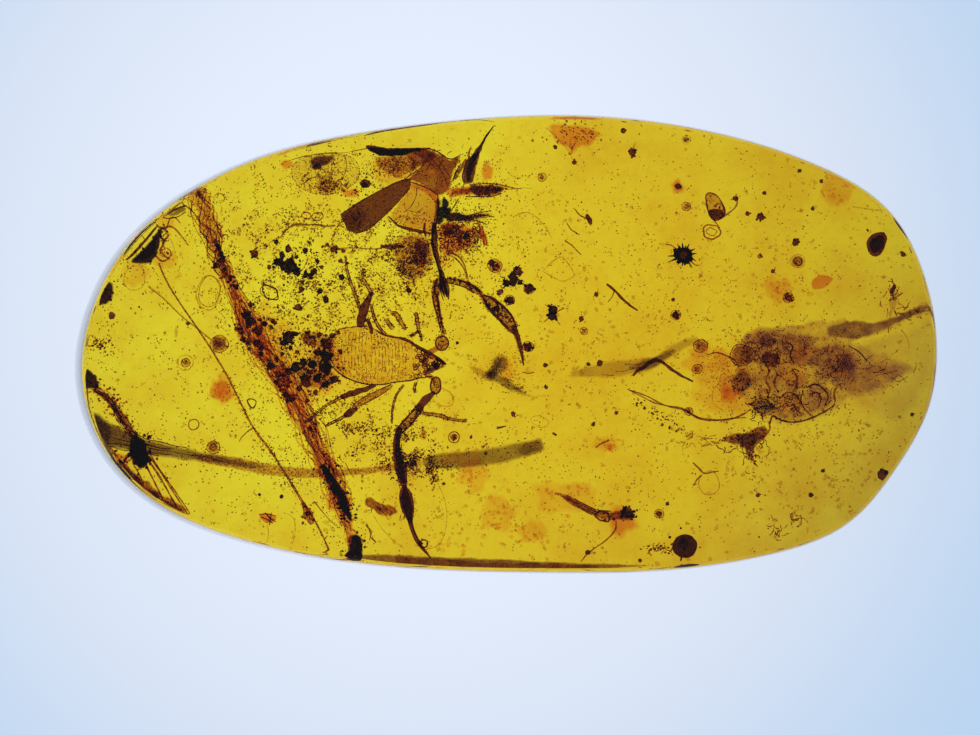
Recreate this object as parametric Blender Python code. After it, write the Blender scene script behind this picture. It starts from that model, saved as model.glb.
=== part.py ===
"""A pseudoscorpion in amber: a polished piece of fossil resin with the animal, plant scraps,
flakes and grains sealed in it.

The amber lies on its flat base. +X runs along its longest extent, +Z points up, and the origin is at
the middle of the base. Named sizes are in millimetres; every mesh is made in metres. The clear
resin is parted in two at the level of the inclusions, and each inclusion lies in a pocket that opens
at that parting.
"""
import math

import bmesh
import bpy
import numpy as np
from mathutils import Vector, noise

MM = 0.001

# ---- the amber ----
HEIGHT = 4.0
DOME = 0.2  # how much the middle of the top stands above its rim
BASE_ROUND = 0.25  # radius of the lower edge
EDGE_ROUND = 0.15  # radius of the upper edge
BULGE = 0.05  # how far the middle of the side wall stands out past its two ends
LEFT_DRAFT = 0.22  # the left end leans in by this much from the base to the top
OUTLINE_STEPS = 60
ROUND_STEPS = 3
PLATEAU_SCALES = (0.6,)
AMBER_SHARP = 32  # degrees past which an edge of the amber stays sharp
PIECE_SHARP = 50  # the same for an inclusion
OUTLINE = [
    (9.00, -0.12), (8.73, 1.45), (7.98, 2.80), (6.62, 3.68), (4.23, 4.44), (1.50, 4.76),
    (-1.20, 4.64), (-3.42, 4.35), (-4.74, 4.06), (-6.27, 3.45), (-8.00, 2.12), (-8.78, 0.72),
    (-9.00, -0.56), (-8.66, -1.97), (-7.86, -3.03), (-5.45, -4.17), (-2.82, -4.62),
    (0.70, -4.77), (3.25, -4.73), (5.60, -4.38), (7.13, -3.76), (8.14, -2.62), (8.83, -1.33),
]

PLANE = 2.1  # height of the parting between the halves
PARTING_GAP = 0.03
CLEARANCE = 0.04  # between an inclusion and its pocket
CROSSING = 0.02  # how far every pocket passes the parting plane
LONG_ROD = 6  # a rod with more knots than this has a plainer slot
SLOT_SHARE = 0.6  # a slot is nowhere narrower than this share of its rod's widest place
CURVE_STEPS = 20  # steps between two knots before a curve is evened out
DENT_SCALE = 1.7  # how closely the dents of a rough lump follow each other
DENT_SHIFT = (7.3, 3.1, 5.7)  # moves the dents by this much for each seed
LUMP_POCKET_SIDES = 6
TIGHTEST_CORNER = 0.4  # keeps a sharp corner of a grown outline from running far out

# ---- the animal, body from the rear end to the tip: x, y of the middle, half width ----
BODY_FLATNESS = 0.42
ABDOMEN_PLATES = 9
GROOVE = 0.05  # depth of the grooves between the back plates, as a share of the width
ABDOMEN_SHAPE = [(-3.62, -0.15, 0.10), (-3.52, -0.16, 0.36), (-3.24, -0.19, 0.52),
                 (-2.92, -0.22, 0.61), (-2.57, -0.26, 0.57), (-2.22, -0.30, 0.48),
                 (-2.00, -0.33, 0.41)]
CARAPACE_SHAPE = [(-2.06, -0.32, 0.38), (-1.86, -0.34, 0.38), (-1.62, -0.37, 0.31),
                  (-1.42, -0.38, 0.20), (-1.30, -0.38, 0.10)]


def clear_scene():
    """Remove every object that the file opened with."""
    for old in list(bpy.data.objects):
        bpy.data.objects.remove(old, do_unlink=True)


def material(name, colour, roughness, transmission=0.0, ior=1.5):
    """One plain Principled material."""
    made = bpy.data.materials.new(name)
    made.use_nodes = True
    shader = made.node_tree.nodes["Principled BSDF"]
    shader.inputs["Base Color"].default_value = (*colour, 1.0)
    shader.inputs["Roughness"].default_value = roughness
    shader.inputs["Metallic"].default_value = 0.0
    shader.inputs["Transmission Weight"].default_value = transmission
    shader.inputs["IOR"].default_value = ior
    made.diffuse_color = (*colour, 1.0)
    return made


# ---- curves ----
def closed_curve(points, count):
    """Even steps along a smooth closed curve through the points."""
    knots = np.array(points, float)
    size = len(knots)
    chords = np.linalg.norm(np.roll(knots, -1, 0) - knots, axis=1)
    before = np.roll(chords, 1)
    system = np.zeros((size, size))
    right = np.zeros_like(knots)
    for i in range(size):
        system[i, i - 1] += chords[i]
        system[i, i] += 2 * (before[i] + chords[i])
        system[i, (i + 1) % size] += before[i]
        ahead = (knots[(i + 1) % size] - knots[i]) / chords[i]
        behind = (knots[i] - knots[i - 1]) / before[i]
        right[i] = 3 * (before[i] * ahead + chords[i] * behind)
    slopes = np.linalg.solve(system, right)
    fine = []
    for i in range(size):
        j = (i + 1) % size
        for t in np.linspace(0, 1, CURVE_STEPS, endpoint=False):
            fine.append(hermite(knots[i], knots[j], slopes[i] * chords[i], slopes[j] * chords[i], t))
    return even_steps(np.array(fine + fine[:1]), count + 1)[:-1]


def hermite(start, end, leave, arrive, t):
    """A point of the cubic from start to end with the given tangents."""
    return ((2 * t**3 - 3 * t**2 + 1) * start + (t**3 - 2 * t**2 + t) * leave
            + (3 * t**2 - 2 * t**3) * end + (t**3 - t**2) * arrive)


def open_curve(points, count):
    """Even steps along a smooth open curve through the points; any columns past x, y, z follow."""
    knots = np.array(points, float)
    if len(knots) == 2:
        return np.array([knots[0] + (knots[1] - knots[0]) * t for t in np.linspace(0, 1, count)])
    padded = np.vstack([2 * knots[0] - knots[1], knots, 2 * knots[-1] - knots[-2]])
    fine = []
    for i in range(1, len(padded) - 2):
        leave = (padded[i + 1] - padded[i - 1]) / 2
        arrive = (padded[i + 2] - padded[i]) / 2
        for t in np.linspace(0, 1, CURVE_STEPS, endpoint=False):
            fine.append(hermite(padded[i], padded[i + 1], leave, arrive, t))
    fine.append(knots[-1])
    return even_steps(np.array(fine), count)


def even_steps(fine, count):
    """Resample a dense line into count points, evenly spaced in its first two columns."""
    lengths = np.linalg.norm(np.diff(fine[:, :2], axis=0), axis=1)
    along = np.concatenate([[0], np.cumsum(lengths)])
    targets = np.linspace(0, along[-1], count)
    return np.array([np.interp(targets, along, fine[:, k]) for k in range(fine.shape[1])]).T


# ---- meshes ----
def mesh_object(name, points, faces):
    """An object from points in millimetres and face index lists, with its faces turned outward."""
    mesh = bpy.data.meshes.new(name)
    mesh.from_pydata([tuple(float(c) * MM for c in p) for p in points], [], faces)
    made = bmesh.new()
    made.from_mesh(mesh)
    bmesh.ops.triangulate(made, faces=made.faces)
    bmesh.ops.recalc_face_normals(made, faces=made.faces)
    made.to_mesh(mesh)
    made.free()
    solid = bpy.data.objects.new(name, mesh)
    bpy.context.scene.collection.objects.link(solid)
    return solid


def loft(rings, close_start=True, close_end=True):
    """Points and faces of a skin over rings of equal length, with flat ends."""
    sides = len(rings[0])
    points = [p for ring in rings for p in ring]
    faces = []
    for k in range(len(rings) - 1):
        for i in range(sides):
            j = (i + 1) % sides
            a, b = k * sides, (k + 1) * sides
            faces.append([a + i, a + j, b + j, b + i])
    if close_start:
        faces.append(list(range(sides))[::-1])
    if close_end:
        faces.append([(len(rings) - 1) * sides + i for i in range(sides)])
    return points, faces


def boolean(target, others, operation):
    """One exact boolean of the target with all the other objects, which are removed."""
    group = bpy.data.collections.new("operands")
    for other in others:
        group.objects.link(other)
    step = target.modifiers.new("step", "BOOLEAN")
    step.operation = operation
    step.solver = "EXACT"
    step.operand_type = "COLLECTION"
    step.collection = group
    depsgraph = bpy.context.evaluated_depsgraph_get()
    result = bpy.data.meshes.new_from_object(target.evaluated_get(depsgraph))
    target.modifiers.clear()
    target.data = result
    for other in others:
        bpy.data.objects.remove(other, do_unlink=True)
    bpy.data.collections.remove(group)


# ---- the three kinds of inclusion shape, each with its solid and its pocket ----
class Tube:
    """A tapered round or flattened rod along a path of x, y, rise, radius; rise is from PLANE."""

    def __init__(self, route, steps, sides=6, flat=1.0):
        self.knots = np.array(route, float)
        self.rows = open_curve(route, steps)
        self.sides = sides
        self.flat = flat

    def solid(self, name):
        rings = []
        for (x, y, rise, radius), side in zip(self.rows, sideways(self.rows)):
            ring = []
            for i in range(self.sides):
                angle = 2 * math.pi * (i + 0.5) / self.sides
                out = radius * math.cos(angle)
                up = radius * self.flat * math.sin(angle)
                ring.append((x + out * side[0], y + out * side[1], PLANE + rise + up))
            rings.append(ring)
        return mesh_object(name, *loft(rings))

    def pocket(self):
        """A slot with upright walls along the rod; a long rod's slot takes every other knot."""
        knots = self.knots.copy()
        room = CLEARANCE
        if len(knots) > LONG_ROD:
            knots = np.vstack([knots[:-1:2], knots[-1:]])
            room = 2 * CLEARANCE
        for end, inner in ((0, 1), (-1, -2)):
            push = knots[end, :2] - knots[inner, :2]
            knots[end, :2] += push / np.linalg.norm(push) * CLEARANCE
        deep = self.knots[:, 3].max() * self.flat + room
        rings = []
        for (x, y, rise, radius), side in zip(knots, sideways(knots)):
            half = max(radius, SLOT_SHARE * self.knots[:, 3].max()) + room
            low, high = min(rise - deep, -CROSSING), max(rise + deep, CROSSING)
            left = (x + half * side[0], y + half * side[1])
            right = (x - half * side[0], y - half * side[1])
            rings.append([(*left, PLANE + low), (*right, PLANE + low),
                          (*right, PLANE + high), (*left, PLANE + high)])
        return mesh_object("pocket", *loft(rings))


def sideways(rows):
    """The level direction square to the path at each row."""
    ahead = np.gradient(rows[:, :2], axis=0)
    ahead /= np.linalg.norm(ahead, axis=1)[:, None]
    return np.stack([-ahead[:, 1], ahead[:, 0]], axis=1)


class Lump:
    """A rough rounded body: centre x, y, rise, half sizes along x, y, z and a turn about z."""

    def __init__(self, centre, half, turn=0.0, rough=0.25, seed=0, detail=2):
        self.centre = Vector(centre)
        self.half = half
        self.turn = math.radians(turn)
        self.rough = rough
        self.seed = seed
        self.detail = detail

    def solid(self, name):
        made = bmesh.new()
        bmesh.ops.create_icosphere(made, subdivisions=self.detail, radius=1.0)
        offset = Vector(DENT_SHIFT) * self.seed
        cos, sin = math.cos(self.turn), math.sin(self.turn)
        points = []
        for corner in made.verts:
            way = corner.co.normalized()
            dent = 0.5 + 0.5 * noise.noise(way * DENT_SCALE + offset)
            size = 1.0 - self.rough * min(max(dent, 0.0), 1.0)
            x, y, z = (way[k] * self.half[k] * size for k in range(3))
            points.append((self.centre.x + x * cos - y * sin, self.centre.y + x * sin + y * cos,
                           PLANE + self.centre.z + z))
        faces = [[corner.index for corner in face.verts] for face in made.faces]
        made.free()
        return mesh_object(name, points, faces)

    def pocket(self):
        cos, sin = math.cos(self.turn), math.sin(self.turn)
        low = min(self.centre.z - self.half[2] - CLEARANCE, -CROSSING)
        high = max(self.centre.z + self.half[2] + CLEARANCE, CROSSING)
        sides = LUMP_POCKET_SIDES
        grow = 1 / math.cos(math.pi / sides)
        rings = []
        for level in (low, high):
            ring = []
            for i in range(sides):
                angle = 2 * math.pi * i / sides
                x = (self.half[0] + CLEARANCE) * grow * math.cos(angle)
                y = (self.half[1] + CLEARANCE) * grow * math.sin(angle)
                ring.append((self.centre.x + x * cos - y * sin, self.centre.y + x * sin + y * cos,
                             PLANE + level))
            rings.append(ring)
        return mesh_object("pocket", *loft(rings))


class Plate:
    """A flat flake: its outline, the rise of its middle and its thickness."""

    def __init__(self, outline, rise, thick):
        self.outline = np.array(outline, float)
        self.rise = rise
        self.thick = thick

    def grown(self, by):
        """The outline moved outward by the given distance, square to each side."""
        before = self.outline - np.roll(self.outline, 1, 0)
        ahead = np.roll(self.outline, -1, 0) - self.outline
        x, y = self.outline[:, 0], self.outline[:, 1]
        area = np.sum(x * np.roll(y, -1) - np.roll(x, -1) * y)
        turn = 1.0 if area > 0 else -1.0
        outward = []
        for a, b in zip(before, ahead):
            a, b = a / np.linalg.norm(a), b / np.linalg.norm(b)
            normal_a, normal_b = np.array([a[1], -a[0]]), np.array([b[1], -b[0]])
            middle = (normal_a + normal_b) * turn
            middle /= np.linalg.norm(middle)
            outward.append(middle / max(np.dot(middle, normal_a * turn), TIGHTEST_CORNER))
        return self.outline + np.array(outward) * by

    def prism(self, name, outline, low, high):
        rings = [[(x, y, PLANE + level) for x, y in outline] for level in (low, high)]
        return mesh_object(name, *loft(rings))

    def solid(self, name):
        half = self.thick / 2
        return self.prism(name, self.outline, self.rise - half, self.rise + half)

    def pocket(self):
        half = self.thick / 2 + CLEARANCE
        low = min(self.rise - half, -CROSSING)
        high = max(self.rise + half, CROSSING)
        return self.prism("pocket", self.grown(CLEARANCE), low, high)


def inclusion(name, shapes, finish):
    """One node: the shapes of a piece, fused where there are several."""
    solid = shapes[0].solid(name)
    if len(shapes) > 1:
        boolean(solid, [shape.solid("fused") for shape in shapes[1:]], "UNION")
    solid.name = name
    solid.data.name = name
    solid.data.materials.clear()
    solid.data.materials.append(finish)
    solid.data.shade_smooth()
    solid.data.set_sharp_from_angle(angle=math.radians(PIECE_SHARP))
    return solid


# ---- the amber's form ----
def outward_normals(line):
    ahead = np.roll(line, -1, 0) - np.roll(line, 1, 0)
    ahead /= np.linalg.norm(ahead, axis=1)[:, None]
    return np.stack([ahead[:, 1], -ahead[:, 0]], axis=1)


def amber_rings():
    """Rings of the amber's surface from its flat base to the plateau of its top."""
    line = closed_curve(OUTLINE, OUTLINE_STEPS)
    line -= (line.max(0) + line.min(0)) / 2
    rings = []
    turns = np.linspace(0, math.pi / 2, ROUND_STEPS + 1)
    for turn in turns:
        rings.append(wall_ring(line, BASE_ROUND * (1 - math.cos(turn)), BASE_ROUND * (1 - math.sin(turn))))
    rim_level = HEIGHT - DOME
    rings.append(wall_ring(line, rim_level / 2, 0.0))
    for turn in turns:
        level = rim_level - EDGE_ROUND * (1 - math.sin(turn))
        rings.append(wall_ring(line, level, EDGE_ROUND * (1 - math.cos(turn))))
    for scale in PLATEAU_SCALES:
        rings.append([(x * scale, y * scale, HEIGHT - DOME * scale**2) for x, y, _ in rings[-1]])
    return rings


def wall_ring(line, level, inset):
    """The outline at a height, moved in by the bulge, the lean of the left end and the inset."""
    leftward = np.clip(-line[:, 0] / np.abs(line[:, 0]).max(), 0, 1) ** 2
    share = level / (HEIGHT - DOME)
    moved = inset + BULGE * (2 * share - 1) ** 2 + LEFT_DRAFT * leftward * share
    flat = line - outward_normals(line) * moved[:, None]
    return [(x, y, level) for x, y in flat]


def whole_amber(name):
    rings = amber_rings()
    points, faces = loft(rings, close_end=False)
    points.append((0.0, 0.0, HEIGHT))
    last = (len(rings) - 1) * OUTLINE_STEPS
    for i in range(OUTLINE_STEPS):
        faces.append([last + i, last + (i + 1) % OUTLINE_STEPS, len(points) - 1])
    return mesh_object(name, points, faces)


def block(low, high):
    """A box wider than the amber between two heights."""
    reach = 20.0
    corners = [(-reach, -reach), (reach, -reach), (reach, reach), (-reach, reach)]
    return mesh_object("block", *loft([[(*c, level) for c in corners] for level in (low, high)]))


def amber_half(name, cut_low, cut_high, shapes, finish):
    """The amber without what lies between the two heights, and with a pocket for every shape."""
    half = whole_amber(name)
    boolean(half, [block(cut_low, cut_high)] + [shape.pocket() for shape in shapes], "DIFFERENCE")
    half.name = name
    half.data.name = name
    half.data.materials.clear()
    half.data.materials.append(finish)
    half.data.shade_smooth()
    half.data.set_sharp_from_angle(angle=math.radians(AMBER_SHARP))
    return half


# ---- the animal ----
class Body(Tube):
    """The flattened body, with a groove behind each back plate where it has them."""

    def __init__(self, shape, rings, grooves):
        super().__init__([(x, y, 0.0, half) for x, y, half in shape], rings, 10, BODY_FLATNESS)
        if grooves:
            for k in range(2, len(self.rows) - 1, 2):
                self.rows[k, 3] *= 1 - GROOVE


def animal_shapes():
    """The pseudoscorpion: body, jaws, two pincer arms and eight legs."""
    shapes = [Body(ABDOMEN_SHAPE, 2 * ABDOMEN_PLATES + 1, True), Body(CARAPACE_SHAPE, 5, False)]
    return shapes + jaws() + upper_arm() + lower_arm() + legs()


def jaws():
    return [Tube([(-1.52, -0.30, 0.02, 0.09), (-1.34, -0.31, 0.02, 0.08), (-1.17, -0.37, 0, 0.02)], 4),
            Tube([(-1.52, -0.46, 0.02, 0.09), (-1.34, -0.44, 0.02, 0.08), (-1.18, -0.39, 0, 0.02)], 4)]


def upper_arm():
    return [
        Tube([(-1.62, -0.22, 0, 0.08), (-1.42, -0.12, 0, 0.07)], 2, 5),
        Lump((-1.32, -0.03, 0), (0.16, 0.15, 0.13), rough=0.1, seed=1),
        Tube([(-1.29, 0.06, 0, 0.05), (-1.29, 0.40, 0.03, 0.075), (-1.33, 0.90, 0.06, 0.105),
              (-1.35, 1.20, 0.06, 0.10), (-1.36, 1.34, 0.06, 0.06)], 6),
        Tube([(-1.34, 1.27, 0.06, 0.05), (-1.14, 1.30, 0.05, 0.06), (-0.81, 1.22, 0.03, 0.085),
              (-0.55, 1.08, 0.01, 0.09), (-0.45, 1.02, 0, 0.05)], 6),
        Tube([(-0.50, 1.04, 0, 0.05), (-0.38, 0.90, 0, 0.12), (-0.15, 0.66, 0, 0.16),
              (0.05, 0.47, 0, 0.14), (0.20, 0.31, 0, 0.07)], 6, 8, 0.85),
        Tube([(0.13, 0.40, 0.04, 0.06), (0.29, 0.12, 0.04, 0.045), (0.37, -0.14, 0.03, 0.035),
              (0.42, -0.44, 0, 0.012)], 5, 5),
        Tube([(0.11, 0.34, -0.05, 0.05), (0.24, 0.08, -0.05, 0.035), (0.34, -0.16, -0.04, 0.03),
              (0.41, -0.43, 0, 0.012)], 5, 5),
    ]


def lower_arm():
    return [
        Tube([(-1.66, -0.60, 0, 0.09), (-1.50, -0.74, 0, 0.07)], 2, 5),
        Lump((-1.42, -0.85, 0), (0.15, 0.13, 0.12), turn=-50, rough=0.1, seed=2),
        Tube([(-1.48, -0.92, 0, 0.05), (-1.64, -1.12, 0, 0.095), (-1.84, -1.42, 0, 0.10),
              (-2.08, -1.68, 0, 0.115), (-2.23, -1.87, 0, 0.06)], 6),
        Tube([(-2.20, -1.80, 0, 0.05), (-2.25, -2.05, 0, 0.08), (-2.20, -2.42, 0, 0.125),
              (-2.10, -2.76, 0, 0.10), (-2.05, -2.97, 0, 0.045)], 6),
        Tube([(-2.06, -2.90, 0, 0.045), (-2.03, -3.04, 0, 0.11), (-2.00, -3.28, 0, 0.145),
              (-1.96, -3.50, 0, 0.10), (-1.93, -3.64, 0, 0.05)], 6, 8, 0.85),
        Tube([(-1.95, -3.56, 0.03, 0.045), (-1.84, -3.86, 0.03, 0.035), (-1.72, -4.08, 0.02, 0.03),
              (-1.52, -4.36, 0, 0.012)], 5, 5),
        Tube([(-1.92, -3.58, -0.04, 0.04), (-1.78, -3.88, -0.04, 0.03), (-1.64, -4.04, -0.02, 0.025),
              (-1.60, -4.10, 0, 0.012)], 5, 5),
    ]


def leg(points, thick, rise=0.0):
    """A leg from the body to its claw: the second segment is the stoutest."""
    route = []
    for (x, y), t in zip(points, np.linspace(0, 1, len(points))):
        swell = min(0.9 + 1.6 * t * (1 - t), 1.0)
        route.append((x, y, rise * t, thick * swell * (1 - 0.62 * t)))
    return Tube(route, len(points) + 2, 5)


def legs():
    return [
        leg([(-2.60, 0.05), (-2.94, 0.54), (-3.03, 0.97), (-3.26, 1.33), (-3.30, 1.82)], 0.06, 0.10),
        leg([(-2.45, 0.05), (-2.82, 0.52), (-2.86, 0.78), (-2.78, 1.04), (-2.92, 1.33), (-2.90, 1.53)],
            0.085, 0.02),
        leg([(-2.05, -0.05), (-2.03, 0.33), (-2.24, 0.66)], 0.065, 0.08),
        leg([(-1.75, -0.15), (-1.78, 0.25), (-1.80, 0.66)], 0.06, 0.06),
        leg([(-2.55, -0.55), (-2.84, -0.89), (-3.48, -1.12), (-3.80, -1.38), (-3.98, -1.56)], 0.10, 0.30),
        leg([(-2.20, -0.60), (-2.40, -0.90), (-2.84, -1.14), (-3.17, -1.42), (-3.60, -1.68)], 0.09, 0.26),
        leg([(-1.90, -0.60), (-2.10, -0.90), (-2.26, -1.18), (-2.33, -1.56)], 0.045, 0.16),
        leg([(-1.72, -0.60), (-1.74, -1.02), (-1.60, -1.42), (-1.18, -1.51), (-0.79, -1.58)], 0.055, -0.22),
    ]


def animal_pockets():
    """A flat hollow round the body and legs, and a slot along each arm and the long front leg."""
    round_body = [(-3.42, 1.92), (-3.16, 1.90), (-2.78, 1.62), (-2.62, 1.00), (-2.30, 0.76),
                  (-1.70, 0.76), (-1.50, 0.10), (-1.10, -0.34), (-1.56, -0.80), (-2.24, -1.66),
                  (-2.44, -1.66), (-2.70, -1.26), (-3.60, -1.80), (-4.12, -1.64), (-3.30, -0.88),
                  (-3.72, -0.50), (-3.72, 0.12), (-3.16, 0.44)]
    arms = ([(-1.50, -0.16, 0, 0.16), (-1.34, 1.12, 0, 0.18), (-1.20, 1.30, 0, 0.18),
             (-0.60, 1.10, 0, 0.16), (0.10, 0.40, 0, 0.18), (0.40, -0.46, 0, 0.12)],
            [(-1.40, -0.74, 0, 0.18), (-2.16, -1.76, 0, 0.17), (-2.20, -2.40, 0, 0.16),
             (-1.94, -3.60, 0, 0.17), (-1.54, -4.40, 0, 0.10)],
            [(-1.80, -0.90, -0.18, 0.08), (-1.62, -1.42, -0.20, 0.08), (-0.79, -1.58, -0.22, 0.08)])
    return [Plate(round_body, 0.03, 0.72)] + [Tube(route, 3) for route in arms]


# ---- the plant scraps and grains ----
STRAND_ROUTE = [(-6.20, 3.00), (-6.01, 2.14), (-5.72, 1.49), (-5.31, 0.44), (-5.06, -0.02),
                (-4.71, -0.62), (-4.40, -1.12), (-4.02, -1.82), (-3.75, -2.38), (-3.44, -3.13),
                (-3.19, -3.73), (-3.02, -4.08)]


def strand_shapes():
    """Fibres twisted round each other, with dark lumps on them."""
    middle = open_curve(STRAND_ROUTE, 14)
    spread = 0.08
    shapes = []
    for fibre in range(2):
        route = []
        for k, (x, y) in enumerate(middle):
            phase = 2 * math.pi * (fibre / 2 + 2.0 * k / len(middle))
            route.append((x + spread * math.cos(phase), y + 0.3 * spread * math.cos(phase),
                          0.07 * math.sin(phase), 0.10))
        shapes.append(Tube(route, 14, 5))
    for seed, (x, y, half) in enumerate([(-5.02, -0.15, 0.2), (-3.05, -4.06, 0.19)]):
        shapes.append(Lump((x, y, 0), (half * 0.9, half, 0.16), turn=20, rough=0.3, seed=seed + 11))
    return shapes


def strand_pockets():
    return [Tube([(x, y, 0, 0.20) for x, y in STRAND_ROUTE], 3)]


def rootlet_shapes():
    return [Tube([(-7.05, 1.62, 0, 0.03), (-6.93, 1.18, 0, 0.035), (-6.47, 0.54, 0, 0.03),
                  (-5.87, -0.41, 0, 0.035), (-5.62, -0.83, 0, 0.04), (-5.18, -1.68, 0, 0.035),
                  (-4.81, -2.14, 0, 0.03), (-4.42, -2.82, 0, 0.04), (-4.04, -3.46, 0, 0.03),
                  (-3.70, -4.06, 0, 0.02)], 16, 5)]


def spiky_shapes():
    """A round core with short cones standing out all round it."""
    centre = (3.71, 1.82)
    shapes = [Lump((*centre, 0), (0.15, 0.15, 0.13), rough=0.1, seed=5, detail=1)]
    count = 8
    for i in range(count):
        angle = 2 * math.pi * i / count
        reach = 0.20 + 0.03 * math.cos(3.0 * angle + 1.0)
        start = (centre[0] + 0.05 * math.cos(angle), centre[1] + 0.05 * math.sin(angle), 0, 0.05)
        end = (centre[0] + reach * math.cos(angle), centre[1] + reach * math.sin(angle),
               0.04 * math.sin(2 * angle), 0.012)
        shapes.append(Tube([start, end], 2, 4))
    return shapes


def spiky_pocket():
    return [Lump((3.71, 1.82, 0), (0.24, 0.24, 0.14))]


def debris_pocket():
    return [Plate([(4.70, -0.50), (5.10, -0.02), (6.15, 0.12), (7.40, -0.26), (7.36, -0.66),
                   (6.70, -1.14), (5.70, -1.56), (5.06, -1.34)], 0.0, 0.54)]


def clump_pocket():
    return [Plate([(-4.46, 0.18), (-4.02, 0.20), (-3.70, -0.14), (-3.72, -0.52), (-3.98, -0.92),
                   (-4.40, -0.80)], 0.0, 0.34)]


def cluster_pocket():
    """One hollow round the bark, the leaves, the chips, the moss and the stalk at the top."""
    outline = [(-2.10, 4.08), (-1.28, 4.04), (-0.80, 3.92), (-0.24, 4.50), (-0.16, 4.42),
               (-0.46, 3.70), (-0.46, 3.36), (0.26, 3.22), (0.26, 3.08), (-0.26, 2.98),
               (-0.26, 2.56), (-0.34, 1.94), (-0.90, 1.74), (-1.16, 1.08), (-1.34, 1.08),
               (-1.60, 2.36), (-2.40, 2.62), (-3.06, 2.36), (-3.36, 2.36), (-3.50, 2.62),
               (-3.40, 2.80), (-2.80, 3.08), (-2.16, 3.50)]
    return [Plate(outline, -0.08, 0.56)]


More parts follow.
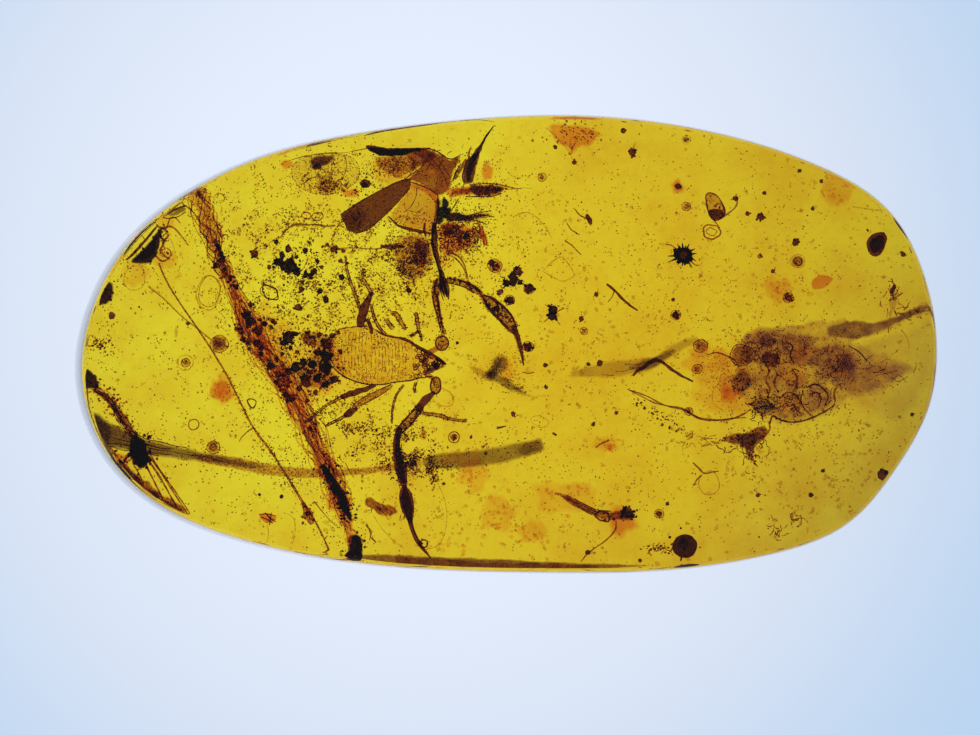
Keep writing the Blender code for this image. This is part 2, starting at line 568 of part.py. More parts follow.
def inclusions():
    """Every inclusion: node name, its shapes, its material, and its pockets where they are plainer."""
    chitin = material("chitin", (0.10, 0.035, 0.008), 0.4)
    brown = material("plant_brown", (0.22, 0.07, 0.012), 0.6)
    black = material("black_grain", (0.015, 0.009, 0.007), 0.5)
    pale = material("pale_tissue", (0.50, 0.32, 0.07), 0.5)
    rows = [
        ("pseudoscorpion", animal_shapes(), chitin, animal_pockets()),
        ("fibrous_strand", strand_shapes(), brown, strand_pockets()),
        ("rootlet", rootlet_shapes(), brown),
        ("short_rootlet", [Tube([(-7.30, -2.36, 0.0, 0.03), (-7.02, -2.80, 0.0, 0.03),
                                 (-6.68, -3.34, 0.0, 0.02)], 6, 5)], brown),
        ("dark_stem", [Tube([(-8.18, -1.74, -0.9, 0.19), (-7.95, -1.84, -0.9, 0.22),
                             (-7.51, -2.12, -0.9, 0.22), (-6.08, -2.30, -0.9, 0.15),
                             (-4.98, -2.53, -0.9, 0.11), (-3.61, -2.61, -0.9, 0.09),
                             (-2.16, -2.51, -0.9, 0.10), (-1.33, -2.41, -0.9, 0.12),
                             (-0.50, -2.32, -0.9, 0.13), (0.23, -2.16, -0.9, 0.13),
                             (0.95, -2.01, -0.9, 0.09)], 16, 6, 0.7)], brown),
        ("rim_stem", [Tube([(-2.75, -4.30, -0.35, 0.07), (-1.33, -4.45, -0.35, 0.13),
                            (0.10, -4.54, -0.35, 0.11), (1.60, -4.57, -0.35, 0.07),
                            (3.10, -4.50, -0.35, 0.03)], 10, 6, 0.7)], brown),
        ("pale_stem", [Tube([(0.95, -0.72, -0.9, 0.10), (1.45, -0.60, -0.9, 0.15),
                             (2.68, -0.31, -0.9, 0.17), (3.80, -0.04, -0.9, 0.15),
                             (5.60, 0.08, -0.9, 0.13), (6.86, 0.17, -0.9, 0.18),
                             (7.80, 0.32, -0.9, 0.20), (8.40, 0.62, -0.9, 0.12)], 12, 6, 0.7)], brown),
        ("bark_sheet", [Plate([(-2.02, 4.02), (-1.30, 3.96), (-0.95, 3.78), (-0.98, 3.36),
                               (-1.36, 3.20), (-1.44, 2.42), (-1.85, 2.50), (-2.34, 2.70),
                               (-2.02, 3.28), (-1.98, 3.62)], 0.0, 0.06)], brown, cluster_pocket()),
        ("dark_bar", [Tube([(-2.86, 4.06, 0, 0.06), (-2.62, 4.02, 0, 0.10), (-2.34, 3.96, 0, 0.09),
                            (-2.10, 3.95, 0, 0.05)], 5, 6, 0.7)], black),
        ("leaf_flap", [Plate([(-3.36, 2.74), (-3.42, 2.60), (-3.30, 2.42), (-3.06, 2.42), (-2.45, 2.86),
                              (-1.92, 3.26), (-1.90, 3.42), (-2.16, 3.40), (-2.80, 3.02)], 0.14, 0.06)],
         brown, []),
        ("leaf_wedge", [Plate([(-0.88, 3.80), (-0.72, 3.28), (-0.60, 3.26), (-0.52, 3.80), (-0.34, 4.20),
                               (-0.24, 4.42), (-0.44, 4.16), (-0.66, 3.90)], 0.14, 0.07)], brown, []),
        ("leaf_blade", [Plate([(-1.26, 3.10), (-0.60, 3.04), (-0.12, 3.06), (0.20, 3.15), (-0.16, 3.26),
                               (-0.60, 3.30), (-1.20, 3.22)], -0.12, 0.06)], brown, []),
        ("dark_chip", [Plate([(-1.36, 2.38), (-1.18, 2.40), (-1.14, 2.60), (-1.16, 2.94), (-1.34, 2.98)],
                             0.02, 0.12)], black, []),
        ("dark_blade", [Plate([(-1.08, 2.50), (-0.58, 2.52), (-0.34, 2.64), (-0.60, 2.70),
                               (-1.08, 2.70)], 0.02, 0.08)], black, []),
        ("moss_clump", [Lump((-0.92, 2.12, 0), (0.38, 0.32, 0.16), rough=0.35, seed=6),
                        Tube([(-0.76, 2.30, 0, 0.07), (-0.48, 2.08, 0, 0.05)], 3, 6)], brown, []),
        ("stalk", [Tube([(-1.50, 2.30, 0.0, 0.05), (-1.42, 1.98, -0.05, 0.06), (-1.34, 1.62, -0.18, 0.05),
                         (-1.24, 1.16, -0.26, 0.03)], 6, 5)], brown, []),
        ("membrane_sac", [Lump((-3.74, 3.46, 0), (0.62, 0.38, 0.12), turn=4, rough=0.12, seed=7)], pale),
        ("debris_mass", [Lump((5.35, -0.62, 0), (0.62, 0.58, 0.26), rough=0.4, seed=8),
                         Lump((6.15, -0.55, 0.02), (0.72, 0.62, 0.24), rough=0.4, seed=9),
                         Lump((5.62, -1.10, 0), (0.50, 0.42, 0.22), rough=0.4, seed=10),
                         Lump((6.98, -0.46, 0), (0.38, 0.28, 0.2), rough=0.2, seed=16)], brown,
         debris_pocket()),
        ("debris_lump", [Lump((4.98, -2.02, 0), (0.36, 0.26, 0.2), turn=-20, rough=0.35, seed=14)], black),
        ("deep_chip", [Lump((-0.08, -0.66, -0.75), (0.34, 0.16, 0.08), turn=-30, rough=0.35, seed=15)],
         brown),
        ("end_flake_1", [Plate([(-7.74, 1.68), (-7.34, 1.72), (-7.02, 2.28), (-7.02, 2.40),
                                (-7.30, 2.24)], 0.0, 0.08)], black),
        ("end_flake_2", [Plate([(-6.92, 2.50), (-6.62, 2.66), (-6.58, 2.78), (-6.72, 2.76)],
                               0.0, 0.06)], black),
        ("end_flake_3", [Plate([(-8.18, 0.72), (-7.98, 0.78), (-8.02, 1.06), (-8.22, 1.02)],
                               0.0, 0.08)], black),
        ("end_flake_4", [Plate([(-8.50, -0.62), (-8.26, -0.92), (-8.14, -0.82), (-8.34, -0.56)],
                               0.0, 0.08)], black),
        ("edge_bark", [Lump((-7.54, -2.06, 0), (0.20, 0.28, 0.12), turn=15, rough=0.2, seed=17),
                       Tube([(-7.64, -2.12, 0, 0.12), (-7.52, -2.46, 0, 0.11),
                             (-7.08, -2.98, 0, 0.06)], 6, 6, 0.7)], black),
        ("black_ball", [Lump((3.73, -4.06, 0), (0.27, 0.27, 0.27), rough=0.05, seed=18)], black),
        ("dark_oval", [Lump((7.62, 2.00, 0), (0.19, 0.25, 0.18), turn=-15, rough=0.08, seed=19)], black),
        ("spiky_grain", spiky_shapes(), black, spiky_pocket()),
        ("seed_shell", [Lump((4.38, 2.80, 0), (0.17, 0.21, 0.12), turn=20, rough=0.15, seed=20)], brown),
        ("black_bean", [Lump((1.02, 0.64, 0), (0.11, 0.16, 0.1), turn=-10, rough=0.1, seed=21)], black),
        ("ant_grain", [Lump((0.20, 1.38, 0), (0.13, 0.10, 0.08), turn=30, rough=0.1, seed=22, detail=1),
                       Lump((0.12, 1.26, 0), (0.13, 0.09, 0.07), turn=60, rough=0.1, seed=23, detail=1),
                       Lump((0.26, 1.25, 0), (0.12, 0.06, 0.05), turn=-20, rough=0.1, seed=24, detail=1)],
         black, [Lump((0.19, 1.31, 0), (0.21, 0.18, 0.1))]),
        ("red_chip", [Tube([(1.04, -3.05, 0, 0.05), (1.40, -3.20, 0, 0.09), (1.78, -3.34, 0, 0.11),
                            (2.20, -3.44, 0, 0.10), (2.53, -3.55, 0, 0.15), (2.74, -3.65, 0, 0.07)],
                           10, 6, 0.7)], brown),
        ("grain_clump", [Lump((-3.99, -0.28, 0), (0.26, 0.30, 0.16), rough=0.3, seed=25),
                         Lump((-4.16, -0.64, 0), (0.24, 0.24, 0.14), rough=0.3, seed=26),
                         Lump((-4.20, 0.00, 0), (0.25, 0.19, 0.13), rough=0.3, seed=27)], black,
         clump_pocket()),
        ("grain_group", [Lump((-4.40, 1.52, 0), (0.17, 0.15, 0.12), rough=0.2, seed=28, detail=1),
                         Lump((-4.19, 1.50, 0), (0.16, 0.09, 0.08), rough=0.2, seed=29, detail=1),
                         Lump((-3.98, 1.49, 0), (0.17, 0.13, 0.11), rough=0.2, seed=30, detail=1)], black,
         [Lump((-4.19, 1.50, 0), (0.42, 0.18, 0.13))]),
    ]
    return rows


def build():
    clear_scene()
    amber = material("amber", (0.86, 0.55, 0.04), 0.06, transmission=1.0, ior=1.54)
    rows = inclusions()
    pockets = []
    for name, shapes, finish, *plainer in rows:
        inclusion(name, shapes, finish)
        pockets += plainer[0] if plainer else shapes
    amber_half("amber_lower", PLANE - PARTING_GAP / 2, HEIGHT + 1.0, pockets, amber)
    amber_half("amber_upper", -1.0, PLANE + PARTING_GAP / 2, pockets, amber)


build()
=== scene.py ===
"""The looks of the pseudoscorpion in amber: clear resin over a pale lit table, with the animal,
plant scraps, flakes, grains, threads and stains sealed in it.

Sizes here are in millimetres and become metres as each mesh is made. Places in the amber are read
off the photograph's frame by at(); a rise is a height above the level at which the inclusions lie.
"""
import math
import random

import bmesh
import bpy
import numpy as np
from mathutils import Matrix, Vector, noise
from mathutils.geometry import delaunay_2d_cdt


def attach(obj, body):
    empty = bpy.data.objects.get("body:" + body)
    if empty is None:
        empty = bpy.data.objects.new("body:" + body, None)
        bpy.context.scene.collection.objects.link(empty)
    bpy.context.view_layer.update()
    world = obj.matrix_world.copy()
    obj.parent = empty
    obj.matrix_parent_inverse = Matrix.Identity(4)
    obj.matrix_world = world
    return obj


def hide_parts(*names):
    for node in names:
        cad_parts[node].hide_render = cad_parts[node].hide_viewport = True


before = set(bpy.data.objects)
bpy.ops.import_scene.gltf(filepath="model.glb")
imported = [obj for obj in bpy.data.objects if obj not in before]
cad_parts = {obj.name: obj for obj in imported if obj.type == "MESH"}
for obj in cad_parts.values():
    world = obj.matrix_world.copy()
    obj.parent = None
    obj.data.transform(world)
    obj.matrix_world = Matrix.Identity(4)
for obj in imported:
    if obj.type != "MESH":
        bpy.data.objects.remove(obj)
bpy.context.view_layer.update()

MM = 0.001
SCALE = 48.22  # pixels of the photograph to a millimetre
FRAME = (980, 735)  # width and height of the photograph in pixels
MIDDLE = (504.0, 344.0)  # where the amber's middle lies in the photograph
PLANE = 2.1  # the level of the inclusions
SKIN = 0.06  # the least amber beside an inclusion
COVER = 0.05  # the least amber beside a loose grain
STROKE_COVER = 0.12  # the least amber beside a scribbled stroke
NUDGES = 12  # how often a place that lies too near the edge is moved in
OVERSHOOT = 0.005  # how much further than needed each of these moves goes
STEPS_PER_KNOT = 20
CLOSED_STEPS_PER_KNOT = 40
OUTLINE_STEPS_PER_KNOT = 30
NEARLY_ROUND = 6.28  # where a ring of points ends, in radians


# ---- places and curves ----
def at(px, py):
    """The x and y in millimetres of a place in the photograph."""
    return (px - MIDDLE[0]) / SCALE, (MIDDLE[1] - py) / SCALE


def path(points, rise=0.0):
    """Rows of x, y, rise, radius from points of px, py, width in pixels and perhaps a rise."""
    rows = []
    for px, py, width, *own in points:
        radius = width / 2 / SCALE
        rows.append((*inside(*at(px, py), radius + SKIN), own[0] if own else rise, radius))
    return rows


def inside(x, y, margin):
    """A place in the amber: one nearer its edge than the margin is moved in."""
    for _ in range(NUDGES):
        short = margin - HULL.depth(x, y)
        if short <= 0:
            break
        k = int(np.argmin(np.hypot(HULL.wall[:, 0] - x, HULL.wall[:, 1] - y)))
        along = HULL.wall[(k + 1) % len(HULL.wall)] - HULL.wall[k - 1]
        along /= np.linalg.norm(along)
        x, y = x - along[1] * (short + OVERSHOOT), y + along[0] * (short + OVERSHOOT)
    return x, y


def hermite(start, end, leave, arrive, t):
    """A place between two knots, from their slopes."""
    return ((2 * t**3 - 3 * t**2 + 1) * start + (t**3 - 2 * t**2 + t) * leave
            + (3 * t**2 - 2 * t**3) * end + (t**3 - t**2) * arrive)


def open_curve(points, count):
    """Even steps along a smooth curve through the points; further columns follow."""
    knots = np.array(points, float)
    if len(knots) == 2:
        return np.array([knots[0] + (knots[1] - knots[0]) * t for t in np.linspace(0, 1, count)])
    padded = np.vstack([2 * knots[0] - knots[1], knots, 2 * knots[-1] - knots[-2]])
    fine = []
    for i in range(1, len(padded) - 2):
        leave = (padded[i + 1] - padded[i - 1]) / 2
        arrive = (padded[i + 2] - padded[i]) / 2
        for t in np.linspace(0, 1, STEPS_PER_KNOT, endpoint=False):
            fine.append(hermite(padded[i], padded[i + 1], leave, arrive, t))
    fine.append(knots[-1])
    return even_steps(np.array(fine), count)


def closed_curve(points, count):
    """Even steps along a smooth closed curve through the points."""
    knots = [tuple(p) for p in points]
    loop = knots[-3:] + knots + knots[:3]
    dense = open_curve(loop, CLOSED_STEPS_PER_KNOT * len(loop))
    near = 4 * CLOSED_STEPS_PER_KNOT  # the first knot comes twice, this near to both ends
    first = np.argmin(np.linalg.norm(dense[:near] - np.array(knots[0]), axis=1))
    last = len(dense) - near + np.argmin(np.linalg.norm(dense[-near:] - np.array(knots[0]), axis=1))
    return even_steps(dense[first:last + 1], count + 1)[:-1]


def even_steps(fine, count):
    """Rows at even distances along the first two columns."""
    lengths = np.linalg.norm(np.diff(fine[:, :2], axis=0), axis=1)
    along = np.concatenate([[0], np.cumsum(lengths)])
    targets = np.linspace(0, along[-1], count)
    return np.array([np.interp(targets, along, fine[:, k]) for k in range(fine.shape[1])]).T


def periodic_curve(points, count):
    """Even steps along the smooth closed curve that the solids' outline follows."""
    knots = np.array(points, float)
    size = len(knots)
    chords = np.linalg.norm(np.roll(knots, -1, 0) - knots, axis=1)
    before = np.roll(chords, 1)
    system = np.zeros((size, size))
    right = np.zeros_like(knots)
    for i in range(size):
        system[i, i - 1] += chords[i]
        system[i, i] += 2 * (before[i] + chords[i])
        system[i, (i + 1) % size] += before[i]
        ahead = (knots[(i + 1) % size] - knots[i]) / chords[i]
        behind = (knots[i] - knots[i - 1]) / before[i]
        right[i] = 3 * (before[i] * ahead + chords[i] * behind)
    slopes = np.linalg.solve(system, right)
    fine = []
    for i in range(size):
        j = (i + 1) % size
        for t in np.linspace(0, 1, OUTLINE_STEPS_PER_KNOT, endpoint=False):
            fine.append(hermite(knots[i], knots[j], slopes[i] * chords[i], slopes[j] * chords[i], t))
    return even_steps(np.array(fine + fine[:1]), count + 1)[:-1]


def sideways(rows):
    """The level direction square to the path at each row."""
    ahead = np.gradient(rows[:, :2], axis=0)
    ahead /= np.maximum(np.linalg.norm(ahead, axis=1), 1e-9)[:, None]
    return np.stack([-ahead[:, 1], ahead[:, 0]], axis=1)


def wobble(x, y, z, scale, seed=0):
    """Smooth noise between -1 and 1."""
    return noise.noise(Vector((x * scale + seed * 7.3, y * scale + seed * 3.1, z * scale + seed * 5.7)))


# ---- materials ----
CLEAR = (1.0, 1.0, 1.0)
NO_BEND = 1.0  # the IOR of what only colours the light that passes
AMBER_IOR = 1.54
AMBER_ABSORBED = (0.9955, 0.934, 0.0)
AMBER_DENSITY = 1000.0
SPOT_SCALE = 22.0


def fresh(name):
    """A new material, its nodes and links and its shader."""
    made = bpy.data.materials.new(name)
    made.use_nodes = True
    nodes, links = made.node_tree.nodes, made.node_tree.links
    return made, nodes, links, nodes["Principled BSDF"]


def place_mm(nodes, links):
    """The place on the piece in millimetres."""
    place = nodes.new("ShaderNodeTexCoord")
    scale = nodes.new("ShaderNodeMapping")
    scale.inputs["Scale"].default_value = (1000, 1000, 1000)
    links.new(place.outputs["Object"], scale.inputs["Vector"])
    return scale.outputs["Vector"]


def noise_of(nodes, links, vector, scale, detail=4.0, rough=0.6):
    """A noise between 0 and 1."""
    made = nodes.new("ShaderNodeTexNoise")
    made.inputs["Scale"].default_value = scale
    made.inputs["Detail"].default_value = detail
    made.inputs["Roughness"].default_value = rough
    links.new(vector, made.inputs["Vector"])
    return made.outputs["Fac"]


def ramp(nodes, links, value, stops):
    """A colour that follows a value through stops of position and colour."""
    made = nodes.new("ShaderNodeValToRGB")
    elements = made.color_ramp.elements
    while len(elements) < len(stops):
        elements.new(0.5)
    for element, (position, colour) in zip(elements, stops):
        element.position = position
        element.color = (*colour, 1.0) if len(colour) == 3 else colour
    links.new(value, made.inputs["Fac"])
    return made.outputs["Color"]


def mix(nodes, links, kind, factor, a, b):
    """Two colours mixed or multiplied."""
    made = nodes.new("ShaderNodeMix")
    made.data_type = "RGBA"
    made.blend_type = kind
    for socket, value in ((made.inputs[0], factor), (made.inputs[6], a), (made.inputs[7], b)):
        if isinstance(value, bpy.types.NodeSocket):
            links.new(value, socket)
        elif isinstance(value, tuple):
            socket.default_value = (*value, 1.0)
        else:
            socket.default_value = value
    return made.outputs[2]


def pass_straight(shader):
    """Lets light through without bending or blurring it."""
    shader.inputs["Transmission Weight"].default_value = 1.0
    shader.inputs["IOR"].default_value = NO_BEND
    shader.inputs["Roughness"].default_value = 0.0


def absorb(nodes, links, colour, density):
    """Takes light away along its way through the piece."""
    volume = nodes.new("ShaderNodeVolumeAbsorption")
    volume.inputs["Color"].default_value = (*colour, 1.0)
    volume.inputs["Density"].default_value = density
    links.new(volume.outputs["Volume"], nodes["Material Output"].inputs["Volume"])


def tint(name, low, high, scale=6.0, spots=0.0, spot_colour=(0.25, 0.1, 0.05), fade=False,
         ragged=0.6, spread=0.25):
    """A flake that light passes straight through and leaves coloured; it may fade to its rim."""
    made, nodes, links, shader = fresh(name)
    vector = place_mm(nodes, links)
    field = noise_of(nodes, links, vector, scale)
    colour = ramp(nodes, links, field, [(0.5 - spread, low), (0.5 + spread, high)])
    if spots:
        dots = noise_of(nodes, links, vector, SPOT_SCALE, 2.0, 0.5)
        share = ramp(nodes, links, dots, [(0.62 - 0.2 * spots, (0, 0, 0)), (0.68 - 0.2 * spots, CLEAR)])
        colour = mix(nodes, links, "MULTIPLY", share, colour, spot_colour)
    if fade:
        mark = nodes.new("ShaderNodeAttribute")
        mark.attribute_name = "mark"
        broken = noise_of(nodes, links, vector, scale * 2.2, 5.0, 0.65)
        total = nodes.new("ShaderNodeMath")
        total.operation = "MULTIPLY_ADD"
        links.new(broken, total.inputs[0])
        total.inputs[1].default_value = ragged
        links.new(mark.outputs["Fac"], total.inputs[2])
        edge = 0.5 * ragged
        share = ramp(nodes, links, total.outputs[0],
                     [(0.0, (0, 0, 0)), (min(edge + 0.12, 0.5), (0, 0, 0)), (min(edge + 0.85, 1.0), CLEAR)])
        colour = mix(nodes, links, "MIX", share, CLEAR, colour)
    links.new(colour, shader.inputs["Base Color"])
    pass_straight(shader)
    return made


def wall(name, low, high, absorbed, density, scale=18.0):
    """A thin wall of cuticle: light passes through it and is absorbed along its way."""
    made, nodes, links, shader = fresh(name)
    vector = place_mm(nodes, links)
    field = noise_of(nodes, links, vector, scale, 3.0, 0.6)
    links.new(ramp(nodes, links, field, [(0.4, low), (0.62, high)]), shader.inputs["Base Color"])
    pass_straight(shader)
    absorb(nodes, links, absorbed, density)
    return made


def resin():
    """Amber: clear at the left, warmer and cloudier towards the right, greyer at the right end."""
    made, nodes, links, shader = fresh("clear_amber")
    vector = place_mm(nodes, links)
    worn = noise_of(nodes, links, vector, 1.4, 5.0, 0.7)
    links.new(ramp(nodes, links, worn, [(0.4, (0.0, 0.0, 0.0)), (0.8, (0.07, 0.07, 0.07))]),
              shader.inputs["Roughness"])
    along = nodes.new("ShaderNodeVectorMath")
    along.operation = "DOT_PRODUCT"
    links.new(vector, along.inputs[0])
    along.inputs[1].default_value = (1 / 18, -0.032, 0.0)
    drift = nodes.new("ShaderNodeMath")
    drift.operation = "MULTIPLY_ADD"
    links.new(noise_of(nodes, links, vector, 0.3, 3.0, 0.5), drift.inputs[0])
    drift.inputs[1].default_value = 0.35
    links.new(along.outputs["Value"], drift.inputs[2])
    tone = ramp(nodes, links, drift.outputs[0],
                [(0.0, CLEAR), (0.06, (0.99, 0.93, 0.85)), (0.18, (0.95, 0.82, 0.65)),
                 (0.50, (0.93, 0.79, 0.60)), (0.60, (0.89, 0.76, 0.9)), (0.68, (0.74, 0.60, 1.0))])
    patches = ramp(nodes, links, noise_of(nodes, links, vector, 0.6, 4.0, 0.6),
                   [(0.46, CLEAR), (0.66, (0.92, 0.74, 0.5))])
    fine = ramp(nodes, links, noise_of(nodes, links, vector, 5.0, 6.0, 0.72),
                [(0.30, (0.90, 0.83, 0.72)), (0.50, CLEAR)])
    tone = mix(nodes, links, "MULTIPLY", 1.0, tone, patches)
    links.new(mix(nodes, links, "MULTIPLY", 1.0, tone, fine), shader.inputs["Base Color"])
    shader.inputs["Transmission Weight"].default_value = 1.0
    shader.inputs["IOR"].default_value = AMBER_IOR
    absorb(nodes, links, AMBER_ABSORBED, AMBER_DENSITY)
    return made


# ---- meshes ----
LEVELS = 17  # flakes lie on this many levels, by their seeds
LEVEL_STEP = 0.0011  # from one of these levels to the next


class Piece:
    """The points and faces of one piece, gathered and then made into one mesh."""

    def __init__(self, name, materials, slot):
        self.name, self.materials, self.slot = name, materials, slot
        self.points, self.faces, self.indices, self.marks = [], [], [], []

    def add(self, points, faces, use=0, marks=None):
        """More points and faces; use is the number of their finish."""
        start = len(self.points)
        self.points += [tuple(float(c) for c in p) for p in points]
        self.faces += [[start + i for i in face] for face in faces]
        self.indices += [use] * len(faces)
        self.marks += list(marks) if marks is not None else [1.0] * len(points)

    def skin(self, rows, sides, flat, use, rough, seed, shrink=0.0):
        """A skin round rows of x, y, rise, radius; a shrunken one is turned to face inward."""
        rings = []
        for (x, y, rise, radius), side in zip(rows, sideways(rows)):
            size = max(radius - shrink, 0.35 * radius) if shrink else radius
            for i in range(sides):
                angle = 2 * math.pi * i / sides
                grown = size
                if rough:
                    grown *= 1 + rough * wobble(x + math.cos(angle) * radius, y, rise
                                                + math.sin(angle) * radius, 9.0, seed)
                out, up = grown * math.cos(angle), grown * flat * math.sin(angle)
                rings.append((x + out * side[0], y + out * side[1], PLANE + rise + up))
        count = len(rows)
        faces = []
        for k in range(count - 1):
            faces += joined(k * sides, (k + 1) * sides, sides)
        faces.append(list(range(sides))[::-1])
        faces.append([(count - 1) * sides + i for i in range(sides)])
        if shrink:
            faces = [face[::-1] for face in faces]
        self.add(rings, faces, use)

    def tube(self, route, steps=12, sides=8, flat=1.0, use=0, wall=0.0, rough=0.0, seed=0):
        """A tapered rod with rounded ends; with a wall it is hollow."""
        rows = open_curve(route, steps)
        ends = []
        for end, inner in ((0, 1), (-1, -2)):
            push = rows[end, :2] - rows[inner, :2]
            push /= max(np.linalg.norm(push), 1e-9)
            radius = rows[end, 3]
            extra = [(*(rows[end, :2] + push * radius * out), rows[end, 2], radius * size)
                     for out, size in ((0.45, 0.85), (0.8, 0.5))]
            ends.append(extra)
        rows = np.vstack([ends[0][::-1], rows, ends[1]])
        self.skin(rows, sides, flat, use, rough, seed)
        if wall:
            self.skin(rows[1:-1], sides, flat, use, rough, seed, shrink=wall)

    def loop(self, centre, half, width, rise=0.0, turn=0.0, use=0, steps=28, sides=6, rough=0.0,
             seed=0):
        """A closed ring: centre and half sizes in pixels, and the width of its line in pixels."""
        rows = []
        lean = math.radians(turn)
        for k in range(steps):
            angle = 2 * math.pi * k / steps
            dx, dy = half[0] * math.cos(angle), half[1] * math.sin(angle)
            swell = 1 + rough * wobble(math.cos(angle), math.sin(angle), 0, 1.2, seed)
            px = centre[0] + (dx * math.cos(lean) - dy * math.sin(lean)) * swell
            py = centre[1] + (dx * math.sin(lean) + dy * math.cos(lean)) * swell
            rows.append((*inside(*at(px, py), SKIN), rise, width / 2 / SCALE))
        self.skin_closed(np.array(rows), sides, use)

    def skin_closed(self, rows, sides, use):
        """A closed tube, whose rows run round a ring."""
        ahead = np.roll(rows[:, :2], -1, 0) - np.roll(rows[:, :2], 1, 0)
        ahead /= np.maximum(np.linalg.norm(ahead, axis=1), 1e-9)[:, None]
        points, faces = [], []
        for (x, y, rise, radius), (ax, ay) in zip(rows, ahead):
            for i in range(sides):
                angle = 2 * math.pi * i / sides
                out, up = radius * math.cos(angle), radius * math.sin(angle)
                points.append((x - out * ay, y + out * ax, PLANE + rise + up))
        for k in range(len(rows)):
            faces += joined(k * sides, ((k + 1) % len(rows)) * sides, sides)
        self.add(points, faces, use)

    def lump(self, centre, half, turn=0.0, rough=0.25, seed=0, detail=3, use=0, wall=0.0, busy=1.7):
        """A rough rounded body: x, y, rise of its middle and its half sizes, all in millimetres."""
        made = bmesh.new()
        bmesh.ops.create_icosphere(made, subdivisions=detail, radius=1.0)
        lean = math.radians(turn)
        cos, sin = math.cos(lean), math.sin(lean)
        faces = [[corner.index for corner in face.verts] for face in made.faces]
        for less in (0.0, wall) if wall else (0.0,):
            points = []
            for corner in made.verts:
                way = corner.co.normalized()
                dent = 0.5 + 0.5 * wobble(way.x, way.y, way.z, busy, seed)
                dent += 0.35 * wobble(way.x, way.y, way.z, busy * 3.1, seed + 50)
                size = 1.0 - rough * min(max(dent, 0.0), 1.0)
                x, y, z = (way[k] * max(half[k] - less, 0.3 * half[k]) * size for k in range(3))
                points.append((centre[0] + x * cos - y * sin, centre[1] + x * sin + y * cos,
                               PLANE + centre[2] + z))
            self.add(points, [face[::-1] for face in faces] if less else faces, use)
        made.free()

    def blob(self, px, py, width, height, turn=0.0, rise=0.0, **more):
        """A lump by its place and size in pixels; its depth follows from its size."""
        half = (width / 2 / SCALE, height / 2 / SCALE)
        self.lump((*at(px, py), rise), (*half, min(0.7 * min(half), 0.22)), -turn, **more)

    def plate(self, outline, rise, thick, use=0, soft=3.0, grid=3.0, wave=0.0, jag=0.0, seed=0,
              smooth=True):
        """A thin closed flake inside an outline in pixels; its mark runs from 0 at the rim to 1."""
        rise += LEVEL_STEP * (seed % LEVELS)  # no two flakes lie face on face
        corners = np.array([inside(*at(*p), SKIN) for p in outline])
        span = np.linalg.norm(np.roll(corners, -1, 0) - corners, axis=1).sum()
        step = grid / SCALE
        count = max(int(span / step), 12)
        edge = (closed_curve(corners, count) if smooth
                else even_steps(np.vstack([corners, corners[:1]]), count + 1)[:-1])
        ahead = np.roll(edge, -1, 0) - np.roll(edge, 1, 0)
        ahead /= np.maximum(np.linalg.norm(ahead, axis=1), 1e-9)[:, None]
        if jag:
            push = [jag / SCALE * wobble(x, y, 0, 7.0, seed) for x, y in edge]
            edge = edge + np.stack([ahead[:, 1], -ahead[:, 0]], axis=1) * np.array(push)[:, None]
        low, high = edge.min(0), edge.max(0)
        inner = [(x, y) for x in np.arange(low[0] + step / 2, high[0], step)
                 for y in np.arange(low[1] + step / 2, high[1], step)]
        starts, ends = edge, np.roll(edge, -1, 0)
        kept = [p for p in inner if in_outline(p, starts, ends) and gap_to(p, starts, ends) > 0.5 * step]
        flat = [Vector(p) for p in edge] + [Vector(p) for p in kept]
        ring = [(i, (i + 1) % count) for i in range(count)]
        points, _, triangles, *_ = delaunay_2d_cdt(flat, ring, [], 1, 1e-7)
        self.slab(points, triangles, starts, ends, rise, thick, use, soft, wave, seed)

    def slab(self, points, triangles, starts, ends, rise, thick, use, soft, wave, seed):
        """Two skins over a flat net, joined round its rim."""
        marks, tops, bottoms = [], [], []
        for p in points:
            gap = gap_to(p, starts, ends)
            marks.append(min(gap * SCALE / soft, 1.0))
            body = thick / 2 * (0.25 + 0.75 * min(gap / max(thick, 1e-6), 1.0))
            middle = PLANE + rise + wave * wobble(p[0], p[1], 0, 1.6, seed + 9)
            tops.append((p[0], p[1], middle + body))
            bottoms.append((p[0], p[1], middle - body))
        count = len(points)
        faces, used = [], {}
        for triangle in triangles:
            a, b, c = triangle
            turn = ((points[b][0] - points[a][0]) * (points[c][1] - points[a][1])
                    - (points[b][1] - points[a][1]) * (points[c][0] - points[a][0]))
            if turn < 0:
                b, c = c, b
            faces += [[a, b, c], [count + a, count + c, count + b]]
            for pair in ((a, b), (b, c), (c, a)):
                used[pair] = True
        for a, b in used:
            if (b, a) not in used:
                faces.append([b, a, count + a, count + b])
        self.add(tops + bottoms, faces, use, marks + marks)

    def specks(self, count, spread, seed, size=(0.010, 0.024), rise=(-0.5, 0.5), use=0, patchy=0.0):
        """Tiny grains round a place, in patches if asked; spread is px, py and two deviations."""
        draw = random.Random(seed)
        for _ in range(count):
            px = draw.gauss(spread[0], spread[2])
            py = draw.gauss(spread[1], spread[3])
            if patchy and wobble(px, py, 0, 0.075, 3) < draw.uniform(-1, 1) * 0.5 / patchy:
                continue
            self.grain(px, py, draw, size, rise, use)

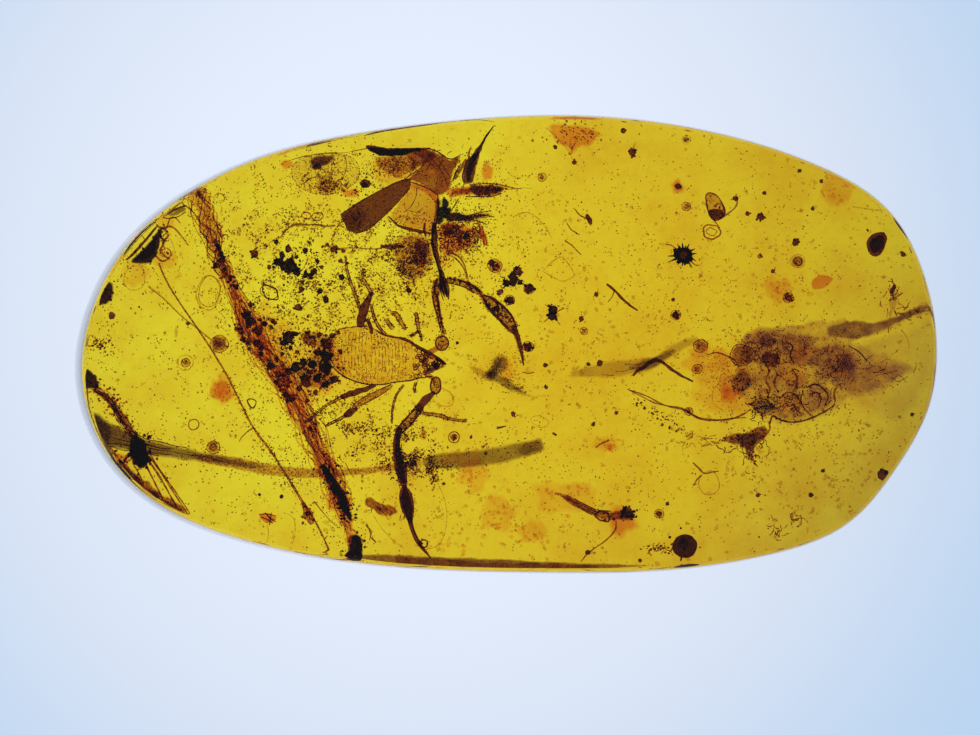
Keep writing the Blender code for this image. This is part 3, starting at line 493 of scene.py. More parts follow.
    def grain(self, px, py, draw, size, rise, use):
        """A grain with eight faces; size and rise each give the least and the most."""
        x, y = at(px, py)
        half = size[0] + (size[1] - size[0]) * draw.random() ** 1.8
        level = draw.uniform(*rise)
        turn = draw.uniform(0, math.pi)
        long = half * draw.uniform(1.0, 1.7)
        tall = half * draw.uniform(0.5, 1.0)
        if HULL.depth(x, y) < long + COVER:
            return
        cos, sin = math.cos(turn), math.sin(turn)
        level += PLANE
        points = [(x + long * cos, y + long * sin, level), (x - half * sin, y + half * cos, level),
                  (x - long * cos, y - long * sin, level), (x + half * sin, y - half * cos, level),
                  (x, y, level + tall), (x, y, level - tall)]
        faces = [[0, 1, 4], [1, 2, 4], [2, 3, 4], [3, 0, 4], [1, 0, 5], [2, 1, 5], [3, 2, 5], [0, 3, 5]]
        self.add(points, faces, use)

    def crumbs(self, count, spread, seed, size=(2.0, 5.0), rise=0.0, use=0, detail=2):
        """Small rough lumps round a place; sizes in pixels."""
        draw = random.Random(seed)
        for k in range(count):
            px, py = draw.gauss(spread[0], spread[2]), draw.gauss(spread[1], spread[3])
            wide = draw.uniform(*size)
            tall = wide * draw.uniform(0.55, 1.0)
            x, y = at(px, py)
            if HULL.depth(x, y) < wide / SCALE + COVER:
                continue
            self.blob(px, py, wide, tall, draw.uniform(0, 180), rise + draw.uniform(-0.08, 0.08),
                      rough=0.5, seed=seed + k, detail=detail, use=use, busy=2.4)

    def done(self, *nodes):
        """The finished piece; it replaces the nodes that are named."""
        mesh = bpy.data.meshes.new(self.name)
        mesh.from_pydata([tuple(c * MM for c in p) for p in self.points], [], self.faces)
        mesh.polygons.foreach_set("material_index", self.indices)
        mesh.polygons.foreach_set("use_smooth", [True] * len(self.faces))
        mark = mesh.attributes.new("mark", "FLOAT", "POINT")
        mark.data.foreach_set("value", self.marks)
        for made in self.materials:
            mesh.materials.append(made)
        mesh.update()
        piece = bpy.data.objects.new(self.name, mesh)
        bpy.context.scene.collection.objects.link(piece)
        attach(piece, "root")
        if nodes:
            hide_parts(*nodes)
        return piece


def joined(a, b, sides):
    """The faces between two rings of points that start at a and at b."""
    return [[a + i, a + (i + 1) % sides, b + (i + 1) % sides, b + i] for i in range(sides)]


def in_outline(p, starts, ends):
    """Whether a point lies inside an outline."""
    x, y = p
    y1, y2 = starts[:, 1], ends[:, 1]
    x1, x2 = starts[:, 0], ends[:, 0]
    crossed = (y1 > y) != (y2 > y)
    with np.errstate(divide="ignore", invalid="ignore"):
        reach = x1 + (x2 - x1) * (y - y1) / (y2 - y1)
    return bool(np.sum(crossed & (x < reach)) % 2)


def gap_to(p, starts, ends):
    """Distance from a point to the nearest side of an outline."""
    line = ends - starts
    toward = np.array([p[0], p[1]]) - starts
    length = np.maximum((line**2).sum(1), 1e-12)
    share = np.clip((line * toward).sum(1) / length, 0, 1)
    return float(np.min(np.linalg.norm(toward - line * share[:, None], axis=1)))


# ---- the amber ----
HEIGHT = 4.0
DOME = 0.2  # how far the middle of the top stands above its rim
BASE_ROUND = 0.25  # radius of the lower edge
EDGE_ROUND = 0.1  # radius of the upper edge
BULGE = 0.05  # how far the wall's waist stands out beyond its rims
LEFT_DRAFT = 0.22  # how far the left end leans in from its foot to its rim
WALL_RISE = 0.3  # the rise at which the wall's distance is measured
COARSE, FINE = 180, 420  # points round the outline, for distances and for the mesh
OUTLINE = [
    (9.00, -0.12), (8.73, 1.45), (7.98, 2.80), (6.62, 3.68), (4.23, 4.44), (1.50, 4.76),
    (-1.20, 4.64), (-3.42, 4.35), (-4.74, 4.06), (-6.27, 3.45), (-8.00, 2.12), (-8.78, 0.72),
    (-9.00, -0.56), (-8.66, -1.97), (-7.86, -3.03), (-5.45, -4.17), (-2.82, -4.62),
    (0.70, -4.77), (3.25, -4.73), (5.60, -4.38), (7.13, -3.76), (8.14, -2.62), (8.83, -1.33),
]


class Hull:
    """The amber's outline, and how deep a place lies inside its wall."""

    def __init__(self, steps):
        line = periodic_curve(OUTLINE, steps)
        self.line = line - (line.max(0) + line.min(0)) / 2
        self.wall = np.array(self.ring(PLANE + WALL_RISE, 0.0))[:, :2]
        self.ends = np.roll(self.wall, -1, 0)

    def depth(self, x, y):
        """How far inside the wall a place lies; less than 0 outside it."""
        if not in_outline((x, y), self.wall, self.ends):
            return -gap_to((x, y), self.wall, self.ends)
        return gap_to((x, y), self.wall, self.ends)

    def ring(self, level, inset):
        """The outline at a height, moved in by the bulge, the lean of the left end and the inset."""
        line = self.line
        leftward = np.clip(-line[:, 0] / np.abs(line[:, 0]).max(), 0, 1) ** 2
        share = level / (HEIGHT - DOME)
        moved = inset + BULGE * (2 * share - 1) ** 2 + LEFT_DRAFT * leftward * share
        ahead = np.roll(line, -1, 0) - np.roll(line, 1, 0)
        ahead /= np.linalg.norm(ahead, axis=1)[:, None]
        flat = line - np.stack([ahead[:, 1], -ahead[:, 0]], axis=1) * moved[:, None]
        return [(x, y, level) for x, y in flat]


HULL = Hull(COARSE)


def amber():
    """One clear piece in place of the two halves."""
    hull = Hull(FINE)
    turns = np.linspace(0, math.pi / 2, 9)
    rings = [hull.ring(BASE_ROUND * (1 - math.cos(t)), BASE_ROUND * (1 - math.sin(t))) for t in turns]
    rim = HEIGHT - DOME
    rings += [hull.ring(rim * share, 0.0) for share in (0.2, 0.35, 0.5, 0.65, 0.8)]
    rings += [hull.ring(rim - EDGE_ROUND * (1 - math.sin(t)), EDGE_ROUND * (1 - math.cos(t)))
              for t in turns]
    top, base = rings[-1], rings[0]
    inner = (0.99, 0.96, 0.9, 0.8, 0.65, 0.5, 0.35, 0.2, 0.08)
    rings += [[(x * s, y * s, HEIGHT - DOME * s**2) for x, y, _ in top] for s in inner]
    rings = [[(x * s, y * s, 0.0) for x, y, _ in base] for s in inner[::-1]] + rings
    steps = len(top)
    points = [p for ring in rings for p in ring] + [(0.0, 0.0, 0.0), (0.0, 0.0, HEIGHT)]
    faces = []
    for k in range(len(rings) - 1):
        faces += joined(k * steps, (k + 1) * steps, steps)
    last = (len(rings) - 1) * steps
    for i in range(steps):
        j = (i + 1) % steps
        faces += [[j, i, len(points) - 2], [last + i, last + j, len(points) - 1]]
    piece = Piece("amber_clear", [resin()], "amber")
    piece.add(points, faces)
    return piece.done("amber_lower", "amber_upper")


# ---- stage ----
GLOW_RADII = (16.3, 16.7)  # how far the glow reaches along x and y
GLOW_SHIFT = (0.107, -0.041, 0.0)  # from the brightest place to the amber's middle, in these radii
GLOW_STRENGTH = 1.03
TABLE = 2  # half the table's width in metres
TABLE_GAP = 0.01  # how far the table lies under the amber
SENSOR = 36.0
CAMERA_DISTANCE = 500.0
SCALE_LEVEL = 2.77  # the height at which the inclusions appear through the top: SCALE holds there
BOUNCES = 64


def stage():
    """A pale table that gives off light, soft pale light all round and a camera straight above."""
    made, nodes, links, shader = fresh("lit_table")
    vector = place_mm(nodes, links)
    shift = nodes.new("ShaderNodeMapping")
    shift.vector_type = "POINT"
    shift.inputs["Location"].default_value = GLOW_SHIFT
    shift.inputs["Scale"].default_value = (1 / GLOW_RADII[0], 1 / GLOW_RADII[1], 0.0)
    links.new(vector, shift.inputs["Vector"])
    ball = nodes.new("ShaderNodeTexGradient")
    ball.gradient_type = "SPHERICAL"
    links.new(shift.outputs["Vector"], ball.inputs["Vector"])
    glow = ramp(nodes, links, ball.outputs["Fac"],
                [(0.0, (0.39, 0.57, 0.80)), (0.23, (0.49, 0.625, 0.81)), (0.42, (0.625, 0.705, 0.845)),
                 (0.62, (0.705, 0.775, 0.91)), (0.81, (0.745, 0.825, 0.965)), (1.0, (0.76, 0.845, 0.99))])
    links.new(glow, shader.inputs["Emission Color"])
    shader.inputs["Emission Strength"].default_value = GLOW_STRENGTH
    shader.inputs["Base Color"].default_value = (0.12, 0.12, 0.12, 1.0)
    shader.inputs["Roughness"].default_value = 0.9
    shader.inputs["Specular IOR Level"].default_value = 0.0
    mesh = bpy.data.meshes.new("table")
    corners = [(-TABLE, -TABLE, 0), (TABLE, -TABLE, 0), (TABLE, TABLE, 0), (-TABLE, TABLE, 0)]
    mesh.from_pydata(corners, [], [[0, 1, 2, 3]])
    mesh.materials.append(made)
    table = bpy.data.objects.new("table", mesh)
    table.location.z = -TABLE_GAP * MM
    bpy.context.scene.collection.objects.link(table)

    world = bpy.data.worlds.new("soft_light")
    bpy.context.scene.world = world
    world.use_nodes = True
    nodes, links = world.node_tree.nodes, world.node_tree.links
    place = nodes.new("ShaderNodeTexCoord")
    split = nodes.new("ShaderNodeSeparateXYZ")
    links.new(place.outputs["Generated"], split.inputs[0])
    sky = ramp(nodes, links, split.outputs["Z"],
               [(0.0, (0.66, 0.72, 0.82)), (0.35, (0.62, 0.68, 0.78)), (1.0, (0.14, 0.15, 0.17))])
    links.new(sky, nodes["Background"].inputs["Color"])

    eye = bpy.data.cameras.new("camera")
    eye.sensor_width = SENSOR
    eye.lens = SENSOR * CAMERA_DISTANCE / (FRAME[0] / SCALE)
    eye.clip_start, eye.clip_end = 0.01, 20.0
    camera = bpy.data.objects.new("camera", eye)
    x, y = at(FRAME[0] / 2, FRAME[1] / 2)
    camera.location = (x * MM, y * MM, (CAMERA_DISTANCE + SCALE_LEVEL) * MM)
    bpy.context.scene.collection.objects.link(camera)
    bpy.context.scene.camera = camera

    scene = bpy.context.scene
    scene.view_settings.view_transform = "Standard"
    scene.cycles.max_bounces = BOUNCES
    scene.cycles.transmission_bounces = BOUNCES
    scene.cycles.transparent_max_bounces = BOUNCES


# ---- shared finishes ----
def finishes():
    """The materials of what lies in the amber."""
    return {
        "cuticle": wall("cuticle", (0.62, 0.34, 0.2), (0.98, 0.88, 0.74), (0.42, 0.12, 0.04), 6500.0,
                        22.0),
        "abdomen": wall("abdomen_skin", (0.90, 0.72, 0.5), (1.0, 0.95, 0.88), (0.75, 0.22, 0.1),
                        3000.0, 9.0),
        "dusky": tint("dusky_cuticle", (0.05, 0.010, 0.02), (0.24, 0.065, 0.05), 12.0, spread=0.18),
        "line": tint("fine_line", (0.14, 0.04, 0.03), (0.55, 0.28, 0.18), 26.0, spread=0.14),
        "faint": tint("faint_line", (0.55, 0.38, 0.28), (0.92, 0.8, 0.65), 20.0, spread=0.12),
        "mote": tint("pale_mote", (0.66, 0.50, 0.38), (0.94, 0.84, 0.72), 12.0, spread=0.2),
        "russet": tint("russet_fibre", (0.22, 0.05, 0.03), (0.85, 0.42, 0.15), 9.0, spots=0.5,
                       spot_colour=(0.3, 0.12, 0.1), spread=0.16),
        "umber": tint("umber_scrap", (0.09, 0.022, 0.03), (0.24, 0.08, 0.06), 6.0, spots=0.4,
                      spot_colour=(0.45, 0.3, 0.3), fade=True, ragged=0.5),
        "ochre": tint("ochre_sheet", (0.62, 0.36, 0.2), (0.9, 0.68, 0.4), 7.0, spots=0.4,
                      spot_colour=(0.45, 0.22, 0.15)),
        "bark": tint("red_bark", (0.24, 0.06, 0.03), (0.66, 0.30, 0.12), 7.0, spots=0.5,
                     spot_colour=(0.4, 0.18, 0.1), spread=0.16, fade=True, ragged=0.5),
        "ink": tint("ink", (0.012, 0.003, 0.005), (0.06, 0.018, 0.02), 6.0, fade=True, ragged=0.5),
        "grain": tint("dark_grain", (0.008, 0.002, 0.002), (0.10, 0.022, 0.015), 14.0, spread=0.2),
        "speck": tint("dark_speck", (0.05, 0.012, 0.01), (0.34, 0.12, 0.05), 9.0),
        "brown_speck": tint("brown_speck", (0.35, 0.18, 0.1), (0.66, 0.44, 0.3), 5.0),
        "deep": tint("deep_stem", (0.24, 0.17, 0.28), (0.42, 0.30, 0.40), 2.0, fade=True, ragged=0.35,
                     spots=0.25, spot_colour=(0.7, 0.6, 0.5)),
        "olive": tint("olive_band", (0.28, 0.21, 0.2), (0.50, 0.39, 0.3), 2.5, fade=True, ragged=0.5),
        "stain": tint("orange_stain", (0.88, 0.58, 0.42), (0.98, 0.86, 0.7), 2.4, fade=True, ragged=1.2),
        "leaf": tint("leaf_brown", (0.12, 0.034, 0.012), (0.25, 0.08, 0.028), 14.0),
        "pale_olive": tint("pale_olive", (0.56, 0.46, 0.36), (0.76, 0.62, 0.5), 2.5, fade=True,
                           ragged=0.5),
        "tan": tint("tan_fibre", (0.66, 0.40, 0.22), (0.90, 0.64, 0.42), 8.0),
        "sheet": tint("bark_sheet_skin", (0.30, 0.12, 0.06), (0.50, 0.22, 0.10), 4.0, fade=True,
                      ragged=0.3, spread=0.2),
        "amber_sheet": tint("orange_sheet", (0.66, 0.38, 0.24), (0.84, 0.58, 0.4), 3.0, fade=True,
                            ragged=0.3, spread=0.4),
        "coal": tint("coal_chip", (0.006, 0.006, 0.008), (0.03, 0.028, 0.03), 12.0, fade=True,
                     ragged=0.8),
        "plum": tint("plum_brown", (0.62, 0.45, 0.95), (0.90, 0.78, 1.0), 5.0, fade=True, ragged=0.8,
                     spread=0.16),
        "dark_plum": tint("dark_plum", (0.30, 0.19, 0.6), (0.58, 0.42, 0.85), 5.0, fade=True,
                          ragged=0.9, spread=0.18),
        "pale_plum": tint("pale_plum", (0.80, 0.69, 1.0), (0.92, 0.85, 1.0), 2.0, fade=True, ragged=0.8),
        "fibre": tint("orange_fibre", (0.46, 0.19, 0.08), (0.92, 0.66, 0.34), 9.0, spread=0.16),
        "rust": tint("rust_stain", (0.78, 0.30, 0.2), (0.92, 0.52, 0.3), 3.0, fade=True, ragged=0.7),
        "glass": tint("brown_disc", (0.36, 0.16, 0.1), (0.72, 0.44, 0.28), 8.0, fade=True, ragged=0.5,
                      spots=0.4, spot_colour=(0.5, 0.3, 0.25)),
        "haze": tint("brown_haze", (0.50, 0.27, 0.2), (0.88, 0.62, 0.4), 6.0, fade=True, ragged=1.1,
                     spots=0.5, spot_colour=(0.5, 0.3, 0.25)),
        "rim": tint("rim_bark", (0.26, 0.14, 0.3), (0.40, 0.25, 0.4), 3.0, spots=0.3,
                    spot_colour=(0.55, 0.4, 0.4), fade=True, ragged=0.3),
        "film": tint("sac_film", (0.84, 0.72, 0.6), (0.98, 0.93, 0.9), 5.0, spots=0.2,
                     spot_colour=(0.7, 0.5, 0.4)),
        "bruise": tint("purple_core", (0.35, 0.2, 0.25), (0.6, 0.4, 0.4), 6.0),
        "murk": tint("brown_murk", (0.26, 0.10, 0.08), (0.62, 0.32, 0.2), 5.0, fade=True, ragged=1.0,
                     spots=0.6, spot_colour=(0.4, 0.2, 0.15)),
    }


# ---- the animal ----
FLATNESS = 0.42  # the body's half height to its half width
ABDOMEN = [  # px along the body, the top and the bottom edge
    (329.5, 349, 354), (331, 343, 359), (333.5, 336, 365), (337, 332, 370), (344, 328.7, 375.5),
    (356, 327, 381.6), (369, 327.4, 384.2), (382, 331.5, 384.2), (397, 336.6, 382), (410, 341.0, 380.2),
    (420, 347.0, 377.5), (430, 353.5, 373.5), (437, 358.0, 369.5), (443, 361.5, 366.5), (446, 363.4, 364.8),
]


def body_skin(piece, use, wall_mm, rounds=46, sides=30):
    """The flattened hollow body, wide where its two edges stand apart."""
    fine = open_curve(ABDOMEN, rounds)
    for less in (0.0, wall_mm):
        rings = []
        for px, top, bottom in fine:
            x, y_top = at(px, top)
            y_bottom = at(px, bottom)[1]
            half = max((y_top - y_bottom) / 2 - less, 0.02)
            middle = (y_top + y_bottom) / 2
            for i in range(sides):
                angle = 2 * math.pi * i / sides
                side = math.copysign(abs(math.cos(angle)) ** 0.9, math.cos(angle)) * half
                rings.append((x, middle + side, PLANE + FLATNESS * half * math.sin(angle)))
        faces = []
        for k in range(rounds - 1):
            faces += joined(k * sides, (k + 1) * sides, sides)
        faces.append(list(range(sides))[::-1])
        faces.append([(rounds - 1) * sides + i for i in range(sides)])
        piece.add(rings, [face[::-1] for face in faces] if less else faces, use)


def body_edge(px):
    """The top and the bottom edge of the body at a place along it, in pixels."""
    table = np.array(ABDOMEN)
    return np.interp(px, table[:, 0], table[:, 1]), np.interp(px, table[:, 0], table[:, 2])


def back_lines(piece, use, speck):
    """The fine edges of the back plates, which run broken and dotted across the body."""
    draw = random.Random(4)
    for k, px in enumerate(np.linspace(340, 405, 20)):
        top, bottom = body_edge(px)
        middle, half = (top + bottom) / 2, (bottom - top) / 2 - 3.5
        places = []
        for t in np.linspace(-0.93, 0.93, 26):
            bend = 1.6 * (1 - t * t) * (1 if px > 370 else -1) + 1.3 * wobble(t * 3, k, 0, 1.0, 3)
            lift = FLATNESS * (half / SCALE) * math.sqrt(max(1 - t * t, 0.0)) + 0.004
            places.append((px + bend, middle + half * t, lift))
        start = 0
        while start < 24:
            stop = start + draw.randint(3, 8)
            rows = [(*at(x, y), lift, 0.5 * draw.uniform(0.4, 0.9) / SCALE)
                    for x, y, lift in places[start:stop]]
            if len(rows) > 2:
                piece.skin(np.array(rows), 5, 1.0, use, 0.0, k)
            start = stop + draw.randint(0, 2)
        for x, y, lift in places[::2]:
            if draw.random() < 0.6:
                piece.grain(x + draw.uniform(-1, 1), y, draw, (0.006, 0.013), (lift, lift + 0.01), speck)


def animal(look):
    """The pseudoscorpion: body, jaws, two long pincer arms and eight legs."""
    piece = Piece("pseudoscorpion_detail",
                  [look["cuticle"], look["abdomen"], look["dusky"], look["line"], look["speck"]],
                  "chitin")
    cuticle, abdomen, dusky, line, speck = range(5)
    body_skin(piece, abdomen, 0.02)
    back_lines(piece, line, speck)
    body_edge_shade_and_dots(piece, line, dusky)
    head(piece, dusky, line, cuticle)
    upper_arm(piece, cuticle, dusky, line, speck)
    lower_arm(piece, cuticle, dusky, line, speck)
    legs(piece, cuticle, dusky, line, speck)
    body_specks(piece, speck)
    return piece.done("pseudoscorpion")


def body_edge_shade_and_dots(piece, line, dusky):
    """Dark lines along the body's edges, painted shade where light crosses the cuticle edge-on, dotted at
    the rear and below.
    """
    piece.tube(path([(377, 330.6, 1.3), (383, 334.5, 1.8), (392, 336.8, 2.2), (401, 338.3, 2.5),
                     (410, 341.5, 2.9), (416.5, 346.2, 3.4), (425, 350.5, 3.8), (433, 355, 3.8),
                     (440, 360, 3.6), (446, 364, 2.0)], 0.05), 40, 8, use=dusky, rough=0.5, seed=3)
    rear = [(377, 330.6), (369, 327.2), (356.5, 327.0), (344, 328.5), (336.5, 332), (331.5, 341),
            (329.8, 350), (331.5, 359), (335, 366.5)]
    piece.tube(path([(*p, 1.1) for p in rear]), 40, 6, use=line, rough=0.6, seed=4)
    dotted(piece, rear, 1.5, dusky, 700, 0.02, False, 1.9)
    under = [(331, 364), (338, 371.5), (346, 377), (356.5, 381.4), (369, 384.0), (382, 384.2),
             (397, 381.6), (410, 380.2), (420, 377.6), (432, 376.2)]
    piece.tube(path([(*p, 1.3) for p in under]), 46, 6, use=dusky, rough=0.6, seed=5)
    dotted(piece, under, 1.7, dusky, 800, 0.02, False, 1.9)
    dotted(piece, [(341, 368), (348, 373), (358, 377.8), (371, 381.0), (384, 381)], 1.1, dusky, 900, 0.02)


def head(piece, dusky, line, cuticle):
    """The dark net of cells on the carapace, and the pointed jaws at its tip."""
    piece.plate([(436, 357.4), (441.6, 359.6), (446.4, 363.6), (442.6, 366.0), (440.4, 362.8)], 0.06,
                0.05, dusky, 1.0, 2.0, 0.0, 1.0, 31, False)
    draw = random.Random(8)
    for k in range(50):
        px = 411 + 28 * draw.random() ** 0.7
        top, bottom = body_edge(px)
        py = draw.uniform(top + 2.5, bottom - 2.0)
        half = draw.uniform(1.3, 2.6)
        piece.loop((px, py), (half, half * draw.uniform(0.6, 1.0)), draw.uniform(0.8, 1.5), 0.14,
                   draw.uniform(0, 180), line if k % 5 else dusky, 12, 4, 0.4, k)
    for py, end in ((355.5, 361.5), (371.0, 366.0)):
        piece.tube(path([(428, py, 4.0), (436, (py + end) / 2, 4.4), (445, end, 1.4)], 0.05), 10, 7,
                   use=cuticle, wall=0.012, seed=int(py))
    for k, (px, py, size) in enumerate([(431, 358, 2.4), (428, 370.6, 2.2), (437, 368, 2.0),
                                        (425, 353, 2.2), (419, 374, 2.0)]):
        piece.blob(px, py, size * 1.4, size, 40 * k, 0.1, use=dusky, rough=0.5, seed=40 + k, detail=2)


def mottle(piece, spread, count, use, seed, turn=0.0, rise=0.04, size=(1.6, 3.8)):
    """Dark flecks inside a limb: spread is px, py, half length and half width along a turned line."""
    draw = random.Random(seed)
    lean = math.radians(turn)
    for k in range(count):
        along, across = draw.uniform(-1, 1) * spread[2], draw.uniform(-1, 1) * spread[3]
        across *= math.sqrt(max(1 - (along / spread[2]) ** 2, 0.1))
        px = spread[0] + along * math.cos(lean) - across * math.sin(lean)
        py = spread[1] + along * math.sin(lean) + across * math.cos(lean)
        wide = draw.uniform(*size)
        piece.blob(px, py, wide * 1.5, wide * 0.8, turn + draw.gauss(0, 40), rise, use=use, rough=0.5,
                   seed=seed + k, detail=2, busy=2.6)


def upper_arm(piece, cuticle, dusky, line, speck):
    """The pincer arm that reaches up and to the right, joint by joint to its fingers, with dark lines of
    painted shade along the flanks of its segments.
    """
    piece.tube(path([(425, 355, 5.5), (434, 350, 6.0), (440, 347, 5.0)]), 10, 10, use=cuticle, wall=0.012)
    piece.lump((*at(442.3, 343.2), 0.0), (0.145, 0.155, 0.11), rough=0.08, seed=1, use=cuticle, wall=0.016)
    piece.loop((442.3, 343.2), (6.6, 7.2), 1.5, use=dusky, rough=0.1, seed=2)
    rings_of_dots(piece, (442.3, 343.2), (4.6, 5.2), 22, speck, 11)
    piece.tube(path([(443.6, 336, 3.8), (442.0, 329, 4.2), (440.0, 319, 5.6), (437.6, 309, 6.8),
                     (436.2, 300, 7.2), (436.0, 294, 6.6)], 0.03), 26, 10, use=cuticle, wall=0.018,
               rough=0.08, seed=12)
    flank_dots(piece, [(443.4, 335), (440, 319), (437, 306), (436, 297)], 3.0, 60, speck, 13)
    # the two dark tubes on either flank of this segment are painted shade, where light crosses the hollow
    # wall edge-on
    piece.tube(path([(444.0, 333, 1.2), (441.6, 322, 1.8), (439.6, 312, 2.4), (438.0, 301, 2.8),
                     (437.0, 295, 2.4)], 0.05), 18, 6, use=dusky, rough=0.5, seed=14)
    piece.tube(path([(441.0, 331, 1.0), (438.4, 319, 1.3), (434.8, 307, 1.6), (432.8, 297, 2.0)], 0.05),
               18, 6, use=dusky, rough=0.5, seed=54)
    mottle(piece, (439.6, 316, 17, 2.4), 22, dusky, 55, 78, 0.05, (1.4, 3.0))
    piece.tube(path([(435.4, 297, 7.0), (436.5, 290, 9.5), (439.0, 283.5, 11.0), (441.5, 280.5, 8.0)],
                    0.04), 14, 10, use=cuticle, wall=0.02, rough=0.15, seed=15)
    piece.tube(path([(444.8, 297.5, 1.4), (443.0, 292, 3.2), (439.5, 286, 4.4)], 0.06), 10, 7,
               use=dusky, rough=0.4, seed=16)
    piece.tube(path([(447.0, 297.0, 1.2), (446.0, 291, 2.6), (444.0, 284, 3.0)], 0.08), 10, 7,
               use=dusky, rough=0.4, seed=17)
    piece.tube(path([(434.6, 293, 1.5), (434.8, 286, 2.0), (437.5, 280, 2.0)], 0.06), 8, 6, use=dusky,
               rough=0.3, seed=18)
    piece.tube(path([(443, 280.5, 3.6), (450, 280.8, 5.0), (458, 281.8, 5.4), (465, 284.0, 5.8),
                     (472, 287.6, 6.6), (478, 292.0, 6.6), (482, 296.4, 4.2)], 0.03), 34, 10,
               use=cuticle, wall=0.018, rough=0.15, seed=19)
    flank_dots(piece, [(446, 281), (458, 282), (467, 285), (476, 291), (481, 295.5)], 2.6, 90, speck, 20)
    # painted shade: dark tubes along both flanks of this segment
    piece.tube(path([(452, 280.0, 1.0), (462, 281.8, 1.8), (471, 285.8, 2.8), (480, 292.4, 2.8)], 0.05),
               16, 6, use=dusky, rough=0.5, seed=21)
    piece.tube(path([(446, 283.0, 1.0), (456, 285.4, 1.3), (465, 288.0, 1.6), (474, 293.4, 1.8)], 0.05),
               16, 6, use=dusky, rough=0.5, seed=56)
    mottle(piece, (465, 285.4, 17, 2.6), 26, dusky, 57, 22, 0.05, (1.4, 3.2))
    piece.tube(path([(481, 296.0, 4.0), (485.5, 300.2, 9.0), (492, 306.0, 13.0), (500, 312.8, 14.6),
                     (507, 319.4, 13.6), (512.4, 325.8, 9.6), (515.4, 331.0, 5.4)], 0.0), 38, 14, 0.8,
               use=cuticle, wall=0.026, rough=0.08, seed=22)
    flank_dots(piece, [(484, 298), (492, 305), (500, 312.5), (508, 320), (515, 331)], 5.6, 150, speck, 23)
    mottle(piece, (491, 304, 10, 5.0), 20, dusky, 24, 42, 0.04, (1.8, 4.4))
    mottle(piece, (503, 316, 12, 5.4), 24, dusky, 44, 48, 0.04, (1.8, 4.6))
    # painted shade: dark tubes along both flanks of the hand
    piece.tube(path([(482.5, 296.6, 2.0), (489.6, 309.0, 3.2), (497.6, 318.0, 3.0), (507.0, 328.0, 3.0),
                     (513.6, 334.0, 1.8)], 0.02), 24, 6, use=dusky, rough=0.5, seed=64)
    piece.tube(path([(484.0, 295.6, 1.6), (494.0, 299.6, 2.6), (503.0, 306.6, 2.4), (510.6, 315.0, 2.4),
                     (516.4, 327.0, 1.6)], 0.02), 24, 6, use=dusky, rough=0.5, seed=65)
    piece.tube(path([(513.5, 327.0, 5.2), (517.0, 334.5, 4.6), (519.6, 343.0, 3.8), (521.6, 352.0, 3.0),
                     (523.4, 364.0, 1.6)], 0.02), 24, 8, use=dusky, rough=0.12, seed=25)
    piece.tube(path([(512.0, 329.5, 2.4), (515.4, 337.0, 2.0), (518.2, 346.0, 1.6), (521.6, 357.0, 1.3),
                     (523.6, 365.0, 1.0)], -0.04), 20, 6, use=line, seed=26)
    flank_dots(piece, [(515, 331), (519, 343), (523, 362)], 2.3, 46, speck, 27)


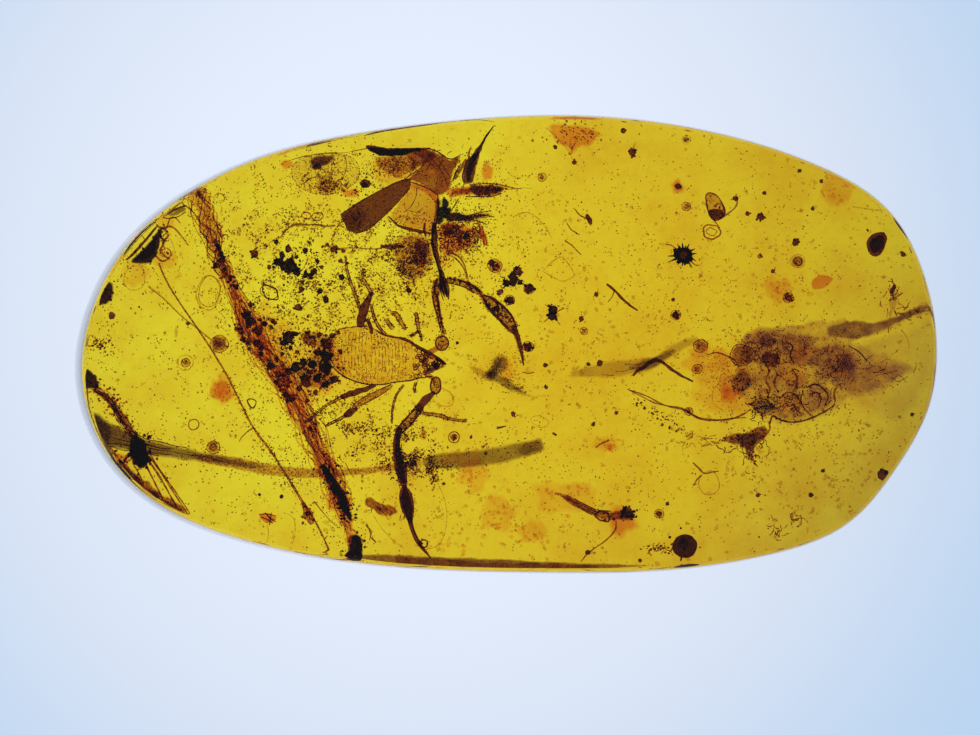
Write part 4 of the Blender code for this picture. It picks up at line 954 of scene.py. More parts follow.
def lower_arm(piece, cuticle, dusky, line, speck):
    """The darker pincer arm that reaches down to the rim, with dark lines of painted shade along the flanks
    of its pale segment.
    """
    piece.tube(path([(426, 374, 4.0), (431, 376.5, 5.0), (434, 379.5, 4.4)]), 10, 8, use=cuticle,
               wall=0.012, seed=30)
    piece.lump((*at(436, 385), 0.0), (0.115, 0.175, 0.1), 8, rough=0.08, seed=31, use=cuticle, wall=0.018)
    piece.loop((436, 385), (5.2, 8.2), 1.7, use=dusky, rough=0.12, seed=32)
    rings_of_dots(piece, (436, 385), (3.2, 5.8), 20, speck, 33)
    piece.tube(path([(433.6, 392.5, 4.6), (430.0, 395.5, 6.2), (424.5, 400.0, 8.6), (420.6, 405.0, 8.0),
                     (419.0, 409.0, 6.0)]), 16, 9, use=dusky, rough=0.25, seed=34)
    piece.tube(path([(420.5, 405.0, 6.4), (415.5, 412.0, 8.6), (409.5, 419.5, 9.6), (403.5, 426.0, 9.2),
                     (399.0, 430.5, 7.2)]), 26, 11, use=cuticle, wall=0.02, rough=0.12, seed=35)
    flank_dots(piece, [(420, 406), (411, 417.5), (403, 426), (398.5, 431.5)], 4.2, 130, speck, 36)
    mottle(piece, (409.5, 419, 15, 3.8), 28, dusky, 66, 128, 0.04, (1.4, 3.2))
    # painted shade: dark tubes along both flanks of this segment
    piece.tube(path([(418.0, 403.6, 1.4), (411.6, 411.6, 1.8), (404.6, 419.6, 1.8), (397.6, 427.6, 1.8)],
                    0.03), 16, 6, use=dusky, rough=0.5, seed=67)
    piece.tube(path([(423.6, 407.0, 1.4), (417.6, 415.6, 1.6), (410.6, 424.0, 1.8), (402.6, 432.0, 1.6)],
                    0.03), 16, 6, use=dusky, rough=0.5, seed=68)
    piece.tube(path([(399.5, 429.0, 6.6), (397.6, 436.0, 7.2), (396.8, 444.0, 7.6), (397.6, 453.0, 8.8),
                     (399.8, 463.0, 10.6), (402.0, 473.0, 10.2), (404.0, 481.5, 7.4), (405.0, 486.5, 4.6)],
                    0.0), 34, 11, use=dusky, rough=0.16, seed=37)
    piece.tube(path([(398.4, 434.0, 4.0), (397.6, 447.0, 4.8), (400.4, 465.0, 6.4), (404.0, 480.0, 4.4)],
                    0.02), 22, 8, use=dusky, rough=0.3, seed=38)
    piece.tube(path([(405.0, 485.5, 5.0), (405.0, 489.0, 10.4), (406.0, 495.0, 13.4), (407.2, 502.5, 13.6),
                     (408.6, 509.5, 11.4), (409.8, 515.5, 7.6), (410.4, 519.5, 5.0)]), 28, 14, 0.85,
               use=dusky, rough=0.05, seed=39)
    piece.tube(path([(405.2, 489.5, 5.2), (406.2, 498.0, 10.2), (408.2, 508.0, 9.0), (409.8, 516.0, 5.0)],
                    0.02), 18, 10, use=dusky, rough=0.2, seed=40)
    piece.tube(path([(410.0, 517.5, 5.0), (411.6, 524.0, 4.6), (414.2, 532.0, 4.2), (417.4, 539.0, 4.0),
                     (421.4, 545.0, 3.0), (426.4, 550.6, 2.2), (431.0, 555.4, 1.3)], 0.02), 28, 8,
               use=dusky, rough=0.12, seed=41)
    piece.tube(path([(412.4, 524.0, 1.8), (416.6, 533.5, 1.6), (420.5, 540.5, 1.5), (424.8, 546.8, 1.4),
                     (428.6, 551.6, 1.0)], -0.04), 20, 6, use=line, seed=42)
    piece.loop((423.8, 541.4), (4.0, 3.8), 1.5, 0.02, 0, dusky, 26, 6, 0.14, 43)
    mottle(piece, (423.0, 541.0, 4.6, 3.6), 9, dusky, 44, 30, 0.02, (1.6, 3.0))
    flank_dots(piece, [(400, 433), (397, 446), (401, 470), (405, 486)], 5.2, 130, speck, 45)
    flank_dots(piece, [(405, 489), (406.5, 500), (410, 516)], 6.8, 60, speck, 46)


def rings_of_dots(piece, centre, half, count, use, seed):
    """Dark dots strewn inside a round joint."""
    draw = random.Random(seed)
    for _ in range(count):
        angle = 2 * math.pi * draw.random()
        share = draw.uniform(0.3, 1.0)
        piece.grain(centre[0] + share * half[0] * math.cos(angle),
                    centre[1] + share * half[1] * math.sin(angle), draw, (0.010, 0.018), (0.0, 0.12), use)


def flank_dots(piece, points, reach, count, use, seed):
    """Dark dots along both flanks of a limb."""
    draw = random.Random(seed)
    fine = open_curve([(*p, 0, 0) for p in points], 60)
    for _ in range(count):
        k = draw.randrange(1, 59)
        dx, dy = fine[k + 1, :2] - fine[k - 1, :2]
        size = math.hypot(dx, dy) or 1.0
        off = draw.choice((-1, 1)) * draw.gauss(0.92, 0.22) * reach
        if draw.random() < 0.25:
            off = draw.uniform(-1, 1) * reach
        piece.grain(fine[k, 0] - dy / size * off, fine[k, 1] + dx / size * off, draw, (0.008, 0.017),
                    (-0.06, 0.10), use)


LEGS = [  # 0 hollow or 1 dark, then px, py, width and perhaps rise along the leg
    (1, [(372, 333, 3.6), (371, 327, 4.0), (367.5, 320, 3.4), (365, 322, 2.0)]),
    (1, [(361.0, 325.0, 7.0, 0.02), (362.6, 316.0, 9.4, 0.03), (365.6, 306.0, 9.0, 0.04),
         (369.6, 298.5, 6.4, 0.05), (371.6, 294.0, 3.6, 0.06)]),
    (0, [(372.0, 295.0, 4.4, 0.06), (369.0, 288.6, 3.2, 0.08), (364.6, 281.6, 2.6, 0.1),
         (363.2, 276.0, 2.4, 0.12), (364.4, 269.6, 1.6, 0.13)]),
    (0, [(360.2, 308.0, 2.6), (357.6, 301.0, 2.8), (354.2, 291.0, 3.0), (350.4, 281.0, 2.8),
         (347.6, 271.0, 2.2), (346.4, 262.0, 1.6), (346.0, 257.0, 1.3)]),
    (0, [(371.6, 305.0, 2.0), (373.0, 312.0, 2.6), (376.0, 321.0, 3.0), (380.6, 329.0, 3.0),
         (386.0, 334.5, 2.6)]),
    (0, [(386.6, 320.0, 3.2), (390.6, 325.4, 4.6), (393.0, 328.6, 4.0)]),
    (0, [(392.0, 313.4, 3.4), (396.0, 314.0, 4.6), (399.6, 319.4, 5.0), (402.6, 325.0, 3.6),
         (406.0, 329.5, 2.2)]),
    (0, [(416.4, 313.4, 3.6), (417.2, 319.6, 3.8), (418.6, 328.0, 3.6), (419.4, 333.0, 3.0)]),
    (0, [(419.0, 331.0, 2.0), (415.0, 334.0, 1.8), (410.6, 336.6, 1.4)]),
    (0, [(419.2, 331.0, 2.0), (421.2, 335.6, 1.8), (421.8, 341.0, 1.4)]),
    (1, [(375.0, 385.0, 3.6, 0.02), (368.0, 388.0, 5.2, 0.06), (360.0, 390.6, 6.0, 0.1),
         (351.0, 393.2, 6.6, 0.16), (343.0, 396.4, 5.4, 0.2)]),
    (0, [(343.6, 396.0, 3.0, 0.2), (336.0, 400.0, 2.6, 0.22), (328.0, 404.0, 2.4, 0.24),
         (318.0, 412.0, 2.0, 0.26), (305.6, 422.4, 1.6, 0.28)]),
    (0, [(392.0, 385.0, 3.0, 0.02), (386.0, 388.6, 5.0, 0.04), (379.0, 392.4, 6.6, 0.06),
         (370.0, 397.0, 7.4, 0.1), (362.0, 401.2, 6.6, 0.14), (354.6, 405.4, 4.6, 0.18)]),
    (1, [(357.0, 408.0, 3.0, 0.18), (350.4, 411.6, 7.4, 0.2), (346.4, 414.4, 6.0, 0.2)]),
    (0, [(347.0, 414.0, 2.4, 0.2), (340.0, 418.4, 2.6, 0.22), (333.0, 421.6, 2.6, 0.24),
         (326.0, 425.6, 1.8, 0.26)]),
    (0, [(404.0, 384.6, 2.0), (400.4, 389.0, 1.8), (396.0, 396.0, 1.8), (393.4, 405.0, 1.6),
         (392.4, 414.0, 1.4), (392.2, 422.4, 1.2)]),
    (0, [(416.0, 382.0, 2.4), (414.6, 388.0, 2.4), (415.8, 392.0, 1.6)]),
    (0, [(421.6, 410.0, 2.6, -0.1), (424.6, 412.8, 2.8, -0.14), (432.0, 413.4, 3.4, -0.18),
         (441.0, 415.0, 3.8, -0.2), (448.0, 417.4, 3.0, -0.2), (456.0, 419.0, 2.4, -0.2),
         (463.6, 419.8, 2.2, -0.2)]),
]


def legs(piece, cuticle, dusky, line, speck):
    """Eight legs in hollow and dark parts, with dark lines of painted shade along the flanks of the hollow
    parts, and the drop at the tip of one.
    """
    for k, (solid, points) in enumerate(LEGS):
        route = path(points, 0.03)
        if solid:
            piece.tube(route, 20, 9, use=dusky, rough=0.3, seed=60 + k)
        else:
            piece.tube(route, 24, 9, use=cuticle, wall=0.012, rough=0.12, seed=60 + k)
            widest = max(p[2] for p in points)
            # dark lines along both flanks: painted shade where light crosses the hollow leg's wall edge-on
            for side in (-0.42, 0.42):
                edge = flank_shade_line(points, side)
                piece.tube(path(edge, 0.03), 30, 5, use=dusky, rough=0.6, seed=90 + k)
            flank_dots(piece, [p[:2] for p in points], 0.5 * widest, 12 * len(points), speck, 120 + k)
    piece.blob(465.2, 419.6, 2.8, 2.8, use=line, rise=-0.2, rough=0.1, seed=88)
    piece.loop((465.2, 419.6), (1.6, 1.6), 0.8, rise=-0.2, use=line)


def flank_shade_line(points, share):
    """The points of a leg moved to one side by a share of its width, as a line of painted shade along its
    flank.
    """
    rows = np.array([p[:3] for p in points], float)
    moved = []
    for (px, py, width, *own), (sx, sy) in zip(points, sideways(rows)):
        moved.append((px + sx * share * width, py + sy * share * width, 0.9, *own))
    return moved


def body_specks(piece, speck):
    """Dark dots scattered on the back, closest at the rear and along the lower edge."""
    draw = random.Random(21)
    placed = 0
    while placed < 330:
        px = draw.uniform(330, 436)
        top, bottom = body_edge(px)
        share = draw.random()
        py = top + (bottom - top) * share
        rear = max(0.0, 1 - (px - 330) / 26)
        low = max(0.0, (share - 0.72) * 3.0)
        front = max(0.0, (px - 398) / 40)
        if draw.random() < 0.22 + 0.5 * rear + 0.4 * low + 0.5 * front:
            half = (bottom - top) / 2 / SCALE
            lift = FLATNESS * half * math.sqrt(max(1 - (2 * share - 1) ** 2, 0.0))
            piece.grain(px, py, draw, (0.007, 0.017), (lift, lift + 0.02), speck)
            placed += 1


# ---- fibres, rootlets and stems ----
def band(points, steps=40, ragged=0.0, seed=0):
    """The outline in pixels of a strip along a path of px, py, width."""
    fine = open_curve([p[:3] for p in points], steps)
    across = sideways(fine)
    half = fine[:, 2:3] / 2
    if ragged:
        half = half * np.array([[1 + ragged * wobble(x, y, 0, 0.09, seed)] for x, y in fine[:, :2]])
    left, right = fine[:, :2] + across * half, fine[:, :2] - across * half
    return [tuple(p) for p in left] + [tuple(p) for p in right[::-1]]


def bundle(piece, points, count, reach, width, use, seed, rise=0.0, steps=60, frayed=0.0, weave=0.34):
    """Fibres that run side by side along a path and weave a little."""
    draw = random.Random(seed)
    fine = open_curve([(*p[:2], reach if len(p) < 3 else p[2] / 2) for p in points], steps)
    across = sideways(fine)
    for k in range(count):
        lane = -1 + 2 * (k + 0.5) / count + draw.uniform(-0.12, 0.12)
        first = int(draw.uniform(0, 0.14 + frayed) * steps)
        last = int((1 - draw.uniform(0, 0.14 + frayed)) * steps)
        level = rise + draw.uniform(-0.1, 0.1)
        rows = []
        for i in range(first, last):
            sway = weave * wobble(i * 0.11, k * 2.1, 0, 1.0, seed)
            x, y = fine[i, :2] + across[i] * fine[i, 2] * (lane + sway)
            thick = width * (0.75 + 0.5 * wobble(i * 0.23, k, 1, 1.0, seed + 3))
            lift = 0.05 * wobble(i * 0.1, k, 2, 1.0, seed)
            rows.append((*inside(*at(x, y), SKIN), level + lift, thick / 2 / SCALE))
        if len(rows) > 3:
            piece.skin(np.array(rows), 6, 1.0, use, 0.25, seed + k)


# Each row of a path is px, py and the width in pixels.
STRAND = [(196, 188, 20), (202, 204, 24), (208, 222, 21), (215, 242, 17), (221, 260, 14), (229, 278, 13),
          (238, 299, 15), (248, 322, 24), (262, 346, 24), (279, 374, 26), (294, 400, 24), (308, 424, 24),
          (321, 452, 23), (332, 478, 22), (341, 504, 19), (349, 526, 18), (356, 546, 15)]
CLOTS = [  # px, py, width, height, turn, shade: 0 dusky, 1 murk
    (198, 193, 14, 12, 20, 1), (219, 249, 7, 12, 60, 0), (222, 258, 9, 11, 65, 0), (217, 267, 10, 9, 20, 0),
    (226, 272, 7, 9, 65, 1), (235, 286, 11, 9, 30, 0), (232, 280, 7, 11, 70, 1), (246, 314, 14, 14, 60, 1),
    (249, 322, 18, 14, 60, 0), (257, 330, 15, 14, 20, 1), (264, 322, 12, 9, 50, 1), (240, 330, 12, 12, 0, 1),
    (259, 347, 14, 15, 50, 1), (270, 364, 10, 14, 55, 1), (247, 341, 11, 10, 0, 1), (284, 392, 9, 12, 60, 1),
    (311, 429, 8, 11, 60, 1), (262, 354, 8, 8, 10, 0), (276, 322, 12, 8, 10, 1), (252, 305, 8, 9, 40, 1),
]
DARK_RUN = [(324, 464, 4), (327, 471, 7), (332, 479, 8.5), (338, 490, 10), (343, 500, 11), (347, 509, 8),
            (351, 518, 3)]


def strand(look):
    """The rope of brown fibres that crosses the amber left of the animal, with dark clots on it."""
    piece = Piece("fibrous_strand_detail", [look["russet"], look["line"], look["speck"], look["tan"],
                                            look["rust"], look["dusky"], look["grain"], look["fibre"],
                                            look["murk"]], "plant_brown")
    russet, line, speck, tan, rust, dusky, grain, fibre, murk = range(9)
    piece.plate(band([(x, y, w) for x, y, w in STRAND[4:]], 60, 0.9, 5), -0.04, 0.03, rust, 7.0, 3.0, 0.0,
                2.5, 5, False)
    bundle(piece, STRAND, 6, 8, 2.4, tan, 6, 0.0, 90, 0.1, 1.0)
    bundle(piece, STRAND[5:], 8, 8, 2.6, tan, 56, 0.0, 90, 0.1, 1.0)
    bundle(piece, STRAND, 5, 8, 1.6, fibre, 36, 0.05, 90, 0.25, 1.1)
    bundle(piece, STRAND[5:], 6, 8, 1.7, fibre, 66, 0.05, 90, 0.25, 1.1)
    bundle(piece, STRAND, 4, 8, 1.2, russet, 16, 0.05, 90, 0.5, 1.3)
    bundle(piece, STRAND, 5, 8, 0.8, line, 26, 0.03, 90, 0.5, 1.4)
    piece.plate(band([(x, y, 0.7 * w) for x, y, w in STRAND[:7]], 50, 0.9, 8), -0.06, 0.03, tan, 5.0,
                2.6, 0.0, 2.5, 8, False)
    bundle(piece, STRAND[:6], 4, 8, 1.8, russet, 76, 0.0, 60, -0.12, 1.0)
    bundle(piece, STRAND[:6], 5, 8, 2.0, fibre, 86, 0.05, 60, -0.12, 1.1)
    bundle(piece, STRAND[:6], 2, 8, 0.9, dusky, 96, 0.05, 60, -0.1, 1.3)
    bundle(piece, STRAND[4:], 3, 8, 0.8, dusky, 7, 0.08, 80, 0.75, 1.1)
    draw = random.Random(46)
    for k in range(44):
        px, py = 204 + draw.gauss(0, 6.5), 190 + draw.uniform(0, 62)
        px += 0.22 * (py - 190)
        turn, size = draw.uniform(0, 2 * math.pi), draw.uniform(2.6, 6.0)
        bend = draw.uniform(-2.6, 2.6)
        points = []
        for t in (0.0, 0.8, 1.6, 2.4, 3.2):
            angle = turn + t * bend * 0.5
            points.append((px + size * math.cos(angle), py + size * math.sin(angle), draw.uniform(0.7, 1.5)))
        piece.tube(path(points, draw.uniform(-0.06, 0.06)), 12, 5, use=(tan, fibre, line)[k % 3],
                   rough=0.4, seed=40 + k)
    for k, (px, py, wide, tall, turn, shade) in enumerate(CLOTS):
        clot(piece, px, py, wide, tall, turn, murk if shade else dusky, dusky, 80 + 7 * k)
    piece.tube(path(DARK_RUN, 0.02), 40, 9, 0.7, use=dusky, rough=0.6, seed=230)
    piece.tube(path([(x + 0.5, y, 0.6 * w) for x, y, w in DARK_RUN], 0.05), 30, 8, 0.7, use=grain,
               rough=0.7, seed=231)
    strew(piece, DARK_RUN, 170, 4.6, grain, 232, (0.012, 0.042), (-0.04, 0.1))
    end_clump(piece, murk, dusky, grain)
    strew(piece, STRAND, 900, 9.0, speck, 12, (0.006, 0.016))
    strew(piece, STRAND[6:10], 500, 14.0, speck, 13, (0.006, 0.016))
    strew(piece, STRAND[11:], 300, 7.0, speck, 14, (0.006, 0.018))
    return piece.done("fibrous_strand")


def end_clump(piece, murk, dusky, grain):
    """The ragged dark clump at the strand's lower end."""
    piece.plate([(350, 534), (357, 532), (363, 537), (364, 547), (362, 556), (352, 558), (341, 557.4),
                 (346, 550), (348, 542)], 0.04, 0.07, murk, 2.0, 2.2, 0.0, 2.4, 290)
    piece.plate([(351.6, 535), (357.4, 533.6), (362, 539), (362.4, 548), (360.4, 555), (350, 556.6),
                 (343, 556), (350, 549.6), (350.6, 542)], 0.08, 0.05, dusky, 1.4, 2.0, 0.0, 2.4, 291)
    for k, (px, py, wide, tall, turn) in enumerate([(356, 538, 11, 12, 0), (359, 546, 10, 15, 10),
                                                    (352, 551, 17, 9, 170), (360, 553, 8, 10, 0)]):
        piece.blob(px, py, wide, tall, turn, 0.05, use=dusky, rough=0.6, seed=294 + k, busy=2.8)
    piece.crumbs(40, (356, 546, 4.4, 6.6), 292, (1.6, 4.6), 0.06, dusky)
    piece.crumbs(16, (349, 555, 6.4, 1.6), 293, (1.4, 3.6), 0.06, grain)


def clot(piece, px, py, wide, tall, turn, body, edge, seed):
    """A dark clot: a few rough lumps stuck together, with crumbs round them."""
    draw = random.Random(seed)
    lean = math.radians(turn)
    for k in range(4):
        along = draw.uniform(-0.3, 0.3) * max(wide, tall)
        across = draw.uniform(-0.22, 0.22) * min(wide, tall)
        x = px + along * math.cos(lean) - across * math.sin(lean)
        y = py + along * math.sin(lean) + across * math.cos(lean)
        size = draw.uniform(0.4, 0.65)
        piece.blob(x, y, max(wide, tall) * size, min(wide, tall) * size * 1.15, turn + draw.gauss(0, 20),
                   draw.uniform(-0.05, 0.05), use=body, rough=0.55, seed=seed + k, busy=2.6)
    piece.crumbs(9, (px, py, wide * 0.36, tall * 0.36), seed + 5, (1.5, 4.2), 0.02, edge)


def strew(piece, points, count, reach, use, seed, size=(0.007, 0.017), rise=(-0.15, 0.15)):
    """Specks scattered along a path, thinning out to both sides."""
    draw = random.Random(seed)
    steps = 120
    fine = open_curve([(*p[:2], 0) for p in points], steps)
    across = sideways(fine)
    for _ in range(count):
        i = draw.randrange(steps)
        away = across[i] * draw.gauss(0, reach)
        x, y = fine[i, :2] + away + np.array([draw.gauss(0, 2), draw.gauss(0, 2)])
        piece.grain(x, y, draw, size, rise, use)


ROOTLET = [(159.5, 264, 1.6), (167, 281, 2.2), (179, 301, 2.0), (195, 324, 2.2), (213, 351, 2.4),
           (228, 376, 2.6), (241, 402, 2.4), (254, 427, 3.0), (272, 451, 3.2), (290.6, 480, 3.4),
           (303, 500, 4.2), (311, 512, 2.8), (319, 526, 2.4), (329, 547, 2.6)]


def rootlets(look):
    """Two hair roots that run down the left side, the long one with fine branches."""
    piece = Piece("rootlet_detail", [look["russet"], look["line"], look["dusky"], look["speck"]],
                  "plant_brown")
    russet, line, dusky, speck = range(4)
    piece.tube(path([(x, y, w * 0.68) for x, y, w in ROOTLET], 0.0), 90, 6, use=russet, rough=0.5, seed=1)
    piece.tube(path([(x + 0.6, y - 0.4, 0.7) for x, y, _ in ROOTLET], 0.03), 80, 5, use=line, seed=2)
    piece.tube(path([(329, 547, 2.2), (325, 550, 2.2), (318, 551, 1.6), (311, 551.5, 1.0)]), 12, 6,
               use=russet, rough=0.3, seed=3)
    piece.tube(path([(315, 500, 1.4), (322, 509, 1.2), (329, 517, 1.0), (335.5, 523, 0.8)]), 14, 5,
               use=line, seed=4)
    piece.tube(path([(254, 427, 1.8), (248, 431, 1.4), (242, 437, 1.2), (240, 441, 0.8)]), 10, 5, use=line)
    piece.tube(path([(303, 500, 3.0), (306, 507, 7.0), (309, 514, 10.0), (312, 520, 6.0)]), 12, 8, 0.5,
               use=russet, rough=0.5, seed=5)
    piece.crumbs(9, (308.5, 514, 3.5, 4), 6, (2, 5), 0.0, dusky)
    piece.crumbs(10, (270, 449, 4, 5), 8, (1.5, 3.6), 0.0, dusky)
    piece.crumbs(7, (292, 482, 3, 4), 9, (1.5, 3.4), 0.0, dusky)
    strew(piece, ROOTLET[5:], 220, 3.0, speck, 10)
    long_one = piece.done("rootlet")

    piece = Piece("short_rootlet_detail", [look["faint"], look["line"]], "plant_brown")
    route = [(150, 287, 1.8), (164, 298, 1.8), (182.5, 316, 1.6), (198, 328, 1.4), (211.5, 339, 1.0)]
    piece.tube(path(route), 40, 6, use=0, rough=0.4, seed=11)
    piece.tube(path([(x, y + 0.9, 0.8) for x, y, _ in route], 0.02), 40, 5, use=1, seed=12)
    return [long_one, piece.done("short_rootlet")]


DARK_STEM = [(79, 413, 18), (86, 424, 26), (100, 434, 29), (121, 438, 25), (146, 446, 17), (174, 451, 16),
             (203, 456, 13), (235, 461, 12), (264, 467, 11), (295, 470, 9), (325, 471, 8)]
STEM_FAR = [(420, 460.5, 10), (436, 459.5, 18), (460, 458, 20), (480, 456, 20), (500, 453, 20),
            (520, 448.5, 19), (538, 444.5, 17), (546, 443, 9)]


def stems(look):
    """The dark stems that lie deeper than the rest and show soft edges."""
    piece = Piece("dark_stem_detail", [look["deep"], look["olive"], look["dusky"], look["speck"],
                                       look["russet"], look["haze"], look["line"], look["murk"],
                                       look["pale_olive"], look["bark"], look["ink"]], "plant_brown")
    deep, olive, dusky, speck, russet, haze, line, murk, pale_olive, bark, ink = range(11)
    wedge = [(80, 416, 32), (90, 425, 32), (102, 432, 30), (121, 437.5, 25), (146, 445.5, 19),
             (174, 450.5, 16), (203, 455.5, 13), (240, 462, 10), (270, 466, 5)]
    piece.plate(band(wedge, 80), -0.88, 0.05, deep, 4.5, 2.6, 0.0, 1.0, 1, False)
    piece.plate(band([(x, y, w * 0.8) for x, y, w in wedge[:6]], 60), -0.82, 0.05, pale_olive, 6.0, 2.6,
                0.0, 1.5, 3, False)
    piece.plate(band([(190, 454, 5), (214, 458, 11), (240, 462, 13), (270, 467.5, 12), (300, 470.5, 11),
                      (330, 471, 9), (362, 469, 8), (392, 465, 8), (422, 460.5, 9)], 60), -0.93, 0.04, haze,
                4.0, 2.6, 0.0, 0.8, 5, False)
    piece.plate(band(STEM_FAR, 50), -0.9, 0.05, olive, 5.0, 2.6, 0.0, 0.6, 4, False)
    piece.plate(band([(516, 449, 8), (526, 447.5, 15), (536, 445, 15), (544, 443, 9)], 24, 0.4, 7), -0.86,
                0.04, pale_olive, 5.0, 2.2, 0.0, 1.8, 7, False)
    piece.crumbs(10, (486, 446.5, 2.4, 4.0), 34, (2.0, 5.4), -0.62, murk, 1)
    piece.crumbs(14, (533, 446, 6, 4), 35, (1.4, 3.4), -0.82, pale_olive, 1)
    strew(piece, [(x, y) for x, y, _ in STEM_FAR], 190, 8.0, speck, 36)
    piece.plate([(81, 402), (90, 406), (102, 413), (112, 422), (116, 434), (112, 446), (104, 452),
                 (95, 444), (88, 432), (83, 418)], -0.76, 0.05, deep, 5.0, 2.4, 0.0, 1.6, 6, False)
    bundle(piece, DARK_STEM[:8], 5, 8, 1.1, dusky, 21, -0.8, 70, 0.3)
    fuzz = [(94, 387, 5), (104, 394, 8), (113, 402, 7), (120, 413, 7), (128, 425, 8), (135, 434, 7),
            (140, 441, 4)]
    piece.plate(band([(x, y, 1.3 * w) for x, y, w in fuzz], 50, 0.8, 19), -0.54, 0.04, bark, 2.6, 2.2, 0.0,
                2.6, 19, False)
    bundle(piece, fuzz, 8, 4, 1.3, russet, 22, -0.5, 40, 0.2, 1.2)
    bundle(piece, fuzz, 5, 4, 1.0, line, 23, -0.48, 40, 0.2, 1.2)
    strew(piece, fuzz, 170, 4.4, russet, 24, (0.012, 0.032), (-0.56, -0.44))
    piece.plate([(131, 441), (138, 436), (147, 440), (150, 450), (149, 462), (143, 467), (134, 464),
                 (130, 452)], -0.74, 0.06, ink, 2.4, 2.2, 0.0, 3.0, 20)
    piece.crumbs(24, (139, 452, 6.5, 8), 24, (1.6, 5.4), -0.7, dusky)
    for k, (px, py, wide, tall, turn) in enumerate([(130, 455, 12, 7, 150), (148, 461, 8, 12, 150),
                                                    (124, 461, 9, 5, 160), (151, 438, 7, 6, 60)]):
        clot(piece, px, py, wide, tall, turn, dusky, murk, 260 + 7 * k)
    piece.crumbs(16, (138, 455, 7, 9), 25, (2.0, 6.0), -0.66, murk)
    for k, route in enumerate([
            [(150, 451, 2.2), (158, 465, 2.4), (168, 480, 2.2), (178, 496, 1.8), (189, 512, 1.2)],
            [(134, 462, 1.6), (142, 476, 1.3), (148, 492, 1.1)],
            [(112, 446, 1.6), (122, 459, 2.0), (134, 472, 1.8), (142, 479, 1.2)]]):
        piece.tube(path(route, -0.55), 26, 6, use=line if k % 2 else russet, rough=0.5, seed=26 + k)
    strew(piece, [(p[0], p[1]) for p in DARK_STEM], 200, 7.0, speck, 30)
    stem = piece.done("dark_stem")

    piece = Piece("pale_stem_detail", [look["olive"], look["plum"], look["dark_plum"], look["line"],
                                       look["pale_plum"], look["russet"], look["pale_olive"]],
                  "plant_brown")
    olive, plum, dark_plum, line, pale_plum, murk_line, pale_olive = range(7)
    piece.plate(band([(568, 374, 9), (590, 371.5, 15), (606, 369.5, 19), (621, 368, 21), (636, 366, 19),
                      (653, 362, 15), (664, 356, 14), (675, 348.6, 13), (688, 342, 12), (700, 339, 8)],
                     60, 0.2, 4), -0.9, 0.05, pale_olive, 5.0, 2.8, 0.0, 1.0, 31, False)
    piece.plate(band([(626, 368, 6), (640, 366, 12), (653, 362, 12), (664, 356, 10), (676, 348.6, 6)], 24),
                -0.86, 0.05, olive, 4.0, 2.8, 0.0, 1.0, 32, False)
    right = [(742, 340, 13), (760, 336, 20), (785, 333, 22), (810, 332, 22), (836, 331, 21),
             (855, 331, 19), (872, 329.6, 17), (885, 325, 14), (898, 319, 12), (911, 313.6, 12),
             (922, 308.4, 12), (931, 304.6, 11)]
    piece.plate(band(right, 60, 0.4, 5), -0.92, 0.05, plum, 5.0, 2.8, 0.0, 1.6, 33, False)
    piece.plate(band([(824, 330, 8), (842, 330.6, 16), (862, 329.6, 17), (878, 327, 13), (892, 321, 9),
                      (910, 313.6, 9), (921, 309, 9), (931, 304.4, 7)], 60, 0.5, 6), -0.88, 0.05,
                dark_plum, 4.6, 2.6, 0.0, 1.6, 34, False)
    piece.plate(band([(887, 318, 6), (891, 308, 8), (892, 298, 7), (896, 284, 4)], 24, 0.6, 8), -0.85,
                0.05, plum, 3.0, 2.4, 0.0, 1.2, 37, False)
    scribble(piece, 22, (891, 301, 4, 9), (4, 10), 1.1, murk_line, 38, -0.8, 80, 0.7)
    scribble(piece, 14, (904, 314, 8, 5), (5, 12), 1.1, murk_line, 39, -0.8, 20, 0.7)
    piece.plate([(815, 340), (860, 337), (905, 326), (934, 316), (938, 340), (934, 368), (922, 398),
                 (900, 424), (876, 420), (850, 404), (828, 382)], -0.95, 0.04, pale_plum, 16.0, 4.0,
                0.0, 2.0, 40)
    bundle(piece, [(570, 374, 7), (606, 369.5, 17), (636, 366, 17), (664, 356, 9)], 4, 6, 0.9, line, 36,
           -0.86, 50, 0.5)
    pale = piece.done("pale_stem")

    piece = Piece("rim_stem_detail", [look["rim"], look["haze"], look["speck"]], "plant_brown")
    rim, haze, speck = range(3)
    low = [(358, 555, 8), (375, 556.6, 12), (395, 558.6, 15), (420, 560.6, 17), (450, 562.4, 18),
           (480, 563.6, 18), (510, 564.6, 17), (540, 565.0, 15), (570, 565.2, 13), (600, 565.2, 11),
           (628, 565.0, 8), (650, 564.6, 5), (668, 564.4, 3)]
    piece.plate(band(low, 90, 0.1, 6), -0.36, 0.07, rim, 2.4, 2.4, 0.0, 0.7, 41, False)
    piece.plate(band([(x, y, w * 0.7) for x, y, w in low[2:10]], 60, 0.4, 7), -0.26, 0.05, haze, 4.0, 2.4,
                0.0, 1.0, 42, False)
    strew(piece, [(p[0], p[1]) for p in low], 130, 5.0, speck, 43, rise=(-0.42, -0.3))
    return [stem, pale, piece.done("rim_stem")]


